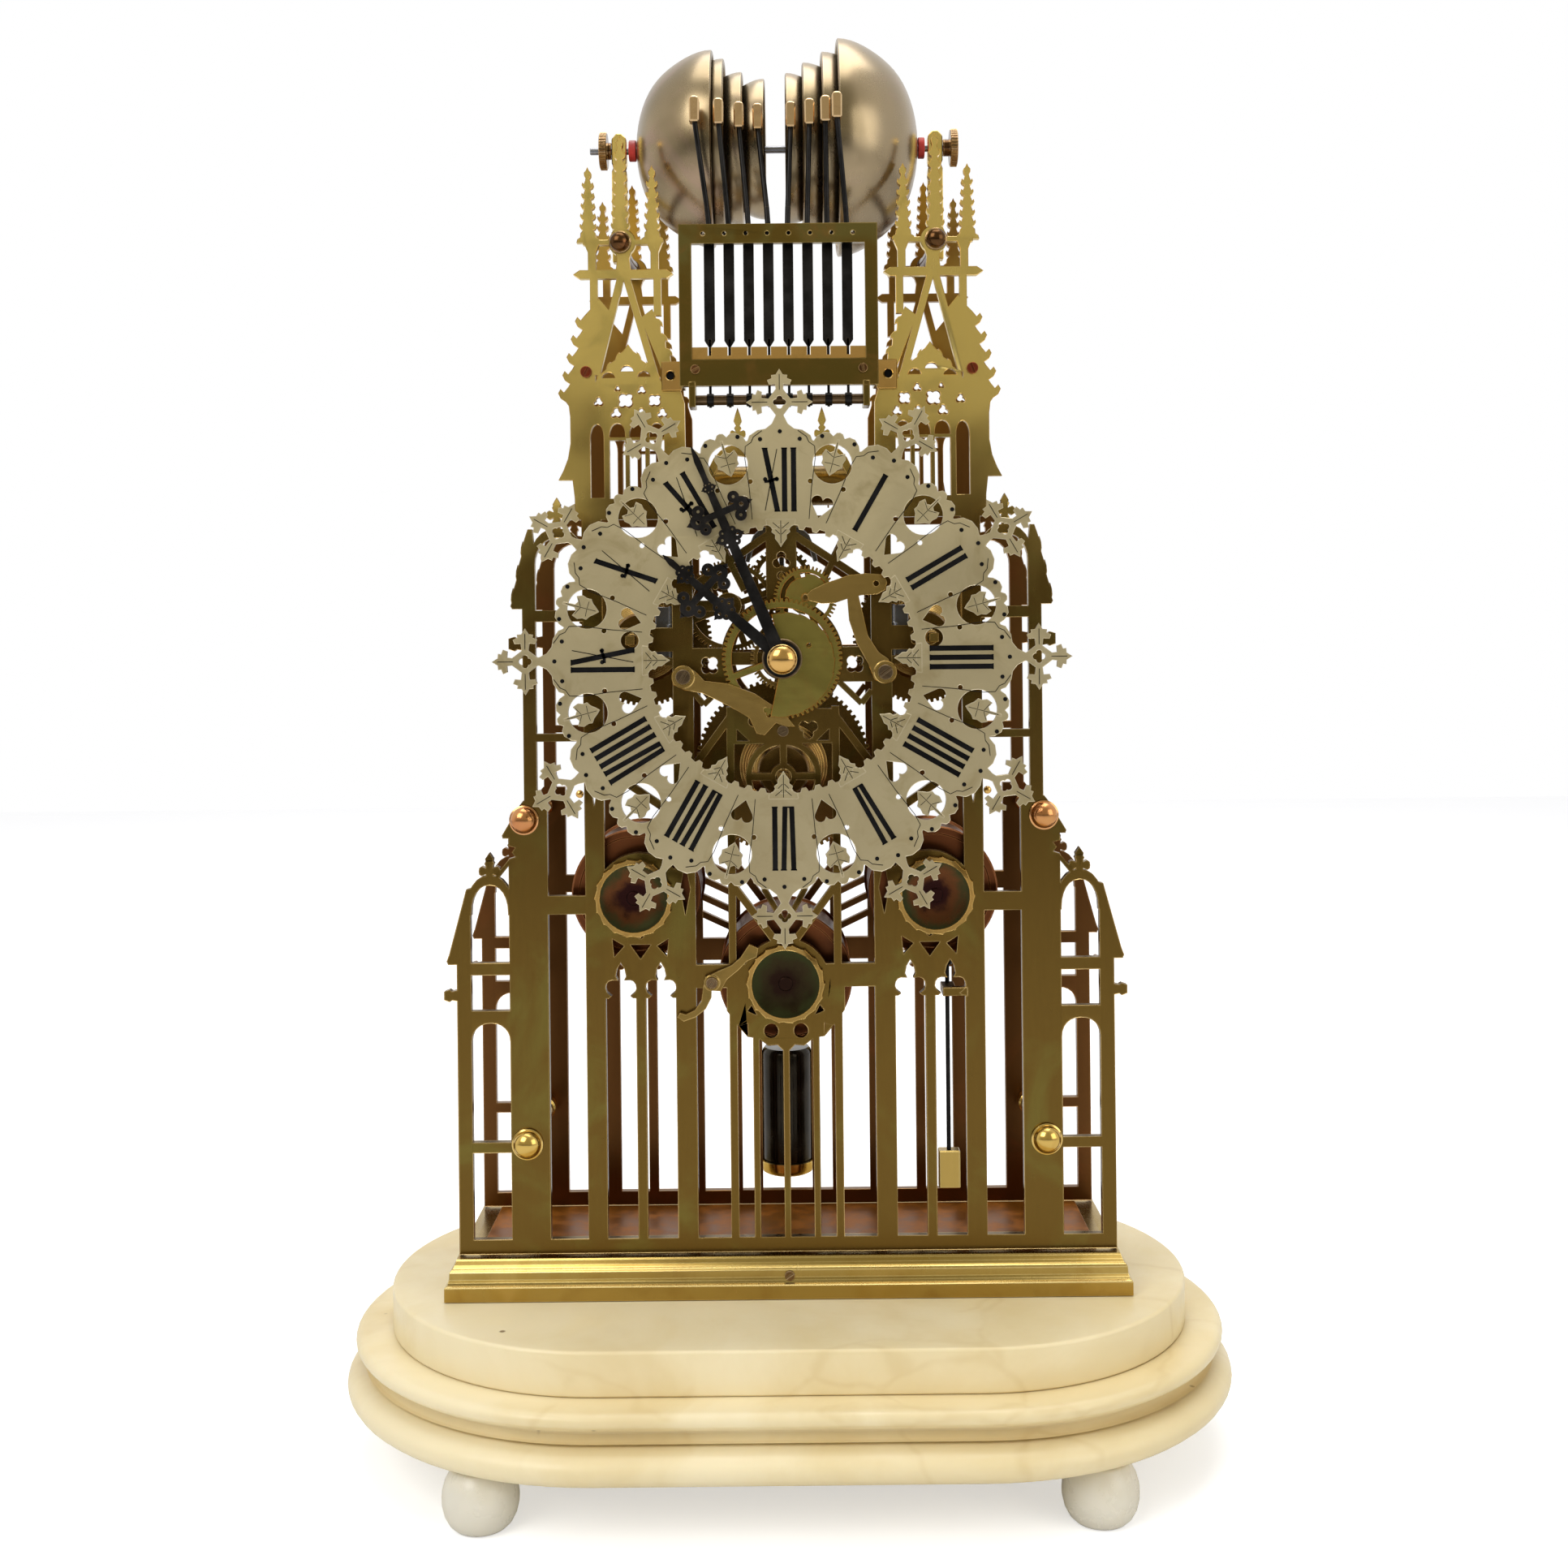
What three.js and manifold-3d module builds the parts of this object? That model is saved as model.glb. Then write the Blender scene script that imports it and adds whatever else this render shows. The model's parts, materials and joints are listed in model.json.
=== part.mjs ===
// Quarter chiming skeleton clock in the form of a Gothic cathedral front, on an oval marble base.
// Millimetres. +X is the viewer's right, +Y the back, +Z up. The origin is on the floor, under the middle.
// Upright pieces are drawn as seen from the front: x across, z up, and w towards the viewer, so w is -Y.
import * as THREE from 'three';
import { mergeVertices } from 'three/addons/utils/BufferGeometryUtils.js';
import Module from 'manifold-3d';

const wasm = await Module();
wasm.setup();

// Clearances
const SEAT_GAP = 0.3;
const RUN_GAP = 0.3;
const TIP_GAP = 0.3;

// Marble base
const FOOT_HEIGHT = 26;
const FOOT_RADIUS = 16.5;
const FOOT_X = 132;
const FOOT_Y = 93;
const SLAB_STRAIGHT = 81.5;
const SLAB_COVE_RADIUS = 112;
const LOWER_ROLL_RADIUS = 125.5;
const LOWER_ROLL_HEIGHT = 17;
const COVE_HEIGHT = 8;
const UPPER_ROLL_RADIUS = 121.4;
const UPPER_ROLL_HEIGHT = 7;
const STEP_RADIUS = 104.6;
const STEP_HEIGHT = 19.2;

// Brass plinth
const PLINTH_HALF_WIDTH = 155.5;
const PLINTH_HALF_DEPTH = 47;
const PLINTH_HEIGHT = 18;

// Plates
const PLATE_THICKNESS = 4;
const PLATE_SPACING = 66;
const PLATE_HALF_WIDTH = 150;
const RAIL_HEIGHT = 6.7;
const SCREW_RADIUS = 1.6;

// Piers and mullions, each from its inner to its outer edge
const CENTRE_BAR_HALF = 1.5;
const FINE_BAR = [12.2, 15.2];
const THIN_BAR = [22.2, 25.8];
const CENTRE_PIER = [40.7, 50.1];
const MULLION = [63.7, 68.3];
const INNER_PIER = [82, 91];
const MAIN_PIER = [108, 125.9];
const BUTTRESS = [143.4, 150];
const OUTER_BAR = [112.5, 118.5];

// Heights of the stages, in a frame whose rails stand at the height given first. The frame is then lifted
// as a whole to stand on the plinth.
const RAIL_BOTTOM = 96.4;
const MAIN_PIER_TOP = 302.5;
const BUTTRESS_TOP = 262.6;
const STAGE_TOP = 431;
const TOWER_BAR = [541, 545];
const EAVES_Z = 557.5;
const SPIRE_TOP = 594;
const TOWER_X = 70.7;

// Arbors: where they stand
const CENTRE_Z = 367.1;
const GOING_FUSEE_Z = 313;
const SIDE_FUSEE_X = 67.5;
const SIDE_FUSEE_Z = 376;
const GOING_BARREL_Z = 218.8;
const SIDE_BARREL_X = 68.7;
const SIDE_BARREL_Z = 258.4;
const THIRD_X = -24.3;
const THIRD_Z = 391.2;
const ESCAPE_Z = 404.7;
const PALLET_Z = 430;
const BARREL_ARBOR_RADIUS = 3;
const CENTRE_ARBOR_RADIUS = 2.4;
const TRAIN_ARBOR_RADIUS = 1.5;

// Barrels, fusees and ratchets
const GOING_BARREL_RADIUS = 31;
const SIDE_BARREL_RADIUS = 30;
const BARREL_HALF_LENGTH = 24;
const SIDE_GREAT_WHEEL_RADIUS = 33;
const FUSEE_WIDE_RADIUS = 21;
const FUSEE_NARROW_RADIUS = 12;
const RATCHET_RADIUS = 18;
const RATCHET_THICKNESS = 3;
const RATCHET_TEETH = 18;
const GOING_TEETH = 28;
const SIDE_TEETH = 24;
const CENTRE_PINION_TEETH = 7;
const THIRD_RATIO = 5;
const ESCAPE_RATIO = 4;
const WHEEL_THICKNESS = 2.2;

// Dial and hands
const DIAL_FRONT_W = 60.8;
const DIAL_THICKNESS = 1.6;
const DIAL_INNER_RADIUS = 58.6;
const DIAL_OUTER_RADIUS = 97;
const PLAQUE_RADIUS = 104;
const FINIAL_RADIUS = 114;
const HAND_THICKNESS = 1.2;
const HOUR_HAND_W = 62.2;
const MINUTE_HAND_W = 65.2;
const MINUTE_HAND_LENGTH = 102;
const HOUR_HAND_LENGTH = 73;
const MINUTE_HAND_TURN = 337.4;
const HOUR_HAND_TURN = 311.7;
const CAP_RADIUS = 6.6;
const CAP_HEIGHT = 4.6;

// Motion work and levers
const SNAIL_INNER = 20;
const SNAIL_OUTER = 26.5;
const SNAIL_W = 51.3;
const HOUR_WHEEL_RADIUS = 27.2;
const HOUR_WHEEL_W = 47;
const MOTION_X = 10.8;
const MOTION_Z = 394.5;
const MOTION_W = 41;
const MOTION_TEETH = 16;
const QUARTER_SNAIL_RADIUS = 11;
const QUARTER_SNAIL_W = 44.2;
const LEVER_W = 49.6;
const LEVER_THICKNESS = 1.4;
const QUARTER_LEVER = [46.2, 360.6];
const RACK_LEVER = [-44.5, 359.3];
const LEVER_STUD_RADIUS = 1.5;
const CLICK_PIVOT = [-33.5, 220];

// Pillars
const LOW_PILLAR = [118.4, 146.7];
const MIDDLE_PILLAR = [118.5, 294.4];
const TOP_PILLAR = [72, 557.5];
const PILLAR_RADIUS = 5;
const TOP_PILLAR_RADIUS = 4;
const PILLAR_STUD_RADIUS = 2.6;
const NUT_RADIUS = 7;
const TOP_NUT_RADIUS = 5.2;

// Bells on their rod
const BELL_ROD_Z = 608.4;
const BELL_ROD_RADIUS = 1.8;
const BELL_ROD_ENDS = [-89, 86];
const KNOB_RADIUS = 8.5;
const KNOB_THICKNESS = 3.7;
const BELL_WALL = 1.8;
const BELL_POST_X = 75;
const BELL_POST_WIDTH = 7;
const BELL_POST_TOP = 616;
// Each bell: its name, the x of its rim, the x of its pole and its rim radius
const BELLS = [
  ['bell_left_1', -30.5, -66.7, 45.2],
  ['bell_left_2', -25.1, -57.3, 41.3],
  ['bell_left_3', -16.6, -44.1, 35.2],
  ['bell_left_4', -6.2, -31.2, 32.1],
  ['bell_right_1', 4.6, 31.6, 34.6],
  ['bell_right_2', 12.6, 43.2, 39.2],
  ['bell_right_3', 21.5, 55.7, 43.9],
  ['bell_right_4', 28.8, 66.7, 49.8],
];

// Hammers and their frame
const HAMMER_ARBOR_W = 45.2;
const HAMMER_ARBOR_Z = 484;
const HAMMER_ARBOR_RADIUS = 2.3;
const HAMMER_ARBOR_HALF = 36;
const HAMMER_PITCH = 8.9;
const HAMMER_STRIKE_GAP = 2.4;
const HAMMER_HEAD = [4.4, 11.4, 8];
const HAMMER_HEAD_Z = 613.3;
const HAMMER_HEAD_X = [-36.9, -26.2, -17.2, -8.7, 6.3, 14.8, 21.9, 26.9];
const FRAME_W = [50, 54];
const FRAME_HALF_WIDTH = 44.5;
const FRAME_Z = [489.4, 561.8];
const FRAME_WINDOW_HALF = 38.8;
const FRAME_WINDOW_Z = [501.4, 553.1];
const COMB_TOP = 507;

// Pendulum
const PENDULUM_PIVOT_Z = 450;
const PENDULUM_W = -52;
const PENDULUM_ROD_RADIUS = 1.4;
const BOB_RADIUS = 12.4;
const BOB_Z = [110, 170];
const CRUTCH_PIN_Z = 405;

// Pull rod
const PULL_ROD_X = 74.7;
const PULL_ROD_W = 25;
const PULL_ROD_RADIUS = 1;
const PULL_GUIDE_Z = [212, 216];
const PULL_TRAVEL = 8;
const PULL_BLOCK_Z = [121.6, 139];
const PULL_BLOCK_WIDTH = 9.9;

// Flies and chime drum
const FLY_X = 51.2;
const FLY_W = 24;
const FLY_WIDTH = 14.6;
const FLY_Z = [368, 391];
const FLY_ARBOR_RADIUS = 1.2;
const FLY_COCK_HEIGHT = 4;
const DRUM_Z = 447;
const DRUM_W = 18;
const DRUM_RADIUS = 9.5;
const DRUM_HALF_LENGTH = 38;
const DRUM_ARBOR_RADIUS = 1.8;

// Values that follow from the ones above
const SLAB_TOP = FOOT_HEIGHT + SEAT_GAP + LOWER_ROLL_HEIGHT + COVE_HEIGHT + UPPER_ROLL_HEIGHT;
const STEP_BOTTOM = SLAB_TOP + SEAT_GAP;
const PLINTH_BOTTOM = STEP_BOTTOM + STEP_HEIGHT + SEAT_GAP;
const PLINTH_TOP = PLINTH_BOTTOM + PLINTH_HEIGHT;
const FRAME_LIFT = PLINTH_TOP + SEAT_GAP - RAIL_BOTTOM;
const RAIL_TOP = RAIL_BOTTOM + RAIL_HEIGHT;
const PLATE_BACK_W = PLATE_SPACING / 2;
const PLATE_FRONT_W = PLATE_BACK_W + PLATE_THICKNESS;

// Solids

function solidOf(geometry) {
  const bare = geometry.clone();
  for (const name of Object.keys(bare.attributes)) {
    if (name !== 'position') bare.deleteAttribute(name);
  }
  const merged = mergeVertices(bare, 1e-4);
  const points = merged.attributes.position;
  const corners = merged.index.array;
  const kept = [];
  let volume = 0;
  const [a, b, c] = [new THREE.Vector3(), new THREE.Vector3(), new THREE.Vector3()];
  for (let i = 0; i < corners.length; i += 3) {
    const [p, q, r] = [corners[i], corners[i + 1], corners[i + 2]];
    if (p === q || q === r || r === p) continue;
    kept.push([p, q, r]);
    a.fromBufferAttribute(points, p);
    b.fromBufferAttribute(points, q);
    c.fromBufferAttribute(points, r);
    volume += a.dot(b.clone().cross(c));
  }
  const faces = volume < 0 ? kept.map(([p, q, r]) => [p, r, q]) : kept;
  return new wasm.Manifold(new wasm.Mesh({
    numProp: 3,
    vertProperties: new Float32Array(points.array),
    triVerts: new Uint32Array(faces.flat()),
  }));
}

function geometryOf(solid) {
  // Faces in one plane that joins and cuts left apart become one face again
  const mesh = solid.asOriginal().simplify(0.02).getMesh();
  const geometry = new THREE.BufferGeometry();
  geometry.setAttribute('position', new THREE.BufferAttribute(new Float32Array(mesh.vertProperties), 3));
  geometry.setIndex(new THREE.BufferAttribute(new Uint32Array(mesh.triVerts), 1));
  geometry.computeVertexNormals();
  return geometry;
}

function join(solids) {
  return solids.reduce((whole, solid) => whole.add(solid));
}

function cut(solid, holes) {
  return solid.subtract(join(holes));
}

function shapeOf(points) {
  const shape = new THREE.Shape();
  shape.setFromPoints(points.map(([x, z]) => new THREE.Vector2(x, z)));
  shape.closePath();
  return shape;
}

// A flat piece with the outline given, from w0 to w1
function flat(points, w0, w1) {
  const geometry = new THREE.ExtrudeGeometry(shapeOf(points), { depth: w1 - w0, bevelEnabled: false });
  return solidOf(geometry.translate(0, 0, w0));
}

function circle(x, z, radius, sides = 16) {
  const points = [];
  for (let i = 0; i < sides; i += 1) {
    const turn = (i + 0.5) / sides * Math.PI * 2;
    points.push([x + radius * Math.cos(turn), z + radius * Math.sin(turn)]);
  }
  return points;
}

function bar(x0, x1, z0, z1) {
  return [[x0, z0], [x1, z0], [x1, z1], [x0, z1]];
}

// A strip of even width from one point to another
function strip([x0, z0], [x1, z1], width) {
  const length = Math.hypot(x1 - x0, z1 - z0);
  const sideX = -(z1 - z0) / length * width / 2;
  const sideZ = (x1 - x0) / length * width / 2;
  return [[x0 + sideX, z0 + sideZ], [x0 - sideX, z0 - sideZ], [x1 - sideX, z1 - sideZ], [x1 + sideX,
    z1 + sideZ]];
}

function block(x0, x1, z0, z1, w0, w1) {
  const geometry = new THREE.BoxGeometry(x1 - x0, z1 - z0, w1 - w0);
  return solidOf(geometry.translate((x0 + x1) / 2, (z0 + z1) / 2, (w0 + w1) / 2));
}

// A piece turned about an axis along w, from a profile of [radius, w] points that is on the axis at its ends
// or closes on itself
function turned(profile, x, z, sides = 16) {
  const points = profile.map(([radius, w]) => new THREE.Vector2(radius, w));
  const geometry = new THREE.LatheGeometry(points, sides);
  geometry.rotateX(Math.PI / 2);
  return solidOf(geometry.translate(x, z, 0));
}

function rod(x, z, radius, w0, w1, sides = 12) {
  return turned([[0, w0], [radius, w0], [radius, w1], [0, w1]], x, z, sides);
}

// A round bar along x
function crossRod(x0, x1, z, w, radius, sides = 12) {
  const geometry = new THREE.CylinderGeometry(radius, radius, x1 - x0, sides);
  geometry.rotateZ(Math.PI / 2);
  return solidOf(geometry.translate((x0 + x1) / 2, z, w));
}

// A round bar along z
function uprightRod(x, w, radius, z0, z1, sides = 10) {
  const geometry = new THREE.CylinderGeometry(radius, radius, z1 - z0, sides);
  return solidOf(geometry.translate(x, (z0 + z1) / 2, w));
}

function toothed(x, z, tip, root, teeth, phase = 0) {
  const points = [];
  for (let i = 0; i < teeth * 2; i += 1) {
    const turn = (i + phase) / teeth * Math.PI;
    const radius = i % 2 === 0 ? tip : root;
    points.push([x + radius * Math.cos(turn), z + radius * Math.sin(turn)]);
  }
  return points;
}

// The windows between the spokes of a wheel
function windows(x, z, inner, outer, spokes, spokeWidth) {
  const steps = 2;
  const holes = [];
  for (let i = 0; i < spokes; i += 1) {
    const middle = (i + 0.5) / spokes * Math.PI * 2;
    const points = [];
    for (const [radius, sign] of [[inner, 1], [outer, -1]]) {
      const half = Math.PI / spokes - spokeWidth / 2 / radius;
      for (let k = 0; k <= steps; k += 1) {
        const turn = middle + sign * half * (1 - 2 * k / steps);
        points.push([x + radius * Math.cos(turn), z + radius * Math.sin(turn)]);
      }
    }
    holes.push(points);
  }
  return holes;
}

function wheel(x, z, tip, teeth, w0, spokes = 5) {
  const depth = Math.PI * tip / teeth * 0.9;
  const body = flat(toothed(x, z, tip, tip - depth, teeth), w0, w0 + WHEEL_THICKNESS);
  const holes = windows(x, z, tip * 0.26, tip - depth - tip * 0.13, spokes, tip * 0.1);
  return cut(body, holes.map((points) => flat(points, w0 - 1, w0 + WHEEL_THICKNESS + 1)));
}

function mirrored(points) {
  return points.map(([x, z]) => [-x, z]);
}

function bothSides(outlines) {
  return outlines.flatMap((points) => [points, mirrored(points)]);
}

// The scene graph

const clock = new THREE.Group();
clock.name = 'quarter_chiming_clock';
// Inside this group z of the geometry points to the viewer and y is up
const upright = new THREE.Group();
upright.rotation.x = Math.PI / 2;
clock.add(upright);
// The plates and all that they carry, lifted to stand on the plinth
const movement = new THREE.Group();
movement.position.y = FRAME_LIFT;
upright.add(movement);

const LOOKS = {
  marble: { color: 0xe6dcc0, roughness: 0.45, metalness: 0 },
  brass: { color: 0x8f7a3c, roughness: 0.35, metalness: 1 },
  brightBrass: { color: 0xc9a349, roughness: 0.25, metalness: 1 },
  silvered: { color: 0xb9a882, roughness: 0.5, metalness: 0.7 },
  bellMetal: { color: 0x9c8560, roughness: 0.3, metalness: 1 },
  blackSteel: { color: 0x16161a, roughness: 0.4, metalness: 0.7 },
  steel: { color: 0x6f7074, roughness: 0.3, metalness: 1 },
};

function add(name, solid, look, group = movement) {
  const mesh = new THREE.Mesh(geometryOf(solid), new THREE.MeshStandardMaterial(LOOKS[look]));
  mesh.name = name;
  group.add(mesh);
  return mesh;
}

// Marble base: bun feet, a slab moulded as roll, cove and roll, and a plain step

function ovalSlab(radius, bottom, height, roll, rollSteps) {
  const body = radius - roll;
  const shape = new THREE.Shape();
  shape.absarc(SLAB_STRAIGHT, 0, body, -Math.PI / 2, Math.PI / 2, false);
  shape.absarc(-SLAB_STRAIGHT, 0, body, Math.PI / 2, Math.PI * 1.5, false);
  const geometry = new THREE.ExtrudeGeometry(shape, {
    depth: height - roll * 2,
    curveSegments: 8,
    bevelEnabled: roll > 0,
    bevelSize: roll,
    bevelThickness: roll,
    bevelSegments: rollSteps,
  });
  return solidOf(geometry.translate(0, 0, bottom + roll));
}

function buildBase() {
  const slabBottom = FOOT_HEIGHT + SEAT_GAP;
  const coveBottom = slabBottom + LOWER_ROLL_HEIGHT;
  const upperRollBottom = coveBottom + COVE_HEIGHT;
  const overlap = 1;
  add('marble_base', join([
    ovalSlab(LOWER_ROLL_RADIUS, slabBottom, LOWER_ROLL_HEIGHT, LOWER_ROLL_HEIGHT * 0.48, 1),
    ovalSlab(SLAB_COVE_RADIUS, coveBottom - overlap, COVE_HEIGHT + overlap * 2, 0, 1),
    ovalSlab(UPPER_ROLL_RADIUS, upperRollBottom, UPPER_ROLL_HEIGHT, UPPER_ROLL_HEIGHT * 0.48, 1),
  ]), 'marble', clock);
  add('marble_step', ovalSlab(STEP_RADIUS, STEP_BOTTOM, STEP_HEIGHT, 0, 1), 'marble', clock);
  const places = [['foot_front_left', -1, 1], ['foot_front_right', 1, 1], ['foot_rear_left', -1, -1],
    ['foot_rear_right', 1, -1]];
  for (const [name, sideX, sideW] of places) {
    const profile = [[0, 0], [FOOT_RADIUS * 0.6, 0], [FOOT_RADIUS * 0.92, FOOT_HEIGHT * 0.22],
      [FOOT_RADIUS, FOOT_HEIGHT * 0.5], [FOOT_RADIUS * 0.93, FOOT_HEIGHT * 0.8],
      [FOOT_RADIUS * 0.75, FOOT_HEIGHT], [0, FOOT_HEIGHT]];
    const foot = turned(profile, 0, 0, 12);
    const mesh = add(name, foot, 'marble', clock);
    mesh.position.set(sideX * FOOT_X, -sideW * FOOT_Y, 0);
  }
}

// Brass plinth: a moulding mitred round a block, with a shallow well for its lacquered floor

function buildPlinth() {
  const steps = [[0, 0], [0, 0.37], [1.3, 0.42], [1.9, 0.72], [3.4, 0.78], [5, 1]];
  const outline = (half) => [
    ...steps.map(([inset, share]) => [half - inset, PLINTH_BOTTOM + share * PLINTH_HEIGHT]),
    ...steps.slice().reverse().map(([inset, share]) => [inset - half, PLINTH_BOTTOM + share * PLINTH_HEIGHT]),
  ];
  const along = flat(outline(PLINTH_HALF_WIDTH), -PLINTH_HALF_DEPTH - 5, PLINTH_HALF_DEPTH + 5);
  const acrossGeometry = new THREE.ExtrudeGeometry(shapeOf(outline(PLINTH_HALF_DEPTH)), {
    depth: PLINTH_HALF_WIDTH * 2 + 10,
    bevelEnabled: false,
  });
  acrossGeometry.translate(0, 0, -PLINTH_HALF_WIDTH - 5).rotateY(Math.PI / 2);
  const moulding = along.intersect(solidOf(acrossGeometry));
  const wellHalfWidth = PLATE_HALF_WIDTH - 8;
  const wellDepth = 2;
  const well = block(-wellHalfWidth, wellHalfWidth, PLINTH_TOP - wellDepth, PLINTH_TOP + 5,
    SEAT_GAP - PLATE_BACK_W, PLATE_BACK_W - SEAT_GAP);
  add('brass_plinth', cut(moulding, [well]), 'brightBrass', upright);
}

// Plates

// A crocketed spire with teeth on both its edges, on a wider foot
function spire(x, top, halfWidth, teeth) {
  const right = [];
  const foot = halfWidth + 2.6;
  const height = top - EAVES_Z - 6;
  for (let i = 0; i < teeth; i += 1) {
    const z = EAVES_Z + i / teeth * height;
    const taper = 1 - 0.5 * i / teeth;
    right.push([halfWidth * taper + 0.9, z + height / teeth * 0.35]);
    right.push([halfWidth * taper - 0.4, z + height / teeth * 0.8]);
  }
  const left = right.map(([offset, z]) => [-offset, z]).reverse();
  return [[-foot, EAVES_Z - 2], [foot, EAVES_Z - 2], ...right, [0, top], ...left]
    .map(([offset, z]) => [x + offset, z]);
}

// A slope from one point to another with crockets on its outer side
function crocketed([x0, z0], [x1, z1], teeth, size, inner) {
  const points = [];
  for (let i = 0; i < teeth; i += 1) {
    const share = i / teeth;
    const next = (i + 0.6) / teeth;
    points.push([x0 + (x1 - x0) * share, z0 + (z1 - z0) * share]);
    points.push([x0 + (x1 - x0) * next + size, z0 + (z1 - z0) * next]);
  }
  return [...points, [x1, z1], ...inner];
}

// The trefoiled opening of a lancet, down to the rail
function lancet(x, half, springing, apex, bottom) {
  const right = [[half, bottom], [half, springing + 3.4], [half * 0.55, springing + 6.2], [half * 0.5,
    apex - 4]];
  const left = right.map(([offset, z]) => [-offset, z]).reverse();
  return [...right, [0, apex], ...left].map(([offset, z]) => [x + offset, z]);
}

// The gable over a turret: two raking bars, and a finial with a cross on the front plate
function turretGable(x0, x1, springing, apex, finialTop, width, isFront) {
  const middle = (x0 + x1) / 2;
  const outlines = [
    strip([x0 + width / 4, springing], [middle, apex], width),
    strip([x1 - width / 4, springing], [middle, apex], width),
    [[middle - 1.6, apex - 3], [middle + 1.6, apex - 3], [middle + 1, finialTop - 4], [middle, finialTop],
      [middle - 1, finialTop - 4]],
  ];
  if (isFront) {
    outlines.push([[middle - 5, finialTop - 8.5], [middle, finialTop - 11], [middle + 5, finialTop - 8.5],
      [middle, finialTop - 6]]);
  }
  return outlines;
}

const LANCET_SPRINGING = 213.5;
const LANCET_APEX = 228.9;
const WEB_TOP = 246;
const TURRET_SPRINGING = 246;

function lowerStage(isFront) {
  const gable = turretGable(MAIN_PIER[1], BUTTRESS[0], TURRET_SPRINGING, 262, 279.2, 3.2, isFront);
  return bothSides([
    bar(FINE_BAR[0], FINE_BAR[1], RAIL_TOP - 1, 200),
    bar(THIN_BAR[0], THIN_BAR[1], RAIL_TOP - 1, 345),
    bar(CENTRE_PIER[0], CENTRE_PIER[1], RAIL_TOP - 1, STAGE_TOP + 1),
    bar(INNER_PIER[0], INNER_PIER[1], RAIL_TOP - 1, STAGE_TOP + 1),
    // main pier and its roof
    [[MAIN_PIER[0], RAIL_TOP - 1], [MAIN_PIER[1], RAIL_TOP - 1], [MAIN_PIER[1], 286.5], [131, 286.5], [131,
      288.5],
      [119, MAIN_PIER_TOP], [MAIN_PIER[0], MAIN_PIER_TOP]],
    // twin lancets with their mullion, and the web over them up to the ratchet
    bar(MULLION[0], MULLION[1], RAIL_TOP - 1, LANCET_APEX),
    bar(CENTRE_PIER[1] - 1, INNER_PIER[0] + 1, LANCET_SPRINGING - 1, WEB_TOP),
    circle(SIDE_BARREL_X - 2.6, SIDE_BARREL_Z, 20.5, 16),
    // crossbars
    bar(INNER_PIER[1] - 1, MAIN_PIER[0] + 1, 251.1, 259.6),
    bar(16, CENTRE_PIER[0] + 1, 216.9, 227.6),
    // outer turret
    [[BUTTRESS[0], RAIL_TOP - 1], [BUTTRESS[1], RAIL_TOP - 1], [BUTTRESS[1], 229.5], [153.2, 229.5],
      [154.4, 231.5],
      [147, BUTTRESS_TOP], [144, BUTTRESS_TOP], [BUTTRESS[0], 252]],
    bar(BUTTRESS[1] - 1, 155.9, 212.2, 217),
    bar(MAIN_PIER[1] - 1, BUTTRESS[0] + 1, 223.7, 229.3),
    bar(MAIN_PIER[1] - 1, BUTTRESS[0] + 1, 202.6, 207.4),
    bar(MAIN_PIER[1] - 1, BUTTRESS[0] + 1, 142.6, 147.4),
    ...gable,
    [[MAIN_PIER[1] - 1, 268], [MAIN_PIER[1] - 1, 271.5], [MAIN_PIER[1] + 2.5, 273.5],
      [MAIN_PIER[1] + 2, 269.5], [(MAIN_PIER[1] + BUTTRESS[0]) / 2, 262.5],
        [(MAIN_PIER[1] + BUTTRESS[0]) / 2, 259]],
    [[MAIN_PIER[1] - 1, 276.5], [MAIN_PIER[1] + 1.6, 279.2], [MAIN_PIER[1] - 1, 281.5]],
  ]);
}

function lowerCentre() {
  return [
    bar(-PLATE_HALF_WIDTH, PLATE_HALF_WIDTH, RAIL_BOTTOM, RAIL_TOP),
    bar(-CENTRE_BAR_HALF, CENTRE_BAR_HALF, RAIL_TOP - 1, 190),
    circle(0, GOING_BARREL_Z, 20.5, 16),
    [[-27, 222], [-27, 207], [-14, 193], [0, 187.5], [14, 193], [27, 207], [27, 222]],
    ...bothSides([strip([0, 232], [THIN_BAR[0], 262], 4)]),
  ];
}

// Behind the dial: the ring round the centre, its arms, straps and tracery
function movementFrame() {
  return [
    circle(0, CENTRE_Z, 28, 20),
    bar(-7, 7, CENTRE_Z, PALLET_Z + 6),
    circle(0, GOING_FUSEE_Z, 17.4, 16),
    bar(-THIN_BAR[0] - 1, THIN_BAR[0] + 1, 328, 344),
    bar(-CENTRE_PIER[0] - 1, CENTRE_PIER[0] + 1, STAGE_TOP - 4, STAGE_TOP + 1),
    strip([THIRD_X, THIRD_Z], [-CENTRE_PIER[0] - 1, THIRD_Z], 5),
    circle(THIRD_X, THIRD_Z, 6, 10),
    circle(MOTION_X, MOTION_Z, 5.5, 10),
    ...bothSides([
      bar(THIN_BAR[0], CENTRE_PIER[0] + 1, 356, 372),
      bar(CENTRE_PIER[0], INNER_PIER[1], 370.5, 381.5),
      strip([5, 424], [CENTRE_PIER[0], 400], 3.5),
      strip([THIN_BAR[0], 343], [CENTRE_PIER[0], 318], 3.5),
      strip([THIN_BAR[0], 300], [CENTRE_PIER[0], 318], 3.5),
      strip([17, 398], [30, 424], 3),
      strip([INNER_PIER[0], 318], [CENTRE_PIER[1], 340], 3.5),
    ]),
  ];
}

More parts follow.
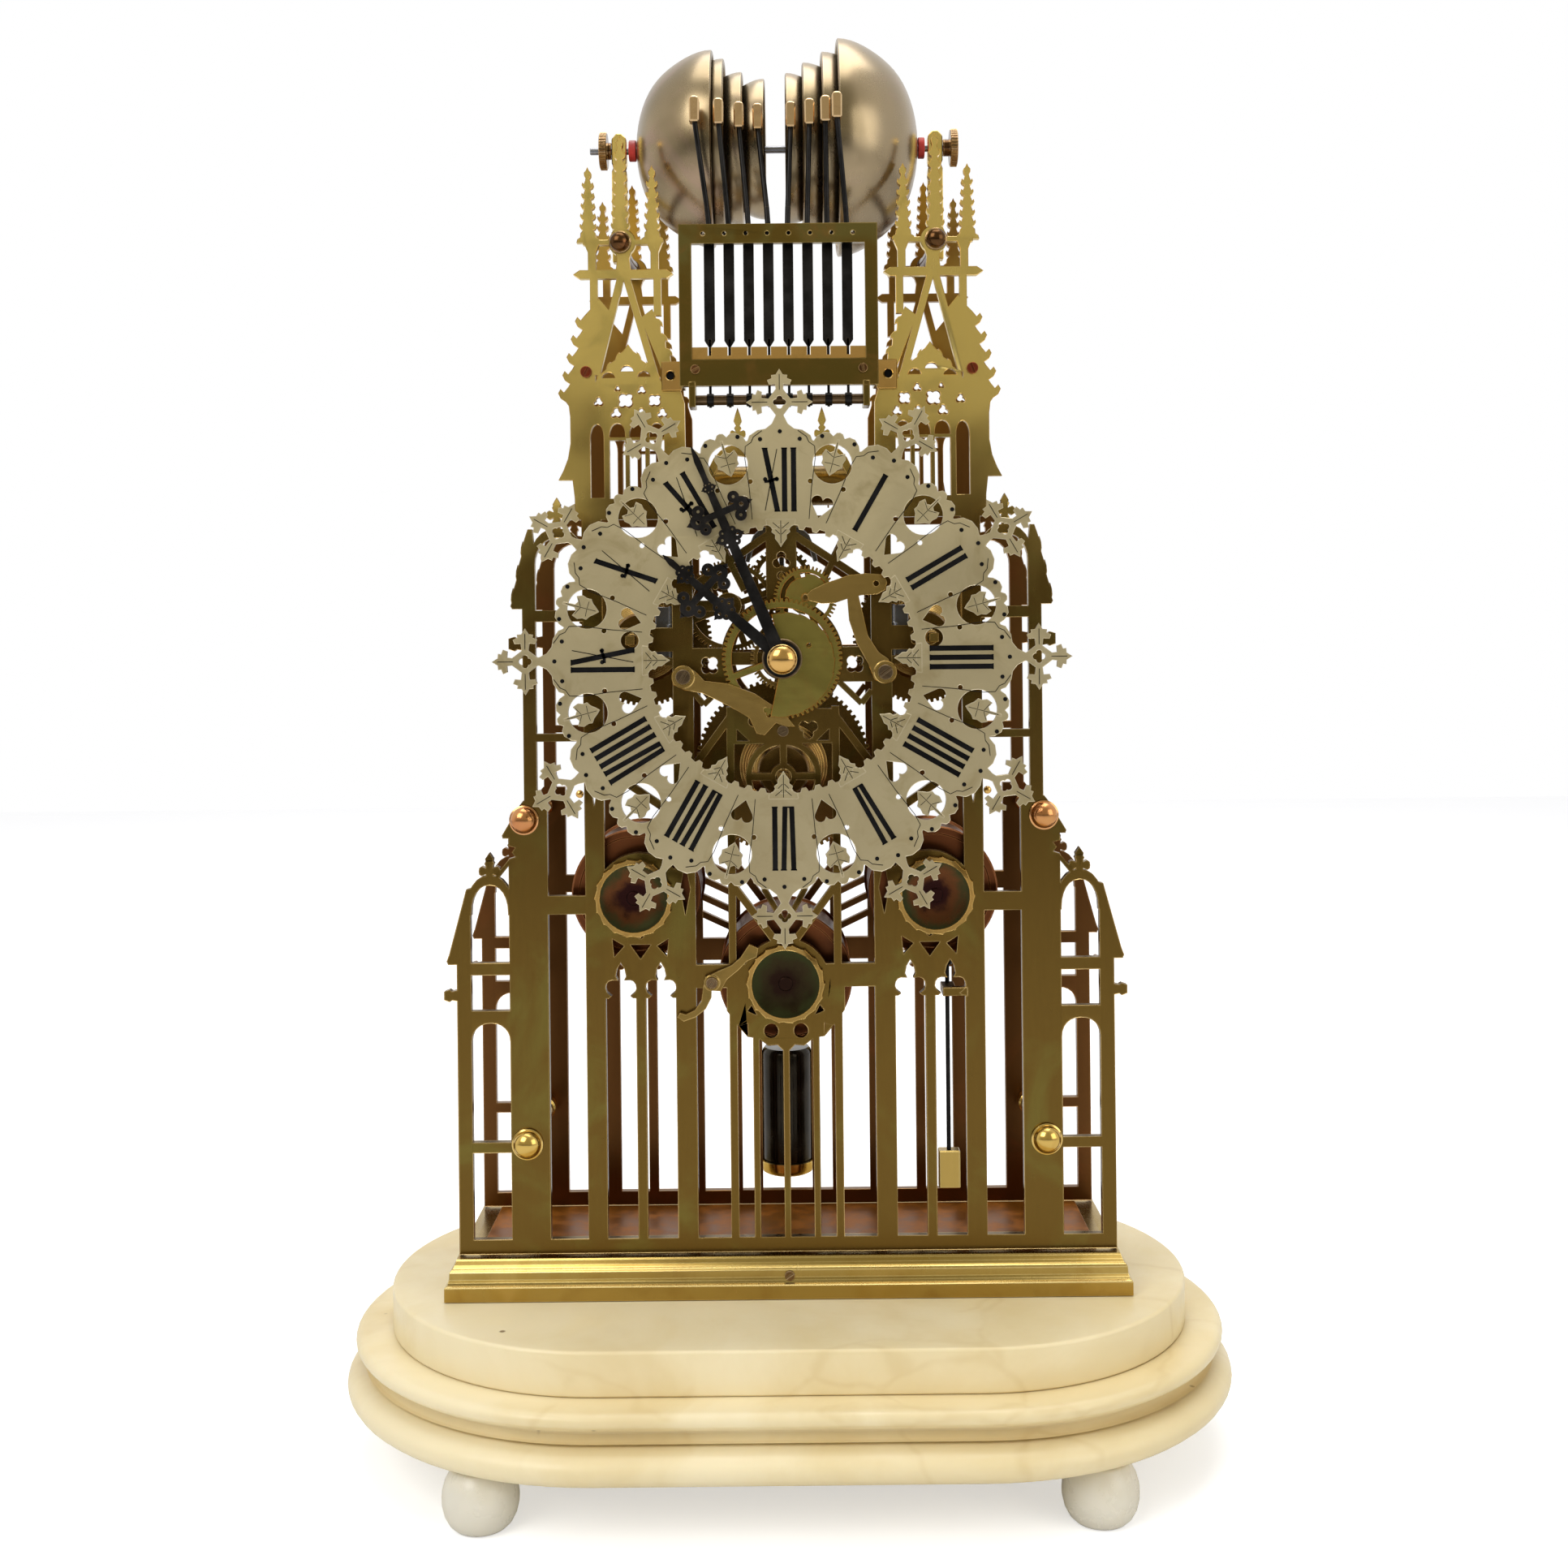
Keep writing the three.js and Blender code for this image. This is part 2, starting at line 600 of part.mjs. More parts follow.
function middleStage(isFront) {
  return bothSides([
    [[OUTER_BAR[0], MAIN_PIER_TOP - 1], [OUTER_BAR[1], MAIN_PIER_TOP - 1], [OUTER_BAR[1], 391.5], [122.8,
      391.5],
      [123.6, 393.6], [116, 426.2], [113.5, 426.2], [OUTER_BAR[0], 415]],
    bar(OUTER_BAR[1] - 1, 124.6, 371.8, 377.7),
    bar(INNER_PIER[1] - 1, OUTER_BAR[0] + 1, 384.7, 389.9),
    ...turretGable(INNER_PIER[1], OUTER_BAR[0] + 1, 406, 424, 441, 3, isFront),
  ]);
}

const GABLE_X = 68.9;

function tower(isFront) {
  const crockets = isFront ? 3 : 1;
  const outerSlope = crocketed([86, 526], [97.6, 487], crockets + 1, 3.2,
    [[95.9, 478], [96.6, 462], [101.1, 449.2], [94.6, 449.2], [93.7, STAGE_TOP], [84, STAGE_TOP], [84,
      500], [77, 524]]);
  const innerSlope = crocketed([56.2, 523], [44.5, 489], crockets, -2.2,
    [[43, 482], [43, STAGE_TOP], [52, STAGE_TOP], [54, 500], [63, 523]]);
  return bothSides([
    outerSlope,
    innerSlope,
    bar(50, 86, STAGE_TOP, 496),
    [[54, 494], [84, 494], [GABLE_X + 1.5, 507], [GABLE_X - 1.5, 507]],
    strip([TOWER_X, TOWER_BAR[1]], [82.4, TOWER_BAR[1] - 48], 3.4),
    strip([TOWER_X, TOWER_BAR[1]], [57.6, TOWER_BAR[1] - 48], 3.4),
    [[54, TOWER_BAR[0]], [88, TOWER_BAR[0]], [92.6, TOWER_BAR[1]], [49.5, TOWER_BAR[1]]],
    bar(82, 85.6, 520, TOWER_BAR[0] + 1),
    bar(54, 57.6, 518, TOWER_BAR[0] + 1),
    bar(83.4, 87, TOWER_BAR[1] - 1, EAVES_Z),
    bar(54.6, 58.2, TOWER_BAR[1] - 1, EAVES_Z),
    bar(67.4, 74, TOWER_BAR[1] - 1, EAVES_Z),
    bar(58, 84, EAVES_Z - 1, EAVES_Z + 1.2),
    circle(TOP_PILLAR[0], TOP_PILLAR[1], 6, 8),
    spire(86.4, SPIRE_TOP - 1, 2.6, crockets),
    spire(57.6, SPIRE_TOP, 2.8, crockets),
    spire(TOWER_X, SPIRE_TOP + 4, 3.2, crockets),
  ]);
}

function lightHead(x, half, bottom, top) {
  return [[x - half, bottom], [x + half, bottom], [x + half, top - 3], [x, top], [x - half, top - 3]];
}

// Piercings of the gables over the tower lights, and the tall panel beside them
function towerTracery() {
  return [
    [[GABLE_X, 471.5], [GABLE_X + 3.1, 476], [GABLE_X, 480.5], [GABLE_X - 3.1, 476]],
    [[GABLE_X - 2.6, 491], [GABLE_X + 2.6, 491], [GABLE_X, 500.5]],
    [[80.5, 442], [87, 442], [87, 472.5], [83.7, 475], [80.5, 472.5]],
  ];
}

// Small piercings of the lower centre, of the webs over the lancets and beside the fusee ring
function smallPiercings() {
  return [
    [[66, 231], [70.5, 236.6], [61.5, 236.6]],
    circle(8, 196.6, 2.6, 6),
    [[12, 206], [16, 203.5], [14.6, 199.4]],
    [[11, 335], [17.5, 340.5], [17.5, 331.5]],
    circle(7.4, 336.4, 2.4, 6),
  ];
}

// A hole whose flats clear the arbor by the running gap
function boreAt(x, z, radius) {
  const sides = 8;
  return circle(x, z, (radius + RUN_GAP) / Math.cos(Math.PI / sides), sides);
}

function plateHoles(isFront) {
  const lancetWidths = [[CENTRE_PIER[1], MULLION[0]], [MULLION[1], INNER_PIER[0]]];
  const holes = bothSides([
    ...lancetWidths.map(([x0, x1]) =>
      lancet((x0 + x1) / 2, (x1 - x0) / 2, LANCET_SPRINGING, LANCET_APEX, RAIL_TOP)),
    boreAt(SIDE_BARREL_X, SIDE_BARREL_Z, BARREL_ARBOR_RADIUS),
    boreAt(SIDE_FUSEE_X, SIDE_FUSEE_Z, BARREL_ARBOR_RADIUS),
    boreAt(...LOW_PILLAR, PILLAR_STUD_RADIUS),
    boreAt(...MIDDLE_PILLAR, PILLAR_STUD_RADIUS),
    boreAt(...TOP_PILLAR, PILLAR_STUD_RADIUS),
    // tower lights with the tracery over them
    lightHead(75.9, 2.8, 440.6, 466),
    lightHead(68.8, 2.6, 440.6, 466),
    lightHead(61.9, 2.6, 440.6, 466),
  ]);
  holes.push(
    boreAt(0, GOING_BARREL_Z, BARREL_ARBOR_RADIUS),
    boreAt(0, CENTRE_Z, CENTRE_ARBOR_RADIUS),
    boreAt(THIRD_X, THIRD_Z, TRAIN_ARBOR_RADIUS),
    boreAt(0, ESCAPE_Z, TRAIN_ARBOR_RADIUS),
    boreAt(0, PALLET_Z, TRAIN_ARBOR_RADIUS),
    boreAt(0, GOING_FUSEE_Z, BARREL_ARBOR_RADIUS),
    ...windows(0, CENTRE_Z, 10, 23.6, 4, 6),
    ...windows(0, GOING_FUSEE_Z, 6, 14.4, 4, 3.4),
  );
  if (isFront) holes.push(...bothSides([...towerTracery(), ...smallPiercings()]));
  return holes;
}

function plate(isFront) {
  const [w0, w1] = isFront ? [PLATE_BACK_W, PLATE_FRONT_W] : [-PLATE_FRONT_W, -PLATE_BACK_W];
  const outlines = [...lowerStage(isFront), ...lowerCentre(), ...movementFrame(), ...middleStage(isFront),
    ...tower(isFront)];
  if (!isFront) {
    outlines.push(...bothSides([0, 1, 2, 3].map((step) =>
      strip([THIN_BAR[1] - 1, 232 + step * 9], [CENTRE_PIER[0] + 1, 240 + step * 9], 3))));
  }
  const body = join(outlines.map((points) => flat(points, w0, w1)));
  return cut(body, plateHoles(isFront).map((points) => flat(points, w0 - 1, w1 + 1)));
}

// How far a fixed stud or cock is let into its plate
const SILL = 0.4;

function studs() {
  const root = PLATE_BACK_W + SILL;
  return [
    rod(MOTION_X, MOTION_Z, 1.2, root, HOUR_WHEEL_W + WHEEL_THICKNESS, 8),
    rod(...QUARTER_LEVER, LEVER_STUD_RADIUS, root, LEVER_W + LEVER_THICKNESS + 1.2, 8),
    rod(...RACK_LEVER, LEVER_STUD_RADIUS, root, LEVER_W + LEVER_THICKNESS + 1.2, 8),
    rod(...CLICK_PIVOT, LEVER_STUD_RADIUS, root, PLATE_FRONT_W + SEAT_GAP + RATCHET_THICKNESS + 0.8, 8),
  ];
}

// Cocks behind the front plate that carry the two upright flies
function flyCock(side, z0) {
  const x = side * FLY_X;
  const arm = block(x - 3, x + 3, z0, z0 + FLY_COCK_HEIGHT, FLY_W - 3, PLATE_BACK_W + SILL);
  return cut(arm, [uprightRod(x, FLY_W, FLY_ARBOR_RADIUS + RUN_GAP, z0 - 1, z0 + FLY_COCK_HEIGHT + 1, 8)]);
}

function drumBracket(side) {
  const x = side * (DRUM_HALF_LENGTH + 5);
  const arm = block(x - 1.8, x + 1.8, DRUM_Z - 5, DRUM_Z + 5, DRUM_W - 5, PLATE_BACK_W + SILL);
  return cut(arm, [crossRod(x - 3, x + 3, DRUM_Z, DRUM_W, DRUM_ARBOR_RADIUS + RUN_GAP, 8)]);
}

function buildPlates() {
  const cockPads = bothSides([bar(CENTRE_PIER[1] - 1, FLY_X + 3, FLY_Z[0] - 8, FLY_Z[0] - 1),
    bar(CENTRE_PIER[1] - 1, FLY_X + 3, FLY_Z[1] + 1, FLY_Z[1] + 8)]);
  const pullArm = block(PULL_ROD_X - 3, PULL_ROD_X + 3, ...PULL_GUIDE_Z, PULL_ROD_W - 3, PLATE_BACK_W + SILL);
  const pullBore = uprightRod(PULL_ROD_X, PULL_ROD_W, PULL_ROD_RADIUS + RUN_GAP,
    PULL_GUIDE_Z[0] - 1, PULL_GUIDE_Z[1] + 1, 8);
  const pullPad = bar(PULL_ROD_X - 3, INNER_PIER[0] + 1, PULL_GUIDE_Z[0], PULL_GUIDE_Z[1]);
  add('front_plate', join([
    plate(true),
    ...[...cockPads, pullPad].map((points) => flat(points, PLATE_BACK_W, PLATE_FRONT_W)),
    ...studs(),
    ...[-1, 1].flatMap((side) => [
      flyCock(side, FLY_Z[0] - SEAT_GAP - FLY_COCK_HEIGHT),
      flyCock(side, FLY_Z[1] + SEAT_GAP),
      drumBracket(side),
    ]),
    cut(pullArm, [pullBore]),
  ]), 'brass');

  // The back cock stands out behind the rear plate and carries the pendulum on a pin
  const cockBack = -PLATE_FRONT_W - 10;
  add('rear_plate', join([
    plate(false),
    block(-9, 9, PENDULUM_PIVOT_Z - 8, PENDULUM_PIVOT_Z + 8, cockBack, -PLATE_BACK_W - SILL),
    flat(bar(-9, 9, PALLET_Z + 5, PENDULUM_PIVOT_Z + 8), -PLATE_FRONT_W, -PLATE_BACK_W),
    rod(0, PENDULUM_PIVOT_Z, 1.5, PENDULUM_W - 4, cockBack + 1, 10),
    rod(0, PENDULUM_PIVOT_Z, 3, PENDULUM_W - 4.5, PENDULUM_W - 2.6, 10),
  ]), 'brass');
}

// Pillars between the plates, with a stud, a washer seat and a domed nut at each end

function pillar(x, z, radius, nutRadius) {
  const shoulder = PLATE_BACK_W - SEAT_GAP;
  const nut = PLATE_FRONT_W + SEAT_GAP;
  const half = [
    [radius * 0.85, 0],
    [radius * 0.85, shoulder - 8],
    [radius, shoulder - 6],
    [radius, shoulder],
    [PILLAR_STUD_RADIUS, shoulder],
    [PILLAR_STUD_RADIUS, nut],
    [nutRadius, nut],
    [nutRadius * 0.8, nut + nutRadius * 0.6],
    [0, nut + nutRadius * 0.95],
  ];
  const profile = [...half.slice(1).reverse().map(([r, w]) => [r, -w]), ...half.slice(1)];
  return turned(profile, x, z, 8);
}

function buildPillars() {
  for (const [side, sideName] of [[-1, 'left'], [1, 'right']]) {
    add(`pillar_low_${sideName}`, pillar(side * LOW_PILLAR[0], LOW_PILLAR[1], PILLAR_RADIUS, NUT_RADIUS),
      'brightBrass');
    add(`pillar_middle_${sideName}`,
      pillar(side * MIDDLE_PILLAR[0], MIDDLE_PILLAR[1], PILLAR_RADIUS, NUT_RADIUS), 'brightBrass');
    add(`pillar_top_${sideName}`, join([
      pillar(side * TOP_PILLAR[0], TOP_PILLAR[1], TOP_PILLAR_RADIUS, TOP_NUT_RADIUS),
      bellPost(side),
    ]), 'brightBrass');
  }
}

// A post rises from the middle of each top pillar and carries an end of the bell rod
function bellPost(side) {
  const x = side * BELL_POST_X;
  const half = BELL_POST_WIDTH / 2;
  const post = block(x - half, x + half, TOP_PILLAR[1] - 3, BELL_POST_TOP, -half, half);
  return cut(post, [crossRod(x - half - 1, x + half + 1, BELL_ROD_Z, 0, BELL_ROD_RADIUS + RUN_GAP, 10)]);
}

// Bells: nested hemispherical cups on one rod, mouths towards the middle

function bell(rimX, poleX, radius) {
  const depth = Math.abs(poleX - rimX);
  const steps = 4;
  const bore = BELL_ROD_RADIUS + RUN_GAP;
  const profile = [];
  for (let i = 0; i <= steps; i += 1) {
    const turn = i / steps * Math.PI / 2;
    profile.push([Math.max(radius * Math.cos(turn), bore), depth * Math.sin(turn)]);
  }
  for (let i = steps; i >= 0; i -= 1) {
    const turn = i / steps * Math.PI / 2;
    profile.push([Math.max((radius - BELL_WALL) * Math.cos(turn), bore),
      (depth - BELL_WALL) * Math.sin(turn)]);
  }
  profile.push(profile[0]);
  const geometry = new THREE.LatheGeometry(profile.map(([r, along]) => new THREE.Vector2(r, along)), 12);
  geometry.rotateZ(poleX < rimX ? Math.PI / 2 : -Math.PI / 2);
  return solidOf(geometry.translate(rimX, BELL_ROD_Z, 0));
}

function buildBells() {
  for (const [name, rimX, poleX, radius] of BELLS) add(name, bell(rimX, poleX, radius), 'bellMetal');
  const half = BELL_POST_WIDTH / 2;
  const knobInner = BELL_POST_X + half + SEAT_GAP;
  add('bell_rod', join([
    crossRod(BELL_ROD_ENDS[0], BELL_ROD_ENDS[1], BELL_ROD_Z, 0, BELL_ROD_RADIUS, 8),
    crossRod(-knobInner - 1.8 - KNOB_THICKNESS, -knobInner - 1.8, BELL_ROD_Z, 0, KNOB_RADIUS, 12),
    crossRod(knobInner + 3.2, knobInner + 3.2 + KNOB_THICKNESS, BELL_ROD_Z, 0, KNOB_RADIUS, 12),
    crossRod(-knobInner - 2.2, -knobInner, BELL_ROD_Z, 0, 4, 8),
    crossRod(knobInner, knobInner + 3.6, BELL_ROD_Z, 0, 4, 8),
  ]), 'steel');
}

// Hammer frame: a window frame with a comb, its arbor and two brackets to the towers

function buildHammers() {
  const rim = cut(flat(bar(-FRAME_HALF_WIDTH, FRAME_HALF_WIDTH, ...FRAME_Z), ...FRAME_W),
    [flat(bar(-FRAME_WINDOW_HALF, FRAME_WINDOW_HALF, ...FRAME_WINDOW_Z), FRAME_W[0] - 1, FRAME_W[1] + 1)]);
  const pieces = [rim, crossRod(-HAMMER_ARBOR_HALF - 2, HAMMER_ARBOR_HALF + 2, HAMMER_ARBOR_Z, HAMMER_ARBOR_W,
    HAMMER_ARBOR_RADIUS, 12)];
  pieces.push(block(-FRAME_WINDOW_HALF - 1, FRAME_WINDOW_HALF + 1, FRAME_WINDOW_Z[0] - 1, COMB_TOP,
    FRAME_W[0] + 0.8,
    FRAME_W[0] + 2));
  const plateFace = PLATE_FRONT_W + SEAT_GAP;
  for (const side of [-1, 1]) {
    const cheek = side * (HAMMER_ARBOR_HALF + 3);
    pieces.push(block(cheek - 1.5, cheek + 1.5, HAMMER_ARBOR_Z - 4, FRAME_Z[0] + 2, HAMMER_ARBOR_W - 4,
      FRAME_W[1]));
    const [x0, x1] = side > 0 ? [FRAME_HALF_WIDTH - 1, FRAME_HALF_WIDTH + 9] : [-FRAME_HALF_WIDTH - 9,
      1 - FRAME_HALF_WIDTH];
    const foot = block(x0, x1, FRAME_Z[0], FRAME_Z[0] + 10, plateFace, plateFace + 2);
    const middle = side * (FRAME_HALF_WIDTH + 4.5);
    pieces.push(cut(foot, [rod(middle, FRAME_Z[0] + 5, SCREW_RADIUS, plateFace - 1, plateFace + 3, 10)]));
    const inner = side * (FRAME_HALF_WIDTH - 1);
    pieces.push(block(inner - 1, inner + 1, FRAME_Z[0], FRAME_Z[0] + 10, plateFace, FRAME_W[0] + 1));
  }
  add('hammer_frame', join(pieces), 'brass');

  BELLS.forEach(([, , , bellRadius], i) => {
    add(`hammer_${i + 1}`, hammer((i - 3.5) * HAMMER_PITCH, HAMMER_HEAD_X[i], bellRadius), 'blackSteel');
  });
}

// A slanting square bar between two points given as [x, z, w]
function leanBar(from, to, thickness) {
  const start = new THREE.Vector3(...from);
  const end = new THREE.Vector3(...to);
  const geometry = new THREE.BoxGeometry(thickness, start.distanceTo(end), thickness);
  const turn = new THREE.Quaternion().setFromUnitVectors(new THREE.Vector3(0, 1, 0),
    end.clone().sub(start).normalize());
  geometry.applyQuaternion(turn);
  const middle = start.add(end).multiplyScalar(0.5);
  return solidOf(geometry.translate(middle.x, middle.y, middle.z));
}

function hammer(stemX, headX, bellRadius) {
  const w = HAMMER_ARBOR_W;
  const barHalf = 2.15;
  const barZ = [COMB_TOP + 3.5, FRAME_Z[1] + 3];
  const headW = bellRadius + HAMMER_STRIKE_GAP;
  const [headWidth, headHeight, headDepth] = HAMMER_HEAD;
  const hub = crossRod(stemX - 1.6, stemX + 1.6, HAMMER_ARBOR_Z, w, HAMMER_ARBOR_RADIUS + 1.5, 8);
  const stem = join([
    hub,
    block(stemX - 0.6, stemX + 0.6, HAMMER_ARBOR_Z - 8, barZ[0] + 1, w - 0.6, w + 0.6),
    block(stemX - barHalf, stemX + barHalf, barZ[0], barZ[1], w - 0.6, w + 0.6),
    leanBar([stemX, barZ[1] - 1, w], [headX, HAMMER_HEAD_Z - headHeight / 2 + 1, headW + headDepth / 2], 1.5),
    block(headX - headWidth / 2, headX + headWidth / 2, HAMMER_HEAD_Z - headHeight / 2,
      HAMMER_HEAD_Z + headHeight / 2,
      headW, headW + headDepth),
  ]);
  const boreRadius = (HAMMER_ARBOR_RADIUS + RUN_GAP) / Math.cos(Math.PI / 8);
  return cut(stem, [crossRod(stemX - 3, stemX + 3, HAMMER_ARBOR_Z, w, boreRadius, 8)]);
}

// Dial: a pierced chapter ring with a plaque and a finial flower at each hour

// Points given as [out, along], out from the centre at a clock angle in degrees and along to its right
function atHour(turnDegrees, points) {
  const turn = turnDegrees / 180 * Math.PI;
  const [outX, outZ] = [Math.sin(turn), Math.cos(turn)];
  return points.map(([out, along]) => [out * outX + along * outZ, CENTRE_Z + out * outZ - along * outX]);
}

function flower(out, arm) {
  const points = [];
  for (let petal = 0; petal < 4; petal += 1) {
    for (const [step, reach] of [[-0.4, arm * 0.82], [0, arm], [0.4, arm * 0.82], [0.785, arm * 0.4]]) {
      const turn = petal * Math.PI / 2 + step;
      points.push([out + reach * Math.cos(turn), reach * Math.sin(turn)]);
    }
  }
  return points;
}

function heart(out, size) {
  return [[out + size, -size * 0.5], [out + size * 0.7, 0], [out + size, size * 0.5], [out + size * 0.3,
    size],
    [out - size, 0], [out + size * 0.3, -size]];
}

function buildDial() {
  const back = DIAL_FRONT_W - DIAL_THICKNESS;
  const solids = [circle(0, CENTRE_Z, DIAL_OUTER_RADIUS, 24)];
  const inner = [];
  const holes = [];
  for (let hour = 0; hour < 12; hour += 1) {
    const turn = hour * 30;
    const isPointed = hour % 3 === 0;
    const shoulder = isPointed ? PLAQUE_RADIUS - 3 : PLAQUE_RADIUS - 1;
    solids.push(
      atHour(turn, [[60, -13], [60, 13], [96, 17], [shoulder, 10], [PLAQUE_RADIUS + 2, 3],
        [PLAQUE_RADIUS + 2, -3], [shoulder, -10], [96, -17]]),
      atHour(turn, flower(FINIAL_RADIUS, 12.5)),
      atHour(turn + 15, [[84, -11], [84, 11], [95, 10], [102, 5], [99, 0], [102, -5], [95, -10]]),
    );
    holes.push(
      atHour(turn + 15, heart(70.5, 5.2)),
      atHour(turn + 15, [[98, -3.4], [94.5, -2.4], [88, 0], [94.5, 2.4], [98, 3.4], [91, 8], [81.5, 0],
        [91, -8]]),
    );
    inner.push(atHour(turn, [[62, -7], [58, -3.6], [50.5, 0], [58, 3.6], [62, 7]]));
  }
  const teeth = 30;
  const opening = flat(toothed(0, CENTRE_Z, DIAL_INNER_RADIUS + 1.2, DIAL_INNER_RADIUS - 1, teeth), back - 1,
    DIAL_FRONT_W + 1);
  const squareHole = BARREL_ARBOR_RADIUS + 1;
  const ring = cut(join(solids.map((points) => flat(points, back, DIAL_FRONT_W))), [
    opening,
    ...holes.map((points) => flat(points, back - 1, DIAL_FRONT_W + 1)),
    ...[-1, 1].map((side) => rod(side * SIDE_FUSEE_X, SIDE_FUSEE_Z, squareHole, back - 1, DIAL_FRONT_W + 1,
      12)),
  ]);
  const footX = (INNER_PIER[0] + INNER_PIER[1]) / 2;
  const feet = [[-1, -1], [-1, 1], [1, -1], [1, 1]].map(([sideX, sideZ]) =>
    rod(sideX * footX, CENTRE_Z + sideZ * 44, 2.2, PLATE_FRONT_W + SEAT_GAP, back + 0.4, 8));
  add('chapter_ring', join([ring, ...inner.map((points) => flat(points, back, DIAL_FRONT_W)), ...feet]),
    'silvered');
}

// Hands, each with its pierced Gothic blade

function handBlade(turn, length, width, tail) {
  return [
    atHour(turn, [[-tail, -width * 0.5], [-tail, width * 0.5], [length * 0.42, width * 0.45],
      [length * 0.5, width * 1.7], [length * 0.58, width * 0.5], [length * 0.64, width * 1.5],
        [length * 0.72, width * 0.4],
      [length, 0], [length * 0.72, -width * 0.4], [length * 0.64, -width * 1.5], [length * 0.58,
        -width * 0.5],
      [length * 0.5, -width * 1.7], [length * 0.42, -width * 0.45]]),
  ];
}

function hand(turn, length, width, w, boreRadius, hubRadius) {
  const outlines = [...handBlade(turn, length, width, 0), circle(0, CENTRE_Z, hubRadius, 16)];
  const body = join(outlines.map((points) => flat(points, w, w + HAND_THICKNESS)));
  const pierced = [
    atHour(turn, [[length * 0.47, 0], [length * 0.5, width * 0.9], [length * 0.53, 0], [length * 0.5,
      -width * 0.9]]),
    atHour(turn, [[length * 0.62, 0], [length * 0.64, width * 0.7], [length * 0.67, 0], [length * 0.64,
      -width * 0.7]]),
  ];
  return cut(body, [
    ...pierced.map((points) => flat(points, w - 1, w + HAND_THICKNESS + 1)),
    rod(0, CENTRE_Z, boreRadius, w - 1, w + HAND_THICKNESS + 1, 12),
  ]);
}

const PIPE_RADIUS = 4.4;

function buildHands() {
  add('hour_hand', hand(HOUR_HAND_TURN, HOUR_HAND_LENGTH, 5.4, HOUR_HAND_W, PIPE_RADIUS + SEAT_GAP, 8),
    'blackSteel');
  add('minute_hand',
    hand(MINUTE_HAND_TURN, MINUTE_HAND_LENGTH, 4, MINUTE_HAND_W, CENTRE_ARBOR_RADIUS + SEAT_GAP, 7),
      'blackSteel');
  const seat = MINUTE_HAND_W + HAND_THICKNESS + SEAT_GAP;
  add('hand_cap', turned([[0, seat], [CAP_RADIUS, seat], [CAP_RADIUS, seat + CAP_HEIGHT * 0.25],
    [CAP_RADIUS * 0.8, seat + CAP_HEIGHT * 0.7], [CAP_RADIUS * 0.4, seat + CAP_HEIGHT * 0.95], [0,
      seat + CAP_HEIGHT]],
  0, CENTRE_Z, 12), 'brightBrass');
}

// Motion work: the cannon pinion turns the minute wheel, whose pinion turns the hour wheel

const MOTION_DISTANCE = Math.hypot(MOTION_X, MOTION_Z - CENTRE_Z);
const MOTION_WHEEL_RADIUS = (MOTION_DISTANCE - TIP_GAP) / 2;

function snailOutline(inner, outer, steps) {
  const points = [];
  for (let i = 0; i <= steps; i += 1) {
    const radius = inner + (outer - inner) * i / steps;
    points.push([radius, -13 + i / steps * 205]);
  }
  for (let i = 0; i <= 4; i += 1) points.push([PIPE_RADIUS + 3, 192 + i / 4 * 155]);
  return points.flatMap(([radius, turn]) => atHour(turn, [[radius, 0]]));
}

function buildMotionWork() {
  const pipe = rod(0, CENTRE_Z, PIPE_RADIUS, HOUR_WHEEL_W, HOUR_HAND_W + HAND_THICKNESS, 12);
  const hourWheel = cut(flat(toothed(0, CENTRE_Z, HOUR_WHEEL_RADIUS, HOUR_WHEEL_RADIUS - 1.8, 24),
    HOUR_WHEEL_W,
    HOUR_WHEEL_W + 1.5), windows(0, CENTRE_Z, 9, 23, 4, 4).map((points) =>
    flat(points, HOUR_WHEEL_W - 1, HOUR_WHEEL_W + 3)));
  const snail = flat(snailOutline(SNAIL_INNER, SNAIL_OUTER, 14), SNAIL_W, SNAIL_W + 1.5);
  add('hour_snail', cut(join([pipe, hourWheel, snail]),
    [rod(0, CENTRE_Z, CENTRE_ARBOR_RADIUS + RUN_GAP, HOUR_WHEEL_W - 1, HOUR_HAND_W + 3, 12)]), 'brass');

  const quarterSteps = [];
  for (let i = 0; i < 16; i += 1) {
    const radius = QUARTER_SNAIL_RADIUS - 1.6 * Math.floor(i / 4);
    quarterSteps.push([MOTION_X + radius * Math.cos(i / 16 * Math.PI * 2),
      MOTION_Z + radius * Math.sin(i / 16 * Math.PI * 2)]);
  }
  const minutePinion = MOTION_DISTANCE - HOUR_WHEEL_RADIUS - TIP_GAP;
  add('quarter_snail', cut(join([
    flat(toothed(MOTION_X, MOTION_Z, MOTION_WHEEL_RADIUS, MOTION_WHEEL_RADIUS - 1.6, MOTION_TEETH),
      MOTION_W, MOTION_W + 1.5),
    flat(quarterSteps, QUARTER_SNAIL_W, QUARTER_SNAIL_W + 1.4),
    rod(MOTION_X, MOTION_Z, minutePinion, MOTION_W + 1, HOUR_WHEEL_W + 1.5, 10),
  ]), [rod(MOTION_X, MOTION_Z, 1.2 + RUN_GAP, MOTION_W - 1, HOUR_WHEEL_W + 3, 8)]), 'brass');
}

// Levers that ride over the snails, and the click of the going ratchet

function lever(outlines, [pivotX, pivotZ], w0, w1, seatW) {
  const boss = rod(pivotX, pivotZ, 5.4, seatW, w1 + 0.8, 12);
  return cut(join([...outlines.map((points) => flat(points, w0, w1)), boss]),
    [rod(pivotX, pivotZ, LEVER_STUD_RADIUS + RUN_GAP, seatW - 1, w1 + 3, 10)]);
}

